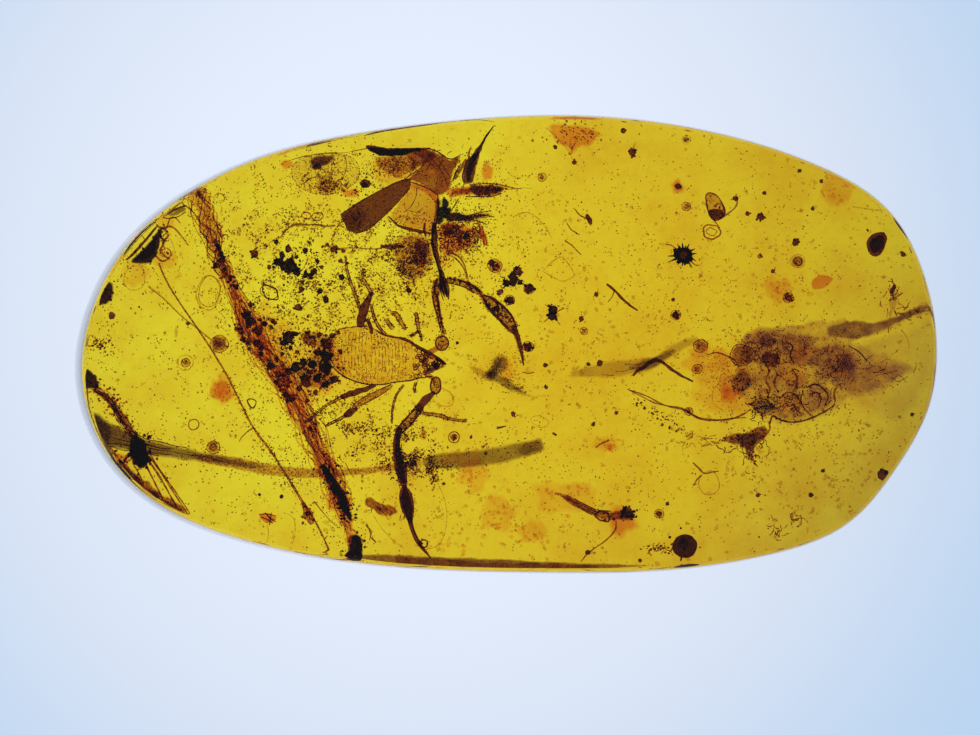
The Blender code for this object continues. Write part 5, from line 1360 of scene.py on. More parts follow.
# ---- the cluster of scraps at the top ----
# Each outline runs once round its flake, in pixels.
FLAP = [(341, 216), (352, 209), (364, 201), (377, 194), (390, 187), (402, 182.4), (411, 181.6),
        (411.5, 187), (405, 195.5), (397, 205), (388, 214.6), (378, 223.5), (367, 231.5), (356, 235),
        (347.5, 231.5)]
BARK = [(404, 152), (418, 150.6), (430, 150.4), (440, 155), (450, 161.4), (456, 158), (462, 155.8),
        (460.5, 163), (456, 171), (452.5, 179), (452, 188), (446, 196), (438, 199), (431, 194),
        (421, 187), (411, 183.4), (406, 182), (413, 175), (422, 168.5), (421, 161), (410, 156)]
SHEET = [(409, 187), (420, 186.5), (431, 191), (438.5, 198), (438, 210), (436.5, 224), (432, 235.5),
         (420, 232), (408, 230.5), (397, 226), (389.5, 218.5), (396, 207), (404, 196)]
LEAF_BLADE = [(446, 190), (456, 187.6), (466, 187.2), (477, 185.6), (489, 185.2), (499, 186.6),
              (507, 188), (515, 190.4), (508, 192.6), (500, 196), (488, 198.6), (474, 198),
              (462, 199), (452, 200.6), (446, 197)]
PETAL_SLIM = [(461, 165), (464, 161), (467.6, 157.6), (468.4, 163.6), (463, 172.5), (456.6, 182.6),
              (452.8, 183.4), (454.4, 175)]
PETAL_WIDE = [(466, 163), (469, 157.8), (475.4, 155.6), (480.4, 152), (479.6, 162), (476.4, 172.6),
              (474, 184), (469.4, 187.4), (464, 186), (461.8, 179), (463, 170)]


def fringe(piece, outline, width, use, seed):
    """A dark line of uneven width that follows the rim of a flake."""
    corners = np.array(outline, float)
    count = max(int(np.linalg.norm(np.roll(corners, -1, 0) - corners, axis=1).sum() / 2.6), 16)
    rows = []
    for px, py in closed_curve(corners, count):
        shift = 0.5 * wobble(px, py, 0, 0.12, seed)
        wide = width * (0.85 + 0.7 * wobble(px, py, 4, 0.16, seed + 5))
        rows.append((*at(px + shift, py + shift), 0.0, max(wide, 0.3 * width) / 2 / SCALE))
    piece.skin_closed(np.array(rows), 6, use)


def scribble(piece, count, spread, reach, width, use, seed, rise=0.0, lean=None, curl=0.7, box=None):
    """Short curved strokes round a place: spread is px, py and two deviations; reach their length."""
    draw = random.Random(seed)
    for k in range(count):
        px, py = draw.gauss(spread[0], spread[2]), draw.gauss(spread[1], spread[3])
        angle = draw.uniform(0, math.pi) if lean is None else math.radians(-lean) + draw.gauss(0, 0.35)
        long = draw.uniform(*reach)
        points = []
        for _ in range(5):
            points.append((px, py, width * draw.uniform(0.6, 1.3)))
            angle += draw.uniform(-curl, curl)
            px += long / 4 * math.cos(angle)
            py += long / 4 * math.sin(angle)
        if box and not all(box[0] < p[0] < box[2] and box[1] < p[1] < box[3] for p in points):
            continue
        if min(HULL.depth(*at(p[0], p[1])) for p in points) < STROKE_COVER:
            continue
        piece.tube(path(points, rise + draw.uniform(-0.05, 0.05)), 9, 5, use=use, rough=0.3,
                   seed=seed + k)


def cluster(look):
    """Bark, leaf scraps, moss and the stalk, matted together above the animal."""
    return [bark(look), leaves(look), dark_scraps(look), moss(look), stalk(look)]


def bark(look):
    """A torn sheet of bark, dark red along its top, thin and orange where it hangs down."""
    piece = Piece("bark_detail", [look["sheet"], look["amber_sheet"], look["dusky"], look["line"],
                                  look["speck"], look["umber"], look["haze"], look["rust"]],
                  "plant_brown")
    skin, sheet, dusky, line, speck, umber, haze, rust = range(8)
    piece.plate(BARK, 0.0, 0.06, skin, 2.0, 2.4, 0.03, 0.6, 1, False)
    piece.plate([(427, 151.6), (436, 153.4), (445, 158.4), (452, 162), (461, 157), (459.6, 164),
                 (455, 171), (451.4, 180), (452, 188), (446, 196), (438, 198.6), (431, 193.6),
                 (436, 184), (434, 176), (428, 168), (426, 159)], 0.04, 0.05, sheet, 2.6, 2.4, 0.02, 1.4,
                3, False)
    piece.plate([(398, 152), (414, 149.6), (430, 150.6), (438, 156), (434, 164), (424, 168), (414, 174),
                 (406, 178), (412, 166), (404, 158)], 0.03, 0.05, skin, 3.0, 2.4, 0.02, 1.4, 37, False)
    piece.plate(SHEET, -0.02, 0.05, sheet, 2.6, 2.8, 0.03, 0.6, 2)
    piece.plate([(409, 184), (420, 184), (431, 188), (440, 196), (440, 208), (434, 205), (428, 198),
                 (418, 192), (408, 190)], 0.03, 0.05, rust, 4.0, 2.6, 0.02, 1.4, 5)
    piece.plate([(436, 199), (441, 203), (440, 214), (438, 226), (434, 236), (431, 232), (433.5, 218),
                 (434, 207)], 0.06, 0.04, umber, 2.4, 2.4, 0.02, 1.2, 6)
    piece.tube(path([(389, 218, 1.4), (397, 226, 2.4), (406, 229.6, 3.0), (416, 232, 3.4),
                     (425, 233.6, 3.2), (432, 235, 2.4)], 0.05), 40, 6, use=dusky, rough=0.5, seed=7)
    piece.tube(path([(438, 198, 1.4), (438.6, 208, 1.8), (437.4, 220, 2.0), (434.6, 234, 2.2)], 0.08),
               30, 6, use=dusky, rough=0.5, seed=8)
    for k, route in enumerate([
            [(428, 150.4, 1.2), (438, 154, 1.5), (446, 159.6, 1.5), (453, 161, 1.2), (461, 156.6, 1.0)],
            [(404, 182, 1.0), (412, 176, 1.3), (421, 170, 1.2), (426, 163, 1.0)],
            [(408, 183, 1.0), (419, 186.6, 1.3), (430, 191.6, 1.2), (438, 197, 1.3)],
            [(433, 156, 0.9), (440, 164, 1.2), (446, 172, 1.1), (451, 181, 0.9)],
            [(417, 190, 0.8), (416, 199, 1.0), (411, 208, 0.9), (404, 214, 0.7)],
            [(426, 152, 0.9), (431, 160, 1.1), (438, 168, 1.0), (444, 178, 0.9), (448, 188, 0.8)]]):
        piece.tube(path(route, 0.07), 30, 5, use=line if k % 2 else dusky, rough=0.6, seed=9 + k)
    scribble(piece, 24, (438, 168, 10, 9), (4, 9), 0.8, dusky, 30, 0.06, 40, 0.6, (405, 151, 461, 198))
    scribble(piece, 12, (412, 214, 9, 8), (4, 9), 0.7, line, 31, 0.05, None, 0.6, (394, 192, 436, 232))
    piece.plate([(375, 158), (390, 158.6), (405, 157), (415, 160), (418, 168), (410, 176), (398, 181),
                 (386, 175), (376, 166)], -0.06, 0.04, haze, 5.0, 2.6, 0.02, 1.6, 34)
    piece.specks(520, (396, 168, 15, 6), 32, (0.006, 0.014), (-0.1, 0.12), speck)
    piece.specks(160, (440, 180, 14, 12), 35, (0.006, 0.014), (-0.1, 0.12), speck)
    scribble(piece, 34, (396, 168, 14, 6), (3, 8), 0.7, line, 36, 0.04, 0, 0.8, (370, 158, 422, 182))
    piece.crumbs(30, (396, 167, 13, 6), 33, (1.2, 2.8), 0.04, dusky)
    return piece.done("bark_sheet")


def leaves(look):
    """The brown flap at the left, the two petals of the wedge and the long leaf blade."""
    piece = Piece("leaf_detail", [look["umber"], look["bark"], look["dusky"], look["line"],
                                  look["speck"], look["leaf"], look["rust"], look["pale_olive"]],
                  "plant_brown")
    umber, red, dusky, line, speck, leaf, rust, pale_olive = range(8)
    piece.plate(FLAP, 0.14, 0.06, leaf, 1.6, 2.4, 0.03, 0.6, 41, False)
    piece.plate([(341.5, 217), (350, 211), (361, 209), (370, 216), (366, 226), (356, 234.4),
                 (347.5, 231)], 0.18, 0.05, pale_olive, 4.0, 2.4, 0.03, 1.6, 43)
    piece.tube(path([(341, 216, 1.2), (360, 203.6, 1.4), (380, 192.4, 1.2), (400, 183, 1.4),
                     (411, 181, 1.8)], 0.2), 40, 5, use=dusky, rough=0.5, seed=42)
    piece.tube(path([(356, 235, 1.2), (369, 230.4, 1.4), (384, 217.8, 1.2), (398, 204, 1.2),
                     (410, 190, 1.4)], 0.2), 40, 5, use=dusky, rough=0.5, seed=44)
    piece.specks(260, (356, 222, 8, 6), 45, (0.007, 0.016), (0.1, 0.2), speck)
    piece.specks(60, (380, 206, 14, 9), 46, (0.006, 0.012), (0.1, 0.2), speck)

    piece.plate(LEAF_BLADE, -0.1, 0.05, rust, 3.0, 2.2, 0.02, 1.4, 46)
    piece.plate([(470, 187), (480, 186), (492, 185.8), (501, 187.4), (507, 189.6), (499, 195.4),
                 (486, 198), (474, 197)], -0.06, 0.04, umber, 3.0, 2.2, 0.02, 2.0, 48)
    piece.plate([(452, 190), (463, 188), (476, 188), (482, 192), (474, 196.6), (460, 198), (450, 197)],
                -0.04, 0.04, red, 4.0, 2.2, 0.02, 1.6, 52)
    piece.tube(path([(466, 198.6, 1.2), (480, 198.4, 1.6), (492, 198, 1.8), (501, 195.6, 1.4)], -0.05),
               24, 5, use=dusky, rough=0.6, seed=47)
    piece.tube(path([(470, 187, 1.2), (482, 185.4, 1.6), (496, 186, 1.4), (508, 188.6, 1.6),
                     (516, 190.6, 1.2), (524, 189.8, 0.7), (532, 190.4, 0.5)], -0.05), 34, 5,
               use=line, rough=0.6, seed=49)
    piece.crumbs(70, (489, 191.6, 9, 3.2), 50, (1.4, 3.8), -0.06, dusky)
    piece.specks(160, (480, 192, 17, 4.4), 51, (0.006, 0.016), (-0.15, 0.0), speck)

    piece.plate(PETAL_WIDE, 0.1, 0.06, umber, 1.4, 2.0, 0.02, 0.8, 53, False)
    piece.plate(PETAL_SLIM, 0.14, 0.05, red, 1.4, 2.0, 0.02, 0.6, 54, False)
    piece.plate([(466.6, 165), (471, 158.4), (477.6, 156), (476, 165), (473, 176), (470, 184),
                 (465.6, 183), (464, 175)], 0.16, 0.05, umber, 2.4, 2.0, 0.02, 1.4, 55)
    piece.tube(path([(460.6, 166, 1.2), (455.6, 175, 1.6), (453, 183, 1.4)], 0.18), 14, 5, use=dusky,
               rough=0.4, seed=56)
    piece.tube(path([(469.6, 158, 1.2), (465.4, 167, 1.6), (462.6, 178, 1.6), (464.4, 185.6, 1.2)], 0.18),
               18, 5, use=dusky, rough=0.4, seed=57)
    piece.tube(path([(474.6, 158.4, 6.0), (478.6, 152.6, 5.4), (482, 146.6, 3.2), (485.4, 140, 2.4),
                     (489.6, 134, 1.9), (494, 128.2, 0.9)], 0.14), 28, 7, use=umber, rough=0.4, seed=58)
    piece.tube(path([(476.4, 156.4, 1.4), (481, 148, 1.5), (486.4, 139, 1.3), (493, 129, 0.9)], 0.18), 20,
               5, use=dusky, rough=0.4, seed=59)
    piece.tube(path([(468.6, 158, 2.6), (469.8, 153, 1.8), (471.4, 148.4, 0.8)], 0.14), 8, 5, use=line,
               rough=0.5, seed=61)
    piece.crumbs(12, (472, 158, 5, 3), 60, (1.4, 3.4), 0.14, dusky)
    return piece.done("leaf_flap", "leaf_blade", "leaf_wedge")


def dark_scraps(look):
    """The black bar, the black chip and the dark blade at its side."""
    piece = Piece("dark_scraps_detail", [look["ink"], look["dusky"], look["speck"], look["bark"],
                                         look["coal"]], "plant_brown")
    ink, dusky, speck, red, coal = range(5)
    piece.tube(path([(367.4, 149, 3.0), (370, 150.0, 5.0), (376, 152.0, 7.4), (386, 154.0, 8.2),
                     (396, 154.2, 7.6), (405, 153.0, 5.4), (415, 151.6, 3.2), (430, 150.6, 1.8)], 0.04), 40,
               9, 0.6, use=dusky, rough=0.3, seed=61)
    piece.plate([(367, 148.6), (371, 147.4), (382, 149.4), (394, 150.0), (406, 150.0), (420, 149.8),
                 (432, 150.6), (420, 154), (409, 157), (398, 159), (386, 159), (374, 156), (368, 152)],
                0.08, 0.05, ink, 1.4, 2.0, 0.0, 1.6, 60)
    piece.crumbs(24, (386, 155, 10, 2.2), 62, (1.6, 4.4), 0.04, dusky)
    for k, (px, py, wide, tall) in enumerate([
            (444.5, 206, 10, 15), (443.5, 214, 15, 16), (440.5, 222, 9, 11), (448.5, 212.5, 9, 9)]):
        ring = [(px + 0.5 * wide * math.cos(a), py + 0.5 * tall * math.sin(a))
                for a in np.linspace(0, NEARLY_ROUND, 10)[:-1]]
        piece.plate(ring, 0.02 + 0.02 * k, 0.06, coal, 3.0, 2.2, 0.0, 2.0, 63 + k)
    piece.plate([(447, 212.6), (458, 213.4), (468, 215.6), (478, 215), (488, 215.6), (478, 219.4),
                 (468, 222.4), (457, 224), (446, 223)], 0.04, 0.05, ink, 2.6, 2.2, 0.0, 1.8, 67)
    piece.plate([(462, 215), (474, 213.6), (486, 213), (494, 215.4), (489, 219), (479, 222.6),
                 (467, 225), (460, 221)], 0.0, 0.05, red, 4.0, 2.2, 0.0, 2.0, 68)
    for k, route in enumerate([
            [(470, 217, 1.8), (480, 214, 1.6), (491, 212.4, 1.2)],
            [(474, 218, 1.6), (484, 217, 1.6), (494, 218.6, 1.0)],
            [(468, 221, 1.4), (478, 222.6, 1.4), (487, 226, 1.0)],
            [(452, 211, 0.9), (455.6, 206, 1.1), (458.6, 200.6, 0.9)]]):
        piece.tube(path(route, 0.06), 14, 5, use=dusky, rough=0.6, seed=70 + k)
    piece.crumbs(26, (478, 217, 8, 3), 69, (1.4, 3.8), 0.04, dusky)
    piece.specks(150, (466, 218, 14, 6), 74, (0.006, 0.016), (-0.1, 0.12), speck)
    return piece.done("dark_bar", "dark_chip", "dark_blade")


def moss(look):
    """A speckled reddish net of threads and crumbs."""
    piece = Piece("moss_detail", [look["rust"], look["dusky"], look["line"], look["speck"],
                                  look["bark"], look["russet"], look["haze"]], "plant_brown")
    rust, dusky, line, speck, red, russet, haze = range(7)
    piece.plate([(439, 225), (452, 222), (466, 225), (476, 227), (480, 236), (475, 246), (465, 251),
                 (455, 256), (446, 258), (440, 250), (438, 236)], 0.0, 0.05, rust, 6.0, 2.6, 0.02, 2.0, 71)
    piece.plate([(439, 226), (449, 223), (459, 225), (464, 231), (458, 236), (447, 237), (440, 234)],
                0.06, 0.05, red, 5.0, 2.6, 0.02, 2.0, 72)
    scribble(piece, 70, (458, 238, 11, 8), (3, 9), 0.9, dusky, 73, 0.04, None, 1.3, (438, 222, 482, 258))
    scribble(piece, 80, (461, 238, 11, 8), (3, 8), 0.9, russet, 74, 0.06, None, 1.3, (436, 222, 484, 259))
    draw = random.Random(79)
    for k in range(26):
        px, py, half = draw.uniform(441, 477), draw.uniform(226, 250), draw.uniform(1.6, 3.4)
        piece.loop((px, py), (half, half * 0.8), 1.0, 0.05, 20 * k, line if k % 2 else dusky, 12, 4, 0.6,
                   75 + k)
    for k, (px, top, low) in enumerate([(480.4, 226, 240), (483.6, 228, 246), (486.4, 236, 246)]):
        piece.tube(path([(px - 1, top, 1.6), (px, (top + low) / 2, 2.8), (px + 0.6, low, 1.8)], 0.03), 12, 6,
                   use=russet, rough=0.5, seed=110 + k)
    piece.plate([(477, 225), (482, 225), (487, 234), (488, 247), (484, 248), (480, 240)], 0.0, 0.04, rust,
                3.0, 2.4, 0.0, 1.0, 113)
    piece.crumbs(60, (456, 237, 11, 7), 80, (1.2, 3.2), 0.03, dusky)
    piece.crumbs(50, (456, 238, 11, 7), 122, (1.4, 3.6), 0.03, russet)
    piece.specks(420, (460, 240, 14, 10), 81, (0.006, 0.016), (-0.15, 0.15), speck)
    piece.plate([(396, 240), (410, 234), (424, 238), (432, 248), (433, 262), (425, 276), (412, 282),
                 (400, 272), (392, 256)], -0.1, 0.04, haze, 9.0, 2.8, 0.0, 2.4, 114)
    piece.plate([(412, 243), (421, 240), (430, 245), (431.6, 257), (427, 267), (417, 269), (411, 260)],
                -0.06, 0.04, red, 6.0, 2.6, 0.0, 2.6, 115)
    scribble(piece, 60, (418, 256, 9, 9), (3, 8), 0.9, russet, 116, 0.0, None, 1.2, (384, 234, 436, 300))
    scribble(piece, 34, (404, 272, 9, 8), (3, 8), 0.8, line, 117, 0.0, None, 1.2, (380, 240, 432, 300))
    piece.crumbs(46, (421, 255, 5, 8), 118, (1.2, 3.2), 0.0, dusky)
    piece.crumbs(40, (420, 258, 7, 9), 121, (1.6, 3.8), 0.0, russet)
    piece.crumbs(28, (406, 272, 6, 6), 119, (1.2, 3.0), 0.0, dusky)
    piece.specks(900, (412, 262, 17, 15), 120, (0.006, 0.015), (-0.15, 0.15), speck)
    return piece.done("moss_clump")


def stalk(look):
    """The stalk that hangs from the cluster and ends over the upper arm's elbow."""
    piece = Piece("stalk_detail", [look["umber"], look["dusky"], look["line"], look["ink"]],
                  "plant_brown")
    umber, dusky, line, ink = range(4)
    piece.tube(path([(434.5, 226, 5.0, 0.0), (434.4, 238, 6.6, 0.0), (434.6, 249, 5.6, -0.05),
                     (436.6, 259, 4.6, -0.1), (439.4, 268, 4.2, -0.16), (442.4, 278, 5.6, -0.22),
                     (445.6, 288, 5.6, -0.26), (447.6, 297.5, 2.2, -0.26)]), 50, 8, 0.8, use=umber,
               rough=0.35, seed=82)
    piece.tube(path([(433.0, 230, 1.8, 0.05), (432.6, 243, 2.2, 0.04), (435, 256, 1.8, -0.04),
                     (439.0, 270, 1.7, -0.1), (444.0, 284, 2.4, -0.18), (447.2, 296, 1.4, -0.2)]), 44, 6,
               use=ink, rough=0.4, seed=83)
    piece.tube(path([(436.6, 229, 1.4, 0.05), (437.2, 242, 1.4, 0.04), (437.8, 252, 1.2, -0.04),
                     (441.0, 265, 1.1, -0.1)]), 30, 5, use=line, rough=0.4, seed=84)
    piece.tube(path([(447.6, 256, 1.0, -0.05), (455, 259, 1.5, -0.05), (461.6, 266, 1.6, -0.06),
                     (465.4, 273, 1.3, -0.06), (466.6, 280, 1.0, -0.06)]), 24, 5, use=line, rough=0.5,
               seed=87)
    for k, route in enumerate([
            [(437, 283, 1.4), (435, 291, 1.8), (437.6, 299, 1.4)],
            [(441, 281, 1.2), (440.6, 291, 1.4), (443.6, 301, 1.0)],
            [(445.4, 280, 1.2), (449, 289, 1.6), (448.6, 300, 1.2)]]):
        piece.tube(path(route, -0.2), 14, 5, use=dusky, rough=0.5, seed=88 + k)
    piece.tube(path([(441, 272, 2.6, -0.1), (440.4, 280, 3.0, -0.14), (441.6, 288, 2.4, -0.16),
                     (444.0, 294, 1.4, -0.18)]), 18, 6, use=dusky, rough=0.4, seed=85)
    piece.tube(path([(426, 237, 2.0, 0.0), (424.4, 231, 2.6, 0.0), (425, 225, 2.0, 0.0)]), 8, 6,
               use=dusky, rough=0.4, seed=86)
    return piece.done("stalk")


# ---- the sac ----
SAC = [(292.6, 176), (294, 168), (299, 162.6), (307, 159), (317, 157), (330, 155.6), (342, 156.4),
       (352, 159.6), (358.6, 167), (359.6, 177), (354, 186), (345, 192), (334, 195.4), (320, 196),
       (307, 192.6), (297, 185.6)]


def dotted(piece, points, width, use, seed, rise=0.0, closed=False, gap=2.3):
    """A row of small beads that follow a line and skip here and there."""
    draw = random.Random(seed)
    steps = int(sum(math.dist(a[:2], b[:2]) for a, b in zip(points, points[1:])) / gap)
    line = closed_curve(points, steps) if closed else open_curve([(*p[:2], 0) for p in points], steps)
    for k, row in enumerate(line):
        if draw.random() < 0.16:
            continue
        wide = width * draw.uniform(0.5, 1.3)
        piece.blob(row[0] + draw.gauss(0, 0.35), row[1] + draw.gauss(0, 0.35), wide * 1.5, wide,
                   draw.uniform(0, 180), rise, use=use, rough=0.5, seed=seed + k, detail=1, busy=2.6)


def sac(look):
    """A thin folded skin with brown patches, left of the cluster."""
    piece = Piece("membrane_sac_detail", [look["film"], look["line"], look["haze"], look["dusky"],
                                          look["speck"], look["umber"], look["faint"], look["rust"]],
                  "pale_tissue")
    film, line, haze, dusky, speck, umber, faint, rust = range(8)
    piece.plate(SAC, 0.0, 0.1, film, 2.0, 3.2, 0.03, 0.5, 91)
    fringe(piece, SAC, 0.7, faint, 92)
    dotted(piece, SAC, 1.9, line, 93, 0.0, True)
    inner = [(326 + 0.9 * (x - 326), 176 + 0.9 * (y - 176)) for x, y in SAC]
    dotted(piece, inner, 1.3, line, 112, 0.02, True)
    scribble(piece, 46, (318, 176, 13, 9), (4, 9), 0.9, line, 113, 0.03, None, 1.3, (295, 158, 358, 195))
    right = [(356, 158), (366, 157), (376, 160), (381, 168), (378, 178), (370, 188), (359, 193), (350, 196)]
    dotted(piece, right, 1.3, line, 94, 0.0)
    piece.plate([(310, 160), (320, 157), (333, 156), (338, 160), (331, 167), (322, 171), (314, 172),
                 (308, 166)], 0.04, 0.04, umber, 4.0, 2.6, 0.0, 2.2, 95)
    piece.blob(317.6, 169, 12, 7.6, -8, 0.03, use=dusky, rough=0.5, seed=96, busy=2.4)
    piece.plate([(314, 186), (324, 180), (335, 182), (340, 189), (331, 194), (320, 193)], 0.03, 0.03,
                haze, 4.0, 2.6, 0.0, 2.0, 98)
    piece.plate([(340, 191), (352, 190), (362, 193), (357, 199), (346, 199)], 0.03, 0.03, rust, 3.0, 2.6,
                0.0, 2.0, 97)
    piece.blob(366, 185.6, 15, 12, 0, 0.02, use=umber, rough=0.6, seed=99, busy=2.4)
    piece.blob(364.6, 187, 9, 8, 0, 0.05, use=dusky, rough=0.6, seed=100, busy=2.4)
    piece.crumbs(34, (328, 187, 10, 4), 101, (1.4, 3.6), 0.02, dusky)
    piece.crumbs(24, (352, 194, 8, 3), 102, (1.4, 3.6), 0.02, dusky)
    piece.crumbs(16, (370, 178, 5, 6), 109, (1.4, 3.4), 0.02, dusky)
    scribble(piece, 44, (324, 174, 12, 9), (4, 10), 0.8, faint, 110, 0.03, None, 1.0, (295, 158, 358, 195))
    scribble(piece, 18, (331, 188, 14, 5), (4, 9), 0.9, line, 111, 0.03, None, 1.0, (300, 178, 362, 198))
    for k, route in enumerate([
            [(284, 164.6, 0.6), (300, 159.6, 0.9), (316, 156.4, 1.2), (332, 155, 0.9)],
            [(330, 155, 0.9), (345, 155, 0.8), (358, 152.4, 1.0), (369, 150.4, 1.1)],
            [(304, 186, 0.9), (312, 180, 1.0), (322, 178, 0.9), (333, 180, 0.8)],
            [(345, 158, 0.9), (347, 167, 1.0), (344, 178, 0.9), (338, 186, 0.8)]]):
        piece.tube(path(route, 0.05), 26, 5, use=line, rough=0.6, seed=103 + k)
    piece.specks(240, (331, 176, 20, 11), 108, (0.006, 0.015), (-0.1, 0.1), speck)
    return piece.done("membrane_sac")


# ---- flakes at the left end ----
def left_end(look):
    """Flakes, a rim of bark and crumbs that lie close to the rounded left end."""
    piece = Piece("left_flakes_detail", [look["umber"], look["ink"], look["dusky"], look["murk"],
                                         look["speck"], look["grain"], look["russet"], look["line"],
                                         look["deep"]], "plant_brown")
    umber, ink, dusky, murk, speck, grain, russet, line, deep = range(9)
    big = [(130, 262.6), (137, 256), (146, 246.6), (154, 237), (158.6, 229.6), (161.6, 227),
           (165, 231.6), (162, 243), (160, 255), (153, 265), (140, 266)]
    piece.tube(path([(128, 260.6, 1.6), (135, 254.4, 3.0), (144, 244.6, 3.2), (152, 235, 3.0),
                     (159, 226.6, 1.6)], 0.02), 22, 5, use=dusky, rough=0.5, seed=68)
    piece.plate(big, 0.0, 0.07, ink, 1.5, 2.4, 0.02, 1.0, 1, False)
    piece.plate([(134, 260), (145, 250), (154, 239), (160, 234), (158, 246), (153, 257), (144, 262)],
                0.05, 0.05, umber, 2.0, 2.4, 0.02, 1.6, 2)
    piece.crumbs(20, (146, 251, 8, 6), 3, (2.0, 5.0), 0.03, dusky)
    for k, route in enumerate([
            [(160, 228, 2.4), (166, 231, 2.6), (169, 237, 2.0), (164, 243, 1.8), (166, 250, 1.4)],
            [(162, 230, 2.0), (170, 227.6, 2.6), (176, 230, 2.0), (183, 238, 1.3), (189, 246, 1.0)],
            [(161, 236, 2.6), (165, 243, 2.4), (162, 251, 2.2), (166, 257, 1.8), (171, 260, 1.2)],
            [(157, 257, 2.0), (163, 262, 1.8), (170, 259, 1.6), (172, 253, 1.4), (168, 249, 1.2)],
            [(168, 229, 1.4), (171, 220, 1.4), (176, 219, 1.2), (181, 224, 1.0)]]):
        piece.tube(path(route, 0.02), 22, 6, use=russet if k % 2 == 0 else line, rough=0.5, seed=60 + k)
    piece.crumbs(16, (166, 238, 3.4, 8), 66, (1.6, 4.0), 0.02, dusky)
    piece.plate([(163, 219), (170, 214.6), (178, 209.6), (184.6, 206.8), (188, 209), (186, 214),
                 (178, 217.6), (170, 219)], 0.0, 0.05, deep, 2.0, 2.0, 0.0, 1.0, 4, False)
    piece.tube(path([(163, 219.4, 1.0), (171, 219.6, 1.3), (179, 218, 1.2), (186.6, 213.6, 1.0)], 0.03),
               16, 5, use=dusky, rough=0.4, seed=69)
    piece.tube(path([(163, 219.4, 1.2), (172, 214, 1.8), (180, 209.4, 1.6), (186.6, 207.4, 1.4)], 0.04),
               16, 5, use=dusky, rough=0.4, seed=67)
    piece.plate([(99, 306), (101.6, 299), (105, 291), (110, 281.6), (114.6, 283), (116, 292),
                 (114, 300), (108, 306)], 0.0, 0.06, ink, 2.6, 2.2, 0.02, 1.2, 5, False)
    piece.crumbs(14, (107, 295, 3.4, 5.5), 6, (2.0, 5.0), 0.03, dusky)
    piece.blob(113, 316, 8, 9, 0, 0.0, use=umber, rough=0.45, seed=7, busy=2.2)
    piece.blob(146, 229.4, 8, 6, 0, 0.0, use=murk, rough=0.35, seed=8, busy=2.2)
    piece.tube(path([(146, 231, 1.4), (143.6, 236, 1.2), (146, 241, 1.0)]), 8, 5, use=line)
    piece.crumbs(44, (100, 345, 5.5, 3.2), 9, (1.6, 4.0), 0.02, russet)
    piece.crumbs(10, (99, 346, 5, 3), 19, (1.6, 3.4), 0.03, dusky)
    for k, route in enumerate([
            [(86, 349, 1.6), (83, 356, 2.2), (84.6, 363, 2.0), (88, 369, 2.2)],
            [(82, 352, 1.4), (85, 358, 1.8), (82.6, 366, 1.8), (86, 372, 1.6)]]):
        piece.tube(path(route, 0.02), 16, 6, use=russet if k % 2 else dusky, rough=0.5, seed=70 + k)
    piece.plate([(80, 366), (87, 367), (94, 371), (99.6, 377.6), (101.6, 386), (97, 390), (89, 389.6),
                 (80, 388)], -0.05, 0.06, ink, 1.2, 2.2, 0.02, 1.2, 10, False)
    piece.crumbs(14, (86, 379, 4, 4), 11, (2.0, 5.0), -0.03, grain)
    piece.specks(190, (136, 262, 22, 22), 12, (0.008, 0.02), (-0.15, 0.15), speck)
    piece.specks(150, (102, 342, 10, 24), 13, (0.008, 0.02), (-0.2, 0.15), speck)
    piece.crumbs(16, (120, 300, 24, 40), 14, (1.4, 3.2), 0.0, dusky)
    flakes = piece.done("end_flake_1", "end_flake_2", "end_flake_3", "end_flake_4")

    piece = Piece("edge_bark_detail", [look["bark"], look["dusky"], look["murk"], look["grain"],
                                       look["rust"], look["ink"], look["umber"]], "plant_brown")
    red, dusky, murk, grain, rust, ink, umber = range(7)
    rim = [(92, 431, 9), (101, 444, 12), (112, 457, 14), (123, 469, 14), (134, 480.5, 13), (146, 490, 12),
           (159, 498, 10), (172, 505.5, 8), (186, 512.5, 4)]
    piece.plate(band(rim, 60, 0.6, 15), -0.1, 0.07, umber, 3.0, 2.2, 0.02, 1.4, 15, False)
    piece.plate(band([(x + 2, y - 3, w) for x, y, w in rim[3:]], 40, 0.8, 16), -0.02, 0.05, red, 3.6,
                2.2, 0.02, 1.4, 16, False)
    piece.plate(band([(x - 1, y + 1, w * 0.5) for x, y, w in rim[:6]], 50, 0.8, 17), 0.0, 0.05, ink, 1.6,
                2.2, 0.02, 1.0, 17, False)
    bundle(piece, rim, 3, 4, 1.1, dusky, 17, 0.02, 60, 0.3)
    piece.crumbs(30, (116, 468, 11, 11), 18, (1.8, 5.0), -0.05, dusky)
    piece.crumbs(18, (156, 500, 12, 5), 19, (1.6, 4.0), -0.05, dusky)
    piece.plate([(104, 452), (116, 450), (127, 455), (131, 464), (124, 471), (112, 464)], -0.1, 0.05,
                rust, 4.0, 2.4, 0.02, 2.0, 24)
    piece.plate([(131, 442), (138, 439), (146, 443), (149, 452), (148, 463), (142, 468), (134, 464),
                 (130, 454)], -0.15, 0.07, murk, 2.6, 2.4, 0.03, 3.0, 20)
    piece.crumbs(54, (139.5, 453, 5.4, 8.0), 21, (1.8, 5.4), -0.08, grain)
    clot(piece, 139, 449, 10, 13, 80, grain, dusky, 22)
    clot(piece, 142, 461, 9, 10, 60, grain, dusky, 23)
    for k, route in enumerate([
            [(148, 458, 2.6), (157, 470, 2.4), (165, 483, 2.0), (174, 499, 1.8), (182, 512, 1.4)],
            [(146, 462, 1.8), (153, 476, 1.8), (160, 490, 1.6), (166, 502, 1.2)],
            [(150, 456, 1.4), (160, 468, 1.6), (172, 484, 1.4), (181, 497, 1.2), (191, 512, 1.0)]]):
        piece.tube(path(route, -0.05), 30, 6, use=red, rough=0.6, seed=90 + k)
    piece.crumbs(22, (119, 401, 5, 6), 97, (1.4, 3.4), -0.03, red)
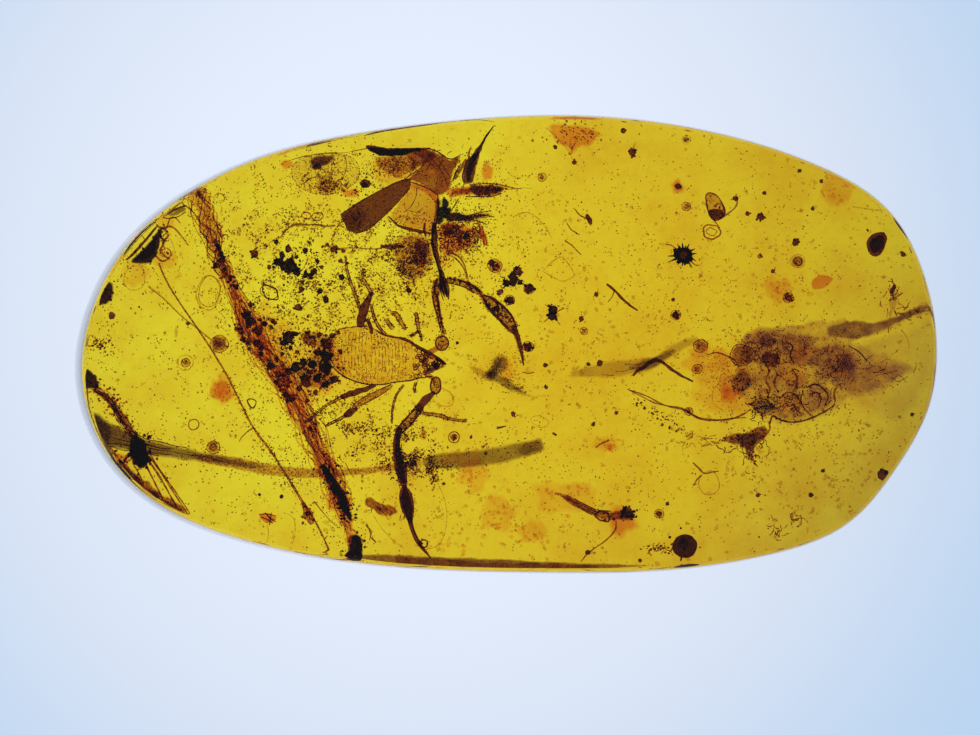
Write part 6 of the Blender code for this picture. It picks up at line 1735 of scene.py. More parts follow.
    piece.crumbs(12, (128, 424, 4, 8), 98, (1.4, 3.4), -0.05, dusky)
    bark_rim = piece.done("edge_bark")
    return [flakes, bark_rim]


# ---- grains ----
def ragged(piece, px, py, wide, tall, use, edge, seed, turn=0.0, rise=0.0, count=8, rough=0.45,
           spiked=0):
    """A grain with an uneven rim, small crumbs stuck to it and perhaps spikes."""
    draw = random.Random(seed)
    piece.blob(px, py, wide, tall, turn, rise, use=use, rough=rough, seed=seed, busy=2.2)
    for k in range(count):
        angle = 2 * math.pi * draw.random()
        reach = draw.uniform(0.25, 0.5)
        x, y = px + wide * reach * math.cos(angle), py + tall * reach * math.sin(angle)
        size = draw.uniform(0.16, 0.4) * min(wide, tall)
        piece.blob(x, y, size * 1.3, size, draw.uniform(0, 180), rise, use=edge, rough=0.5, seed=seed + k,
                   detail=2, busy=2.6)
    for k in range(spiked):
        angle = 2 * math.pi * (k + draw.uniform(-0.25, 0.25)) / spiked
        near, far = 0.35, draw.uniform(0.55, 0.85)
        piece.tube(path([(px + wide * near * math.cos(angle), py + tall * near * math.sin(angle),
                          0.14 * wide),
                         (px + wide * far * math.cos(angle), py + tall * far * math.sin(angle), 0.8)],
                        rise), 4, 5, use=edge, seed=k)


NEAR_GRAINS = [  # px, py, width, height in pixels, how dark: 0 ink, 1 dusky, 2 umber, 3 russet
    (290, 267, 19, 17, 0), (281, 263, 11, 10, 0), (277, 262, 6, 8, 0), (306, 276, 8, 6, 0),
    (314.5, 272, 9, 7, 0), (322, 268, 5, 5, 1), (277, 243, 6, 6, 0), (289, 250, 9, 8, 1),
    (306, 251.5, 7, 7, 0), (335, 250, 11, 8, 1), (344, 252, 6, 5, 1), (255, 255, 12, 8, 1),
    (302, 290, 8, 7, 1), (320.5, 291.5, 8, 7, 0), (326.6, 300, 7, 10, 0), (299, 308, 11, 8, 1),
    (342, 278, 8, 7, 0), (409, 291, 7, 6, 0), (289, 337.5, 17, 13, 0), (284, 343, 9, 7, 0),
    (296, 334, 8, 6, 0), (308, 339, 14, 13, 3), (314, 344, 9, 8, 3), (326.6, 343, 10, 15, 1),
    (326, 357, 11, 16, 0), (328, 370, 9, 14, 1), (318, 352, 9, 10, 1), (296, 367, 13, 11, 0),
    (304, 362, 9, 8, 0), (313, 364, 12, 10, 0), (325, 368, 15, 12, 0), (306, 381, 16, 12, 1),
    (318, 378, 10, 9, 0), (335, 379, 11, 9, 1), (326, 384, 9, 8, 0), (284, 381, 18, 15, 3),
    (291, 398, 10, 9, 1), (289, 371, 9, 8, 1), (279, 374, 8, 8, 1), (243, 340, 6, 5, 1),
    (257, 342, 6, 6, 1), (265, 324, 6, 7, 1), (272, 328, 6, 5, 1), (277, 359, 6, 6, 1),
    (333, 336, 8, 7, 2), (339, 333, 5, 5, 2), (341, 352, 7, 5, 2), (320, 335, 7, 6, 1),
    (332, 355, 6, 6, 2), (298, 352, 6, 5, 1), (311, 372, 7, 6, 1), (300, 388, 8, 7, 1),
    (316, 392, 7, 6, 1), (308, 400, 6, 5, 1), (283, 354, 5, 5, 1), (270, 365, 6, 5, 1),
    (262, 355, 5, 5, 1), (250, 349, 5, 5, 2), (283, 256, 7, 10, 0), (297, 273, 11, 8, 0),
    (311, 277, 9, 6, 0), (303, 283, 6, 5, 1), (318, 262, 5, 6, 0), (341, 262, 6, 5, 1),
    (328, 246, 6, 4, 1), (310, 244, 5, 4, 1), (270, 268, 6, 5, 1), (297, 258, 5, 5, 0),
]


def near_grains(look):
    """Black and brown grains massed behind the animal's body."""
    piece = Piece("grain_masses_detail", [look["ink"], look["dusky"], look["umber"], look["russet"],
                                          look["grain"], look["speck"], look["haze"]], "black_grain")
    shades, grain, speck, haze = (0, 1, 2, 3), 4, 5, 6
    for k, (px, py, wide, tall, shade) in enumerate(NEAR_GRAINS):
        ragged(piece, px, py, wide, tall, shades[shade], grain if shade < 2 else shades[1], 300 + k,
               37 * k % 180, 0.02 * (k % 5 - 2), 7 if wide > 8 else 4)
    piece.plate([(300, 334), (312, 331), (324, 334), (333, 336), (336, 350), (332, 366),
                 (340, 380), (328, 388), (310, 388), (296, 378), (296, 366), (312, 356), (316, 346)],
                0.0, 0.05, haze, 6.0, 2.8, 0.03, 3.0, 31)
    piece.crumbs(46, (312, 367, 13, 12), 32, (1.8, 5.0), 0.0, grain)
    piece.crumbs(60, (314, 378, 14, 11), 40, (1.8, 5.0), 0.0, 3)
    piece.crumbs(44, (328, 354, 4.6, 13), 33, (1.8, 4.6), 0.0, 3)
    piece.crumbs(24, (292, 340, 8, 6), 34, (1.6, 4.4), 0.0, grain)
    piece.crumbs(46, (296, 268, 13, 7), 35, (1.6, 4.4), 0.0, grain)
    piece.crumbs(60, (300, 292, 28, 22), 36, (1.4, 3.6), 0.0, grain)
    piece.specks(700, (310, 362, 20, 18), 37, (0.007, 0.018), (-0.2, 0.2), speck)
    piece.loop((270, 293), (8.5, 5.5), 1.6, 0.0, 30, 1, 26, 5, 0.4, 38)
    piece.crumbs(10, (269, 293, 5, 3.4), 39, (1.5, 3.4), 0.0, 1)
    return piece.done("grain_clump", "grain_group")


RIGHT_GRAINS = [  # px, py, width, height, shade as above
    (496, 269, 9, 8, 3), (492, 264, 8, 8, 1), (517.6, 272, 12, 11, 1), (513, 280, 19, 10, 0),
    (507, 284, 9, 9, 0), (520, 283, 8, 5, 0), (529, 289.7, 12, 11, 1), (509.6, 300.6, 11, 9, 1),
    (500, 293, 7, 10, 2), (553, 310, 11, 11, 0), (552, 316.6, 11, 11, 0), (528, 346.6, 11, 10, 1),
    (545, 365, 6, 6, 1), (546, 386.6, 5, 5, 1), (457.5, 343, 4, 4, 0), (513, 413, 7, 6, 1),
    (454, 436, 6, 6, 3), (471, 436, 4, 4, 1), (632, 154, 9, 11, 1), (623, 133, 7, 7, 1),
    (555, 149, 6, 5, 1), (574, 164.5, 6, 6, 1), (677.5, 188, 8, 7, 2), (675, 315.4, 9, 9, 1),
    (672.6, 300, 5, 5, 1), (596, 295, 6, 6, 1), (760, 218, 10, 9, 1), (747, 215, 6, 6, 1),
    (735, 200, 6, 8, 1), (795, 243, 10, 9, 1), (759, 257, 6, 6, 3), (772, 271.6, 5, 5, 1),
    (787.5, 298, 10, 9, 3), (799, 172.5, 5, 5, 1), (764, 194.5, 5, 5, 1), (820.5, 183, 5, 5, 1),
    (812, 210, 5, 5, 1), (902, 255, 7, 6, 2), (892, 289.6, 6, 14, 2), (581, 319, 7, 6, 1),
    (588, 364, 5, 5, 1), (599.5, 363, 8, 7, 1), (616, 412, 5, 5, 1), (593, 423.5, 5, 5, 1),
    (911, 414, 5, 5, 1), (882, 474, 15, 15, 2), (810, 494, 6, 6, 1), (822, 470, 5, 5, 1),
    (757, 494, 5, 5, 1), (640, 558, 5, 5, 1), (667, 502, 5, 5, 1), (659, 512, 7, 7, 3),
    (189, 324, 5, 5, 1), (145, 229, 4, 4, 1), (282, 495, 5, 5, 0),
    (260, 493, 4, 4, 0), (444, 482, 4, 4, 1), (554.5, 433, 7, 3, 1),
]


def far_grains(look):
    """Single grains strewn over the middle and the right."""
    piece = Piece("strewn_grains_detail", [look["ink"], look["dusky"], look["umber"], look["russet"],
                                           look["line"], look["bark"]], "black_grain")
    russet, line, bark_red = 3, 4, 5
    piece.plate([(363, 496), (369, 494.6), (377, 498), (387, 502.6), (396, 505.6), (397.4, 511),
                 (390, 515), (381, 513), (372, 508), (364.6, 504)], 0.0, 0.05, bark_red, 2.4, 2.2, 0.02,
                2.4, 702)
    scribble(piece, 16, (380, 505, 9, 3), (4, 9), 1.0, russet, 703, 0.02, -25, 0.6)
    for k, (px, py, wide, tall, shade) in enumerate(RIGHT_GRAINS):
        ragged(piece, px, py, wide, tall, shade, 0 if shade == 0 else 1, 500 + k, 29 * k % 180,
               0.04 * (k % 7 - 3), 7 if wide > 7 else 3, 0.5)
    for route in ([(507, 285, 2.2), (504, 288, 1.6), (502, 289, 1.0)], [(521, 284, 1.6), (526, 286, 1.0)],
                  [(505, 279, 1.4), (500, 277, 1.0)], [(517, 269, 1.4), (520, 266, 1.0)]):
        piece.tube(path(route), 6, 5, use=0, rough=0.4)
    piece.crumbs(26, (658, 546, 7, 2.4), 700, (1.4, 4.0), 0.0, 1)
    scribble(piece, 14, (656, 546, 6, 2.4), (4, 9), 1.0, 3, 701, 0.0, 25, 0.6)
    for route in ([(550, 308, 1.4), (545, 305, 1.0)], [(557, 312, 1.4), (563, 309, 1.0)],
                  [(549, 318, 1.4), (544, 322, 1.0)], [(556, 320, 1.4), (560, 325, 1.0)]):
        piece.tube(path(route), 6, 5, use=line, rough=0.4)
    return piece.done("ant_grain", "black_bean")


def single_bodies(look):
    """The larger single bodies: ball, oval, shell, spiky grain and the red chip."""
    made = []
    piece = Piece("black_ball_detail", [look["grain"], look["bruise"]], "black_grain")
    grain, bruise = range(2)
    piece.lump((*at(684.6, 544), 0.0), (0.275, 0.265, 0.2), 0, rough=0.12, seed=1, use=grain, busy=1.6)
    piece.lump((*at(683.0, 542), 0.17), (0.13, 0.12, 0.06), 0, rough=0.3, seed=2, use=bruise)
    piece.crumbs(16, (684.6, 544, 8, 8), 3, (2.0, 5.0), 0.05, grain)
    made.append(piece.done("black_ball"))

    piece = Piece("dark_oval_detail", [look["dusky"]], "black_grain")
    oval = [(865.4, 244), (868, 238.6), (872.5, 234.4), (878, 232.8), (883.6, 234), (886, 239),
            (885, 245), (881, 252.6), (876, 256.6), (870.6, 256.4), (866.6, 251)]
    piece.plate(oval, 0.0, 0.12, 0, 0.8, 2.4, 0.0, 0.8, 4)
    piece.plate([(px + (875.6 - px) * 0.25, py + (245 - py) * 0.25) for px, py in oval], 0.09, 0.06, 0,
                3.0, 2.4, 0.0, 1.6, 5)
    piece.crumbs(14, (876, 246, 5, 6), 7, (2.0, 5.0), 0.08)
    made.append(piece.done("dark_oval"))

    piece = Piece("spiky_grain_detail", [look["grain"], look["line"]], "black_grain")
    grain, line = range(2)
    ragged(piece, 683, 256, 20, 18, grain, grain, 8, 0, 0.0, 16, 0.4, 12)
    for k in range(19):
        angle = 2 * math.pi * k / 19
        reach = 8.8 + 1.4 * math.sin(7.3 * k)
        piece.tube(path([(683 + 5 * math.cos(angle), 256 + 5 * math.sin(angle), 3.4),
                         (683 + reach * math.cos(angle), 256 + reach * math.sin(angle), 1.2)]), 5, 5,
                   use=grain, rough=0.4, seed=k)
    piece.tube(path([(676, 250, 1.6), (670, 246, 1.2), (665, 246, 0.9)]), 8, 5, use=line, rough=0.4)
    piece.tube(path([(690, 262, 1.6), (695, 266, 1.2), (699, 266, 0.9)]), 8, 5, use=line, rough=0.4)
    made.append(piece.done("spiky_grain"))

    piece = Piece("seed_shell_detail", [look["ochre"], look["dusky"], look["russet"], look["line"]],
                  "plant_brown")
    ochre, dusky, russet, line = range(4)
    shell = [(705.6, 196), (710, 194.4), (717, 197.6), (722, 206), (724.4, 215), (719, 220.6), (713, 221),
             (708.6, 215), (706, 206)]
    piece.plate(shell, 0.0, 0.1, ochre, 2.0, 2.2, 0.02, 0.6, 10)
    piece.plate([(708, 211), (716, 210), (723, 213), (721, 219), (714, 221), (709, 217)], 0.07, 0.05,
                dusky, 2.0, 2.2, 0.0, 1.0, 11)
    fringe(piece, shell, 1.8, dusky, 12)
    piece.loop((711, 233), (9, 6.8), 1.7, 0.0, 10, russet, 30, 6, 0.3, 13)
    piece.loop((711, 233), (5.6, 4.0), 1.0, 0.0, 10, line, 24, 5, 0.4, 14)
    piece.tube(path([(723, 218, 2.0), (730, 213, 1.8), (736, 207, 1.6), (736.4, 199, 2.4)]), 18, 6,
               use=line, rough=0.4, seed=15)
    piece.tube(path([(713, 221, 1.6), (716, 225, 1.4), (719, 229, 1.2)]), 8, 5, use=line, rough=0.4)
    piece.crumbs(10, (715, 212, 4, 5), 16, (1.6, 4.0), 0.03, dusky)
    made.append(piece.done("seed_shell"))

    piece = Piece("red_chip_detail", [look["dusky"], look["bark"], look["grain"], look["line"]],
                  "plant_brown")
    dusky, red, grain, line = range(4)
    piece.plate(band([(554, 490.5, 3), (563, 494, 6), (574, 500, 7.5), (586, 506.6, 8), (597, 511.6, 9),
                      (609, 514, 10), (620, 513.6, 11), (634, 514, 10)], 50, 0.35, 17), 0.0, 0.08, red,
                1.6, 2.2, 0.02, 0.8, 17, False)
    bundle(piece, [(555, 491, 3), (574, 500, 6), (597, 511, 8), (622, 513, 9)], 4, 4, 1.2, dusky, 18,
           0.05, 40, 0.3)
    ragged(piece, 627, 511, 16, 13, dusky, grain, 19, 10, 0.03, 12, 0.45)
    piece.crumbs(24, (625, 513, 7, 4), 20, (2.0, 5.0), 0.04, grain)
    piece.loop((602.5, 514.6), (7, 5), 1.8, 0.04, 20, dusky, 24, 6, 0.4, 21)
    piece.tube(path([(616, 519, 1.6), (615, 528, 1.5), (606, 538, 1.4), (596, 545, 1.2), (588, 551, 1.6),
                     (581, 559, 1.0)]), 30, 6, use=line, rough=0.4, seed=22)
    piece.blob(588, 550, 7, 6, 0, 0.0, use=dusky, rough=0.4, seed=23)
    made.append(piece.done("red_chip"))
    return made


# ---- the debris on the right ----
def debris(look):
    """A purple-brown mass of broken scraps with light gaps, and the lump below it."""
    piece = Piece("debris_mass_detail", [look["plum"], look["dark_plum"], look["russet"], look["dusky"],
                                         look["speck"], look["line"], look["stain"], look["murk"]],
                  "plant_brown")
    plum, dark_plum, russet, dusky, speck, line, stain, murk = range(8)
    for k, (rise, use, soft, outline) in enumerate([
            (-0.08, plum, 9.0, [(732, 352), (744, 332), (775, 328), (810, 332), (835, 336), (862, 342),
                                (882, 352), (908, 360), (914, 370), (892, 388), (868, 398), (850, 400),
                                (840, 410), (816, 421), (790, 426), (766, 423), (749, 410), (738, 394),
                                (734, 372)]),
            (0.0, plum, 7.0, [(734, 352), (742, 336), (758, 330), (776, 329), (796, 331), (814, 337),
                              (822, 350), (812, 364), (796, 371), (772, 369), (750, 366)]),
            (0.03, plum, 6.0, [(782, 338), (796, 334), (812, 341), (824, 352), (818, 364), (802, 368),
                               (788, 362), (780, 350)]),
            (0.02, plum, 7.0, [(808, 354), (824, 344), (842, 342), (856, 350), (864, 361), (878, 360),
                               (894, 362), (906, 367), (900, 377), (884, 386), (868, 392), (850, 394),
                               (834, 388), (818, 384), (808, 370)]),
            (-0.03, plum, 8.0, [(752, 366), (772, 362), (792, 368), (810, 380), (828, 386), (834, 398),
                                (826, 410), (810, 417), (794, 420), (778, 421), (764, 414), (754, 400),
                                (748, 384)]),
            (0.06, plum, 6.0, [(744, 344), (758, 336), (774, 336), (788, 344), (786, 358), (770, 362),
                               (752, 358)]),
            (0.07, plum, 6.0, [(814, 352), (830, 345), (848, 349), (858, 360), (856, 375), (842, 382),
                               (826, 380), (814, 368)]),
            (0.09, dark_plum, 5.0, [(757, 340), (764, 333), (774, 335), (776, 344), (768, 349),
                                    (759, 348)]),
            (0.09, murk, 5.0, [(761, 354), (771, 350), (779, 356), (777, 366), (767, 368), (760, 362)]),
            (0.1, dark_plum, 5.0, [(836, 356), (846, 354), (853, 361), (850, 371), (840, 373),
                                   (834, 365)]),
            (0.05, plum, 6.0, [(728, 375), (737, 367), (749, 371), (756, 381), (751, 393), (740, 397),
                               (730, 390)]),
            (0.08, dark_plum, 6.0, [(730, 376), (738, 369.6), (748, 373), (752, 383), (746, 392),
                                    (736, 393), (730, 386)]),
            (0.05, dark_plum, 4.0, [(750, 401), (758, 396), (768, 399), (775, 405), (771, 413),
                                    (761, 416), (753, 410)]),
            (0.0, plum, 5.0, [(808, 380), (822, 382), (832, 392), (830, 404), (820, 410), (810, 402)])]):
        piece.plate(outline, rise, 0.06, use, soft, 2.8, 0.03, 3.0, 41 + k)
    for k, outline in enumerate([
            [(720, 372), (729, 368), (734, 378), (731, 392), (722, 398), (717, 386)],
            [(785, 366), (800, 364), (808, 374), (800, 388), (786, 386), (780, 376)],
            [(786, 346), (800, 344), (812, 350), (806, 360), (792, 360)],
            [(778, 396), (792, 394), (804, 402), (796, 412), (782, 410)]]):
        piece.plate(outline, -0.08, 0.04, stain, 5.0, 2.8, 0.0, 1.0, 56 + k)
    for k, route in enumerate([
            [(707, 354.6, 1.0), (716, 352.6, 1.8), (724, 355, 2.0), (733, 359.6, 1.6), (738, 366, 1.0)],
            [(792, 370, 1.4), (796, 377, 2.2), (795.6, 385, 2.2), (792, 391, 1.4)],
            [(789, 372, 1.0), (793, 369, 1.6), (798, 371, 1.4)],
            [(764, 362, 1.2), (768, 371, 1.8), (765, 380, 1.8), (769, 389, 1.4), (766, 397, 1.2)],
            [(772, 366, 1.0), (776, 374, 1.4), (773, 383, 1.4), (777, 391, 1.0)],
            [(806, 387, 1.4), (814, 384, 1.8), (822, 388, 1.8), (827, 396, 1.4), (824, 405, 1.0)],
            [(808, 396, 1.2), (815, 392, 1.6), (820, 398, 1.6), (817, 407, 1.2)],
            [(779, 398, 1.2), (787, 392, 1.8), (796, 396, 1.8), (799, 405, 1.4), (792, 411, 1.0)],
            [(802, 390, 1.2), (800, 400, 1.6), (805, 410, 1.4), (812, 416, 1.0)],
            [(782, 404, 1.0), (790, 402, 1.4), (796, 410, 1.4), (803, 414, 1.0)],
            [(755, 409, 1.2), (764, 406, 1.8), (774, 408, 2.0), (783, 405, 1.4)],
            [(769, 423, 1.4), (772, 415.5, 2.0), (780, 419.6, 1.6), (792, 421.6, 1.8), (803, 420, 1.6),
             (814, 416, 1.6), (824, 411, 1.4), (834, 404, 1.2)],
            [(687.7, 412.6, 0.9), (700, 417.6, 1.6), (714.8, 419.4, 1.8), (728, 419, 1.6),
             (740, 415, 1.6), (750, 409, 1.6)],
            [(627, 389, 0.9), (641, 396, 1.1), (654, 402.4, 1.3), (668, 405.6, 1.1), (681, 407.6, 1.3),
             (692, 413.6, 1.4), (700, 418.4, 1.2)],
            [(848, 346, 1.0), (858, 352, 1.4), (866, 361, 1.2)],
            [(838, 384, 1.2), (833, 392, 1.8), (834, 401, 1.4), (830, 410, 1.0)],
            [(743, 346, 1.0), (750, 342, 1.6), (757, 346, 1.4), (754, 353, 1.0)],
            [(786, 342, 1.2), (792, 347, 1.8), (789, 355, 1.6), (793, 363, 1.0)],
            [(798, 336, 1.0), (804, 344, 1.5), (802, 353, 1.2)]]):
        piece.tube(path(route, 0.03), 36, 6, use=(russet, line, dusky)[k % 3], rough=0.6, seed=70 + k)
    scribble(piece, 70, (768, 352, 15, 11), (4, 10), 1.0, line, 61, 0.05, None, 1.1)
    scribble(piece, 46, (832, 364, 13, 10), (4, 10), 1.0, line, 62, 0.05, None, 1.1)
    scribble(piece, 60, (796, 398, 20, 9), (4, 11), 1.0, line, 63, 0.03, None, 1.2)
    scribble(piece, 30, (762, 406, 7, 5), (4, 9), 1.1, dusky, 94, 0.03, None, 1.0)
    scribble(piece, 18, (880, 372, 12, 6), (6, 13), 0.8, line, 57, 0.02, 20, 0.35)
    scribble(piece, 22, (697, 441, 10, 4), (5, 11), 0.7, line, 96, 0.0, 10, 0.7)
    piece.crumbs(60, (768, 354, 15, 12), 64, (1.4, 4.2), 0.03, russet)
    piece.crumbs(40, (836, 364, 12, 9), 65, (1.4, 4.2), 0.03, russet)
    piece.crumbs(40, (770, 402, 10, 8), 66, (1.4, 3.8), 0.0, dusky)
    piece.crumbs(26, (740, 382, 6, 7), 97, (1.4, 3.8), 0.04, dusky)
    piece.specks(900, (790, 370, 36, 24), 67, (0.006, 0.016), (-0.2, 0.2), speck)
    piece.specks(260, (728, 376, 14, 16), 95, (0.006, 0.014), (-0.2, 0.2), speck)
    draw = random.Random(98)
    for k in range(44):
        share = draw.random()
        px, py = 634 + 54 * share + draw.gauss(0, 2.5), 398 + 36 * share + draw.gauss(0, 2.5)
        piece.blob(px, py, draw.uniform(1.6, 4.4), draw.uniform(1.0, 2.0), 35 + draw.gauss(0, 25), 0.0,
                   use=dusky, rough=0.5, seed=99 + k, detail=2, busy=2.4)
    mass = piece.done("debris_mass")

    piece = Piece("debris_lump_detail", [look["dusky"], look["dark_plum"], look["russet"],
                                         look["murk"]], "plant_brown")
    dusky, dark_plum, russet, murk = range(4)
    outline = [(718, 438), (728, 434), (738, 432), (748, 430), (757, 426), (764, 424), (768, 430),
               (764, 438), (758, 444), (753, 450), (751, 459), (747, 458), (743, 449), (735, 444),
               (725, 442)]
    piece.plate(outline, 0.0, 0.1, murk, 3.4, 2.6, 0.02, 2.4, 68)
    piece.plate([(733, 438), (744, 432), (754, 432), (760, 437), (754, 445), (748, 452), (741, 445)],
                0.05, 0.06, dark_plum, 3.4, 2.6, 0.02, 2.4, 69)
    piece.crumbs(40, (744, 439, 11, 5), 71, (1.4, 4.2), 0.03, dusky)
    piece.crumbs(16, (750, 452, 4, 5), 72, (1.4, 3.6), 0.03, dusky)
    scribble(piece, 34, (746, 442, 14, 8), (4, 10), 1.0, dusky, 73, 0.05, None, 0.9)
    piece.tube(path([(758, 438, 2.4), (765, 434, 2.2), (769, 428, 2.0), (768, 421, 1.4)], 0.03), 16, 6,
               use=russet, rough=0.5, seed=74)
    piece.tube(path([(751, 455, 2.2), (753, 461, 1.8), (757, 466, 1.2)], 0.03), 10, 6, use=russet,
               rough=0.5, seed=75)
    piece.loop((758, 431), (4.2, 3.4), 1.2, 0.05, 20, russet, 18, 5, 0.4, 76)
    return [mass, piece.done("debris_lump")]


def smudge(look):
    """A brown smear that lies deeper, out of focus."""
    piece = Piece("deep_smudge_detail", [look["olive"], look["speck"], look["pale_olive"], look["stain"],
                                         look["brown_speck"]], "plant_brown")
    olive, speck, pale_olive, stain, brown_speck = range(5)
    piece.plate(band([(484, 378, 7), (490, 374, 13), (497, 367, 17), (502, 360, 16), (506, 353, 8)], 24,
                     0.7, 81), -0.75, 0.05, olive, 5.5, 2.0, 0.03, 1.8, 81, False)
    piece.plate(band([(488, 375, 6), (493, 370, 9), (498, 364, 10), (502, 358, 7)], 20, 0.7, 82), -0.71,
                0.04, olive, 3.6, 1.8, 0.0, 1.6, 82, False)
    piece.plate(band([(467, 364, 4), (473, 368, 8), (480, 371.5, 10), (488, 375, 12), (496, 377, 10)], 24,
                     0.6, 83), -0.79, 0.04, pale_olive, 4.0, 2.0, 0.0, 1.6, 83, False)
    piece.plate(band([(486, 370, 7), (493, 375, 12), (502, 380, 13), (510, 385, 12), (518, 389.5, 9),
                      (526, 393.5, 6), (534, 395.5, 5), (547, 394.5, 3)], 36, 0.6, 84), -0.73, 0.05, olive,
                4.6, 2.0, 0.0, 1.6, 84, False)
    piece.plate([(503, 356), (510, 361), (514, 368), (513, 376), (507, 381), (499, 377), (500, 366)],
                -0.83, 0.04, stain, 5.0, 2.2, 0.0, 1.6, 85, False)
    for k, (px, py, wide, tall) in enumerate([(491, 373, 3.6, 3.0), (498, 364, 3.6, 4.4),
                                              (507, 382, 4.6, 2.6), (518, 388, 4.0, 2.2)]):
        piece.crumbs(9, (px, py, wide, tall), 86 + k, (1.4, 3.4), -0.7, pale_olive, 1)
        piece.specks(34, (px, py, wide, tall), 90 + k, (0.007, 0.017), (-0.78, -0.62), speck)
    piece.specks(150, (505, 371, 17, 10), 95, (0.008, 0.018), (-0.8, -0.6), brown_speck)
    return piece.done("deep_chip")


# ---- bubble rings of painted shade, threads, specks, stains and clouds ----
# Each row is a bubble: px, py, half width, half height, turn and line width, then the shade of the ring,
# 0 line, 1 faint or 2 russet, and 1 for a filled one. Each ring is painted shade for the dark rim of a
# bubble.
BUBBLES_WITH_RIM_SHADE = [
    (209.7, 293, 11.8, 16.5, 8, 1.5, 1, 0), (210.5, 292, 10.6, 15.2, 8, 0.7, 0, 0),
    (186.7, 362.6, 7.9, 7.7, 0, 1.2, 1, 0), (186.7, 362.6, 4.2, 4.2, 0, 1.8, 2, 1),
    (214, 446.3, 6.4, 6.2, 0, 1.6, 2, 1), (214, 446.3, 3.0, 3.0, 0, 1.1, 0, 0),
    (194.7, 424, 5.2, 5.0, 0, 1.2, 0, 0), (220, 344, 8.8, 8.6, 0, 1.6, 2, 1),
    (220, 344, 5.4, 5.0, 0, 1.0, 0, 1), (495, 267, 7.0, 6.6, 20, 1.6, 2, 1),
    (528, 346.6, 5.4, 4.8, 0, 1.6, 2, 1), (454, 436, 5.6, 5.4, 0, 1.3, 0, 0),
    (454, 436, 3.0, 3.0, 0, 1.6, 2, 1), (542, 179, 4.2, 4.0, 0, 1.3, 2, 1),
    (686, 208, 4.6, 4.4, 0, 1.3, 2, 1), (797, 262, 7.0, 6.4, 10, 1.6, 1, 1),
    (797, 262, 4.0, 3.6, 10, 1.2, 2, 0), (700, 346, 7.0, 6.4, 0, 2.0, 2, 1),
    (696.5, 369, 5.0, 4.6, 0, 1.5, 2, 1), (688, 411, 4.2, 4.0, 0, 1.6, 2, 1),
    (583.6, 331, 3.8, 3.6, 0, 1.2, 2, 1), (659, 512, 4.6, 4.4, 0, 1.3, 2, 1),
    (709, 482, 10.5, 11.5, 0, 1.4, 1, 0), (540, 420.5, 9.0, 5.0, 15, 0.8, 1, 0),
    (423.6, 433, 3.4, 5.4, 0, 1.2, 1, 1), (307, 217, 4.6, 3.2, 10, 1.4, 2, 0),
    (318, 218, 5.8, 3.8, -8, 1.3, 2, 0), (741.5, 355, 12.0, 11.0, 0, 1.8, 2, 1),
    (686, 142, 4.4, 4.2, 0, 1.1, 1, 1), (270, 293, 9.2, 6.4, 30, 1.1, 0, 0),
    (675, 315.4, 5.0, 4.8, 0, 1.2, 2, 1), (167, 249, 8.0, 9.0, 10, 1.0, 1, 0),
    (136, 279, 11.0, 12.0, 0, 1.0, 1, 0), (509.6, 300.6, 5.0, 4.6, 0, 1.4, 2, 1),
    (529, 289.7, 5.0, 4.8, 0, 1.5, 0, 1), (787.5, 298, 5.4, 5.0, 0, 1.6, 2, 1),
]


def bubbles_with_rim_shade(look):
    """Hollow rings and small brown discs, round and oval; the rings are painted shade for the dark rims of
    bubbles.
    """
    piece = Piece("bubble_rings_rim_shade", [look["line"], look["faint"], look["russet"], look["glass"]], "amber")
    russet, glass = 2, 3
    for k, (px, py, wide, tall, turn, thick, use, filled) in enumerate(BUBBLES_WITH_RIM_SHADE):
        rise = 0.02 * (k % 7 - 3)
        # the ring: painted shade standing in for the dark rim of the bubble
        piece.loop((px, py), (wide, tall), 0.7 * thick if filled else thick, rise, turn, use, 34, 6,
                   0.16, k)
        if filled:
            piece.crumbs(9, (px, py, 0.42 * wide, 0.42 * tall), 40 + k, (1.2, 3.0), rise, russet)
            ring = [(px + wide * math.cos(a), py + tall * math.sin(a))
                    for a in np.linspace(0, NEARLY_ROUND, 12)[:-1]]
            piece.plate(ring, rise, 0.05, glass, 2.0, 2.0, 0.0, 1.0, k)
    return piece.done()


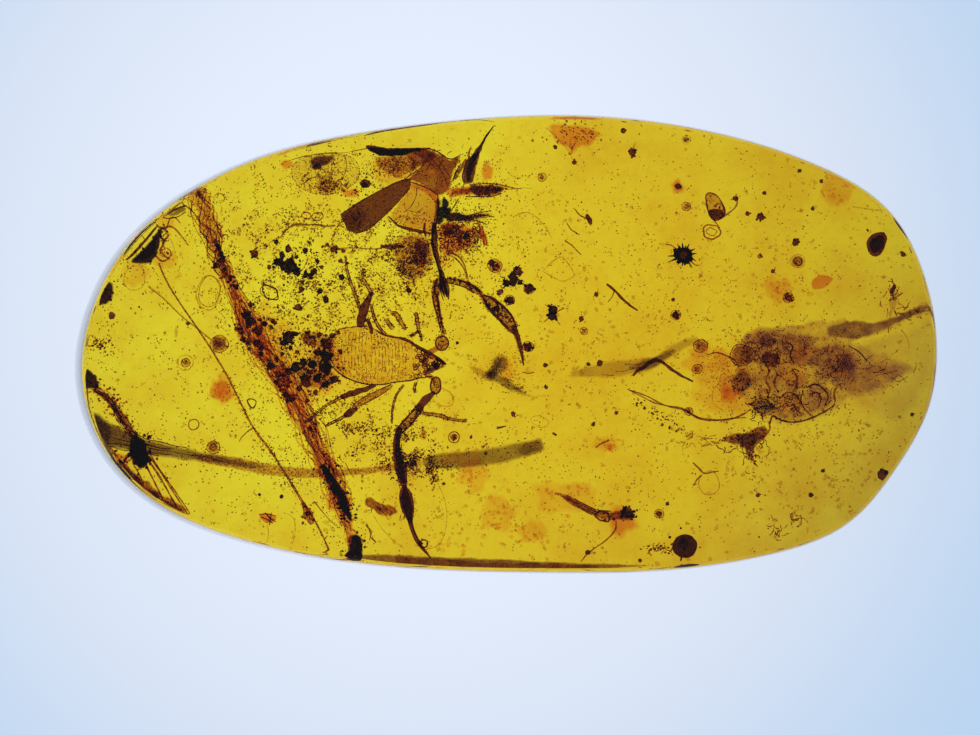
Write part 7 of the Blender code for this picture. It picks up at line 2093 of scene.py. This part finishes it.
THREADS = [  # shade 0 line, 1 faint, 2 dusky, then px, py, width
    (0, [(282, 238, 1.8), (287, 231, 2.2), (296, 226, 2.4), (306, 226.4, 1.8), (316, 226, 2.0),
         (326, 227.6, 1.6), (335, 227, 1.6)]),
    (1, [(265, 248, 1.2), (272, 243, 1.6), (281, 238.6, 1.8)]),
    (0, [(337, 250, 1.4), (350, 249, 1.1), (364, 249.6, 1.2), (378, 250, 1.6), (390, 246, 1.6),
         (402, 247, 1.4)]),
    (2, [(382, 247, 3.0), (390, 249, 4.0), (398, 247.6, 3.4), (404, 248, 2.0)]),
    (0, [(447, 252, 1.4), (458, 257, 1.8), (464, 265, 1.6), (467, 275, 1.3), (468.4, 281, 1.0)]),
    (1, [(451, 250, 1.0), (461, 256, 1.3), (466, 264, 1.0)]),
    (1, [(441, 387, 1.2), (450, 392, 1.8), (453.4, 399, 1.6), (452, 404, 1.4), (447.6, 405.5, 1.6),
         (441, 405, 1.4), (437, 403, 1.0)]),
    (0, [(346, 462, 1.2), (350, 470, 1.0), (354, 476, 0.8)]),
    (0, [(367, 523, 2.2), (371, 530, 1.8), (370, 538, 1.2)]),
    (0, [(372, 536, 1.8), (376, 540, 1.4)]),
    (1, [(268, 523, 1.2), (269, 532, 1.0), (267, 541, 0.8)]),
    (1, [(284.5, 511, 1.0), (291, 513.6, 1.0), (295, 519, 1.0), (295.4, 530, 0.9), (293, 541, 0.8)]),
    (1, [(429, 468, 1.0), (437, 480, 1.2), (444, 496, 1.0), (447, 512, 0.9), (445, 530, 0.9),
         (438, 543, 0.8), (424, 548, 0.8)]),
    (1, [(374, 514, 1.0), (382, 526, 1.0), (393, 538, 0.9), (404, 546, 0.8)]),
    (1, [(516, 217, 1.2), (522, 214.6, 1.2), (529, 214.5, 1.2), (537, 219, 1.2), (546, 229, 1.2),
         (552, 240, 1.0)]),
    (0, [(567, 225, 1.2), (571, 231, 1.4), (576, 234, 1.2), (579, 236, 1.0)]),
    (0, [(565, 242, 1.4), (571, 246, 1.4), (577, 252, 1.2), (581, 256, 1.0)]),
    (1, [(543, 272, 1.0), (552, 263, 1.4), (561, 258, 1.4), (569, 266, 1.4), (575, 276, 1.0)]),
    (1, [(544, 273, 1.0), (553, 278, 1.3), (563, 282, 1.3), (574, 277, 1.0)]),
    (2, [(607, 285, 2.2), (614, 291, 2.8), (622, 299, 2.8), (630, 306, 2.4), (637, 310.5, 1.6)]),
    (0, [(614, 291, 1.4), (612, 297, 1.2), (608, 302, 0.9)]),
    (0, [(575, 211, 1.2), (579, 216, 1.6), (584, 219, 1.8), (589, 221, 2.0)]),
    (2, [(587, 217, 4.0), (589, 221, 5.0), (590.6, 225, 3.0)]),
    (2, [(633, 375, 2.2), (638, 370, 3.2), (643, 367, 4.0), (650, 362, 3.8), (657, 360, 3.6),
         (663, 363, 3.2), (668, 367, 3.0), (680, 375, 2.8), (692, 381, 1.8)]),
    (0, [(629.5, 390, 1.2), (639, 393, 1.5), (649, 397, 1.5), (658, 402, 1.5), (668, 406, 1.6),
         (684, 410, 1.5), (698, 418, 1.5), (713, 420, 1.5), (730, 418, 1.4), (745, 417, 1.1)]),
    (1, [(720, 380, 1.0), (712, 392, 1.1), (714, 404, 1.0), (726, 412, 0.9)]),
    (1, [(852, 208, 1.2), (866, 210, 1.4), (880, 212, 1.2), (887, 213.6, 0.9)]),
    (0, [(692.8, 461.7, 1.4), (698, 466.6, 1.8), (704, 472, 1.6), (711, 471, 1.4), (718, 470, 1.0)]),
    (0, [(701, 474, 1.2), (697, 477.6, 1.5), (693, 484, 1.0)]),
    (1, [(546, 130, 1.0), (556, 139, 1.2), (566, 150, 1.2), (575, 165, 0.9)]),
    (1, [(900, 330, 1.2), (906, 338, 1.2), (908, 348, 1.0)]),
    (0, [(596, 446, 1.2), (602, 442, 1.4), (609, 439, 1.4)]),
    (2, [(498, 427, 2.2), (506, 425, 1.2)]),
    (0, [(523, 372, 1.4), (529, 373, 1.4), (534, 372, 1.0)]),
    (1, [(81, 349, 2.0), (82, 358, 2.4), (83.5, 369, 1.6)]),
]


def threads(look):
    """Fine threads and scratches of plant fibre."""
    piece = Piece("loose_threads", [look["line"], look["faint"], look["dusky"], look["russet"],
                                    look["rust"]], "plant_brown")
    dusky, russet, rust = 2, 3, 4
    fringe(piece, [(248, 400), (252, 398.6), (257, 401), (254.6, 407.6), (251, 406)], 1.6, dusky, 90)
    piece.plate([(259.6, 514), (265, 510.6), (272, 511.6), (278, 514.4), (275, 519.6), (269, 522),
                 (263, 519)], 0.0, 0.04, rust, 2.0, 2.2, 0.0, 1.0, 91)
    for k, route in enumerate([[(260, 513, 1.6), (267, 512, 1.8), (276, 514, 1.6)],
                               [(261, 515, 1.4), (268, 518, 2.0), (273, 521, 1.4)],
                               [(266, 511, 1.4), (270, 516, 1.8), (276, 520, 1.4)],
                               [(272, 511, 1.2), (271, 517, 1.6), (270, 523, 1.2)]]):
        piece.tube(path(route, 0.03), 10, 5, use=russet, rough=0.5, seed=92 + k)
    for k, (shade, route) in enumerate(THREADS):
        piece.tube(path(route, 0.03 * (k % 5 - 2)), 6 * len(route), 6, use=shade, rough=0.45, seed=k)
    piece.plate([(809.6, 283), (814, 277), (822, 274), (830, 275.6), (833, 280), (828, 286), (819, 290),
                 (811, 290.6)], 0.0, 0.04, rust, 2.6, 2.2, 0.0, 1.4, 99)
    piece.plate([(546, 128), (560, 126), (580, 127.6), (600, 132), (599, 142), (588, 150), (578, 152),
                 (573, 160), (567, 152), (556, 146)], 0.0, 0.04, rust, 6.0, 2.4, 0.0, 2.6, 100)
    piece.specks(120, (575, 138, 15, 7), 101, (0.006, 0.018), (-0.1, 0.1), dusky)
    piece.crumbs(46, (576, 137, 14, 6), 102, (1.4, 4.0), 0.0, russet)
    piece.crumbs(12, (757, 495, 2.6, 14), 103, (1.2, 3.0), 0.0, dusky)
    scribble(piece, 16, (777, 526, 5, 5), (4, 9), 1.0, russet, 104, 0.0, None, 0.9)
    scribble(piece, 10, (797, 517.6, 5, 2), (4, 9), 1.0, russet, 105, 0.0, None, 0.9)
    for k, (px, py) in enumerate([(636.5, 403), (644, 408), (652, 413), (657, 418), (662, 424),
                                  (669, 427), (676, 430.5)]):
        piece.blob(px, py, 3.4 + k % 3, 3.2, 20 * k, 0.0, use=dusky, rough=0.4, seed=k, detail=2)
    return piece.done()


CLOUDS = [  # count, px, py and the two deviations in pixels, largest half size in mm
    (2300, 352, 284, 62, 28, 0.022), (1000, 318, 300, 34, 34, 0.022), (900, 404, 452, 15, 13, 0.026),
    (520, 424, 464, 13, 9, 0.026), (700, 342, 424, 20, 15, 0.022), (520, 370, 438, 22, 14, 0.020),
    (560, 402, 258, 26, 13, 0.024), (900, 330, 232, 50, 14, 0.020), (620, 300, 400, 40, 30, 0.020),
    (560, 270, 300, 26, 40, 0.020), (900, 250, 230, 46, 34, 0.018), (520, 420, 300, 44, 26, 0.019),
    (720, 440, 250, 42, 22, 0.021), (900, 330, 180, 60, 24, 0.018), (520, 480, 200, 40, 40, 0.017),
    (720, 200, 330, 60, 60, 0.018), (560, 170, 460, 60, 40, 0.019), (560, 300, 480, 60, 40, 0.017),
    (720, 460, 420, 90, 80, 0.016), (1000, 600, 250, 110, 70, 0.017), (800, 620, 440, 110, 70, 0.017),
    (900, 790, 300, 90, 90, 0.017), (620, 800, 420, 80, 60, 0.018), (1200, 480, 340, 210, 120, 0.014),
]
PALE_CLOUDS = [  # count, px, py and the two deviations in pixels
    (620, 300, 300, 120, 90), (560, 520, 300, 150, 100), (520, 760, 320, 100, 100),
    (300, 820, 480, 60, 40), (260, 480, 520, 120, 26),
]


def specks(look):
    """Clouds of fine dark dust, thickest round the animal, and pale motes all through the amber."""
    made = []
    for k, part in enumerate((CLOUDS[:9], CLOUDS[9:])):
        piece = Piece(f"dust_{k + 1}", [look["speck"], look["brown_speck"]], "black_grain")
        for i, (count, px, py, wide, tall, half) in enumerate(part):
            piece.specks(int(count * 1.1), (px, py, wide, tall), 900 + 20 * k + i, (0.007, half),
                         (-0.45, 0.45), 0, 1.6)
            piece.specks(int(count * 0.4), (px, py, wide, tall), 950 + 20 * k + i, (0.012, half * 1.3),
                         (-0.7, 0.5), 1, 1.6)
        made.append(piece.done())
    piece = Piece("pale_motes", [look["mote"]], "amber")
    for k, (count, px, py, wide, tall) in enumerate(PALE_CLOUDS):
        piece.specks(2 * count, (px, py, wide, tall), 990 + k, (0.015, 0.048), (-0.5, 0.5), 0, 1.6)
        piece.crumbs(count // 9, (px, py, wide, tall), 995 + k, (2.0, 6.0), -0.2, 0, 1)
    made.append(piece.done())
    return made


STAINS = [  # px, py, width, height in pixels, softness, rise, shade: 0 soft orange, 1 rust
    (223, 392, 26, 24, 9, -0.2, 1), (224, 380, 12, 18, 5, -0.12, 0), (221, 388, 18, 20, 6, -0.15, 0),
    (136.5, 275, 26, 24, 8, -0.1, 0),
    (167, 224, 18, 14, 6, -0.1, 0), (167, 260, 20, 18, 6, -0.1, 0), (498, 510, 30, 36, 9, -0.4, 0),
    (531, 530, 30, 20, 8, -0.2, 0), (836, 186, 30, 38, 12, -0.3, 0), (731, 393, 26, 22, 8, 0.0, 1),
    (622, 520, 34, 28, 8, 0.0, 1), (488, 174, 13, 20, 5, 0.0, 1), (677, 188, 16, 16, 6, -0.1, 1),
    (605, 443, 26, 14, 7, -0.2, 0), (462, 457, 40, 15, 6, -0.84, 0), (700, 350, 20, 18, 6, 0.0, 0),
    (288, 166, 14, 10, 4, 0.1, 1),
    (403, 170, 60, 30, 10, 0.0, 0), (310, 370, 60, 60, 20, -0.1, 0), (440, 236, 60, 50, 18, -0.1, 0),
    (270, 340, 40, 60, 14, -0.1, 0), (565, 495, 60, 30, 14, -0.2, 0), (777, 289, 24, 24, 8, -0.1, 0),
    (472, 472, 30, 34, 10, -0.5, 0), (722, 386, 62, 56, 22, -0.15, 0), (706, 360, 40, 24, 10, -0.1, 0),
]
MOTTLED = [  # px, py and the two deviations in pixels
    (498, 510, 11, 12), (531, 530, 11, 6), (470, 472, 9, 12), (836, 186, 9, 12), (606, 443, 9, 4),
    (562, 496, 16, 7), (777, 289, 7, 7), (222, 390, 7, 8), (450, 540, 18, 6), (318, 378, 16, 12),
]
STAIN_STEP = 0.0017  # each stain lies this much above the one before, so that none lie face on face


def stains(look):
    """Orange and brown stains that fade out at their rims, some with mottled middles."""
    piece = Piece("soft_stains", [look["stain"], look["rust"]], "amber")
    for k, (px, py, wide, tall, soft, rise, use) in enumerate(STAINS):
        ring = []
        for i in range(12):
            angle = 2 * math.pi * i / 12
            size = 1.15 + 0.45 * wobble(math.cos(angle), math.sin(angle), k, 1.6, 5)
            ring.append((px + wide / 2 * size * math.cos(angle), py + tall / 2 * size * math.sin(angle)))
        piece.plate(ring, rise + STAIN_STEP * k, 0.05, use, max(soft, 0.42 * min(wide, tall)),
                    max(soft / 2.5, 2.4), 0.0, 2.0, 60 + k)
    for k, spread in enumerate(MOTTLED):
        piece.crumbs(26, spread, 140 + k, (3.0, 8.0), -0.2, 0, 1)
    return piece.done()


def finish():
    stage()
    amber()
    look = finishes()
    animal(look)
    strand(look)
    rootlets(look)
    stems(look)
    cluster(look)
    sac(look)
    left_end(look)
    near_grains(look)
    far_grains(look)
    single_bodies(look)
    debris(look)
    smudge(look)
    bubbles_with_rim_shade(look)
    threads(look)
    specks(look)
    stains(look)


finish()
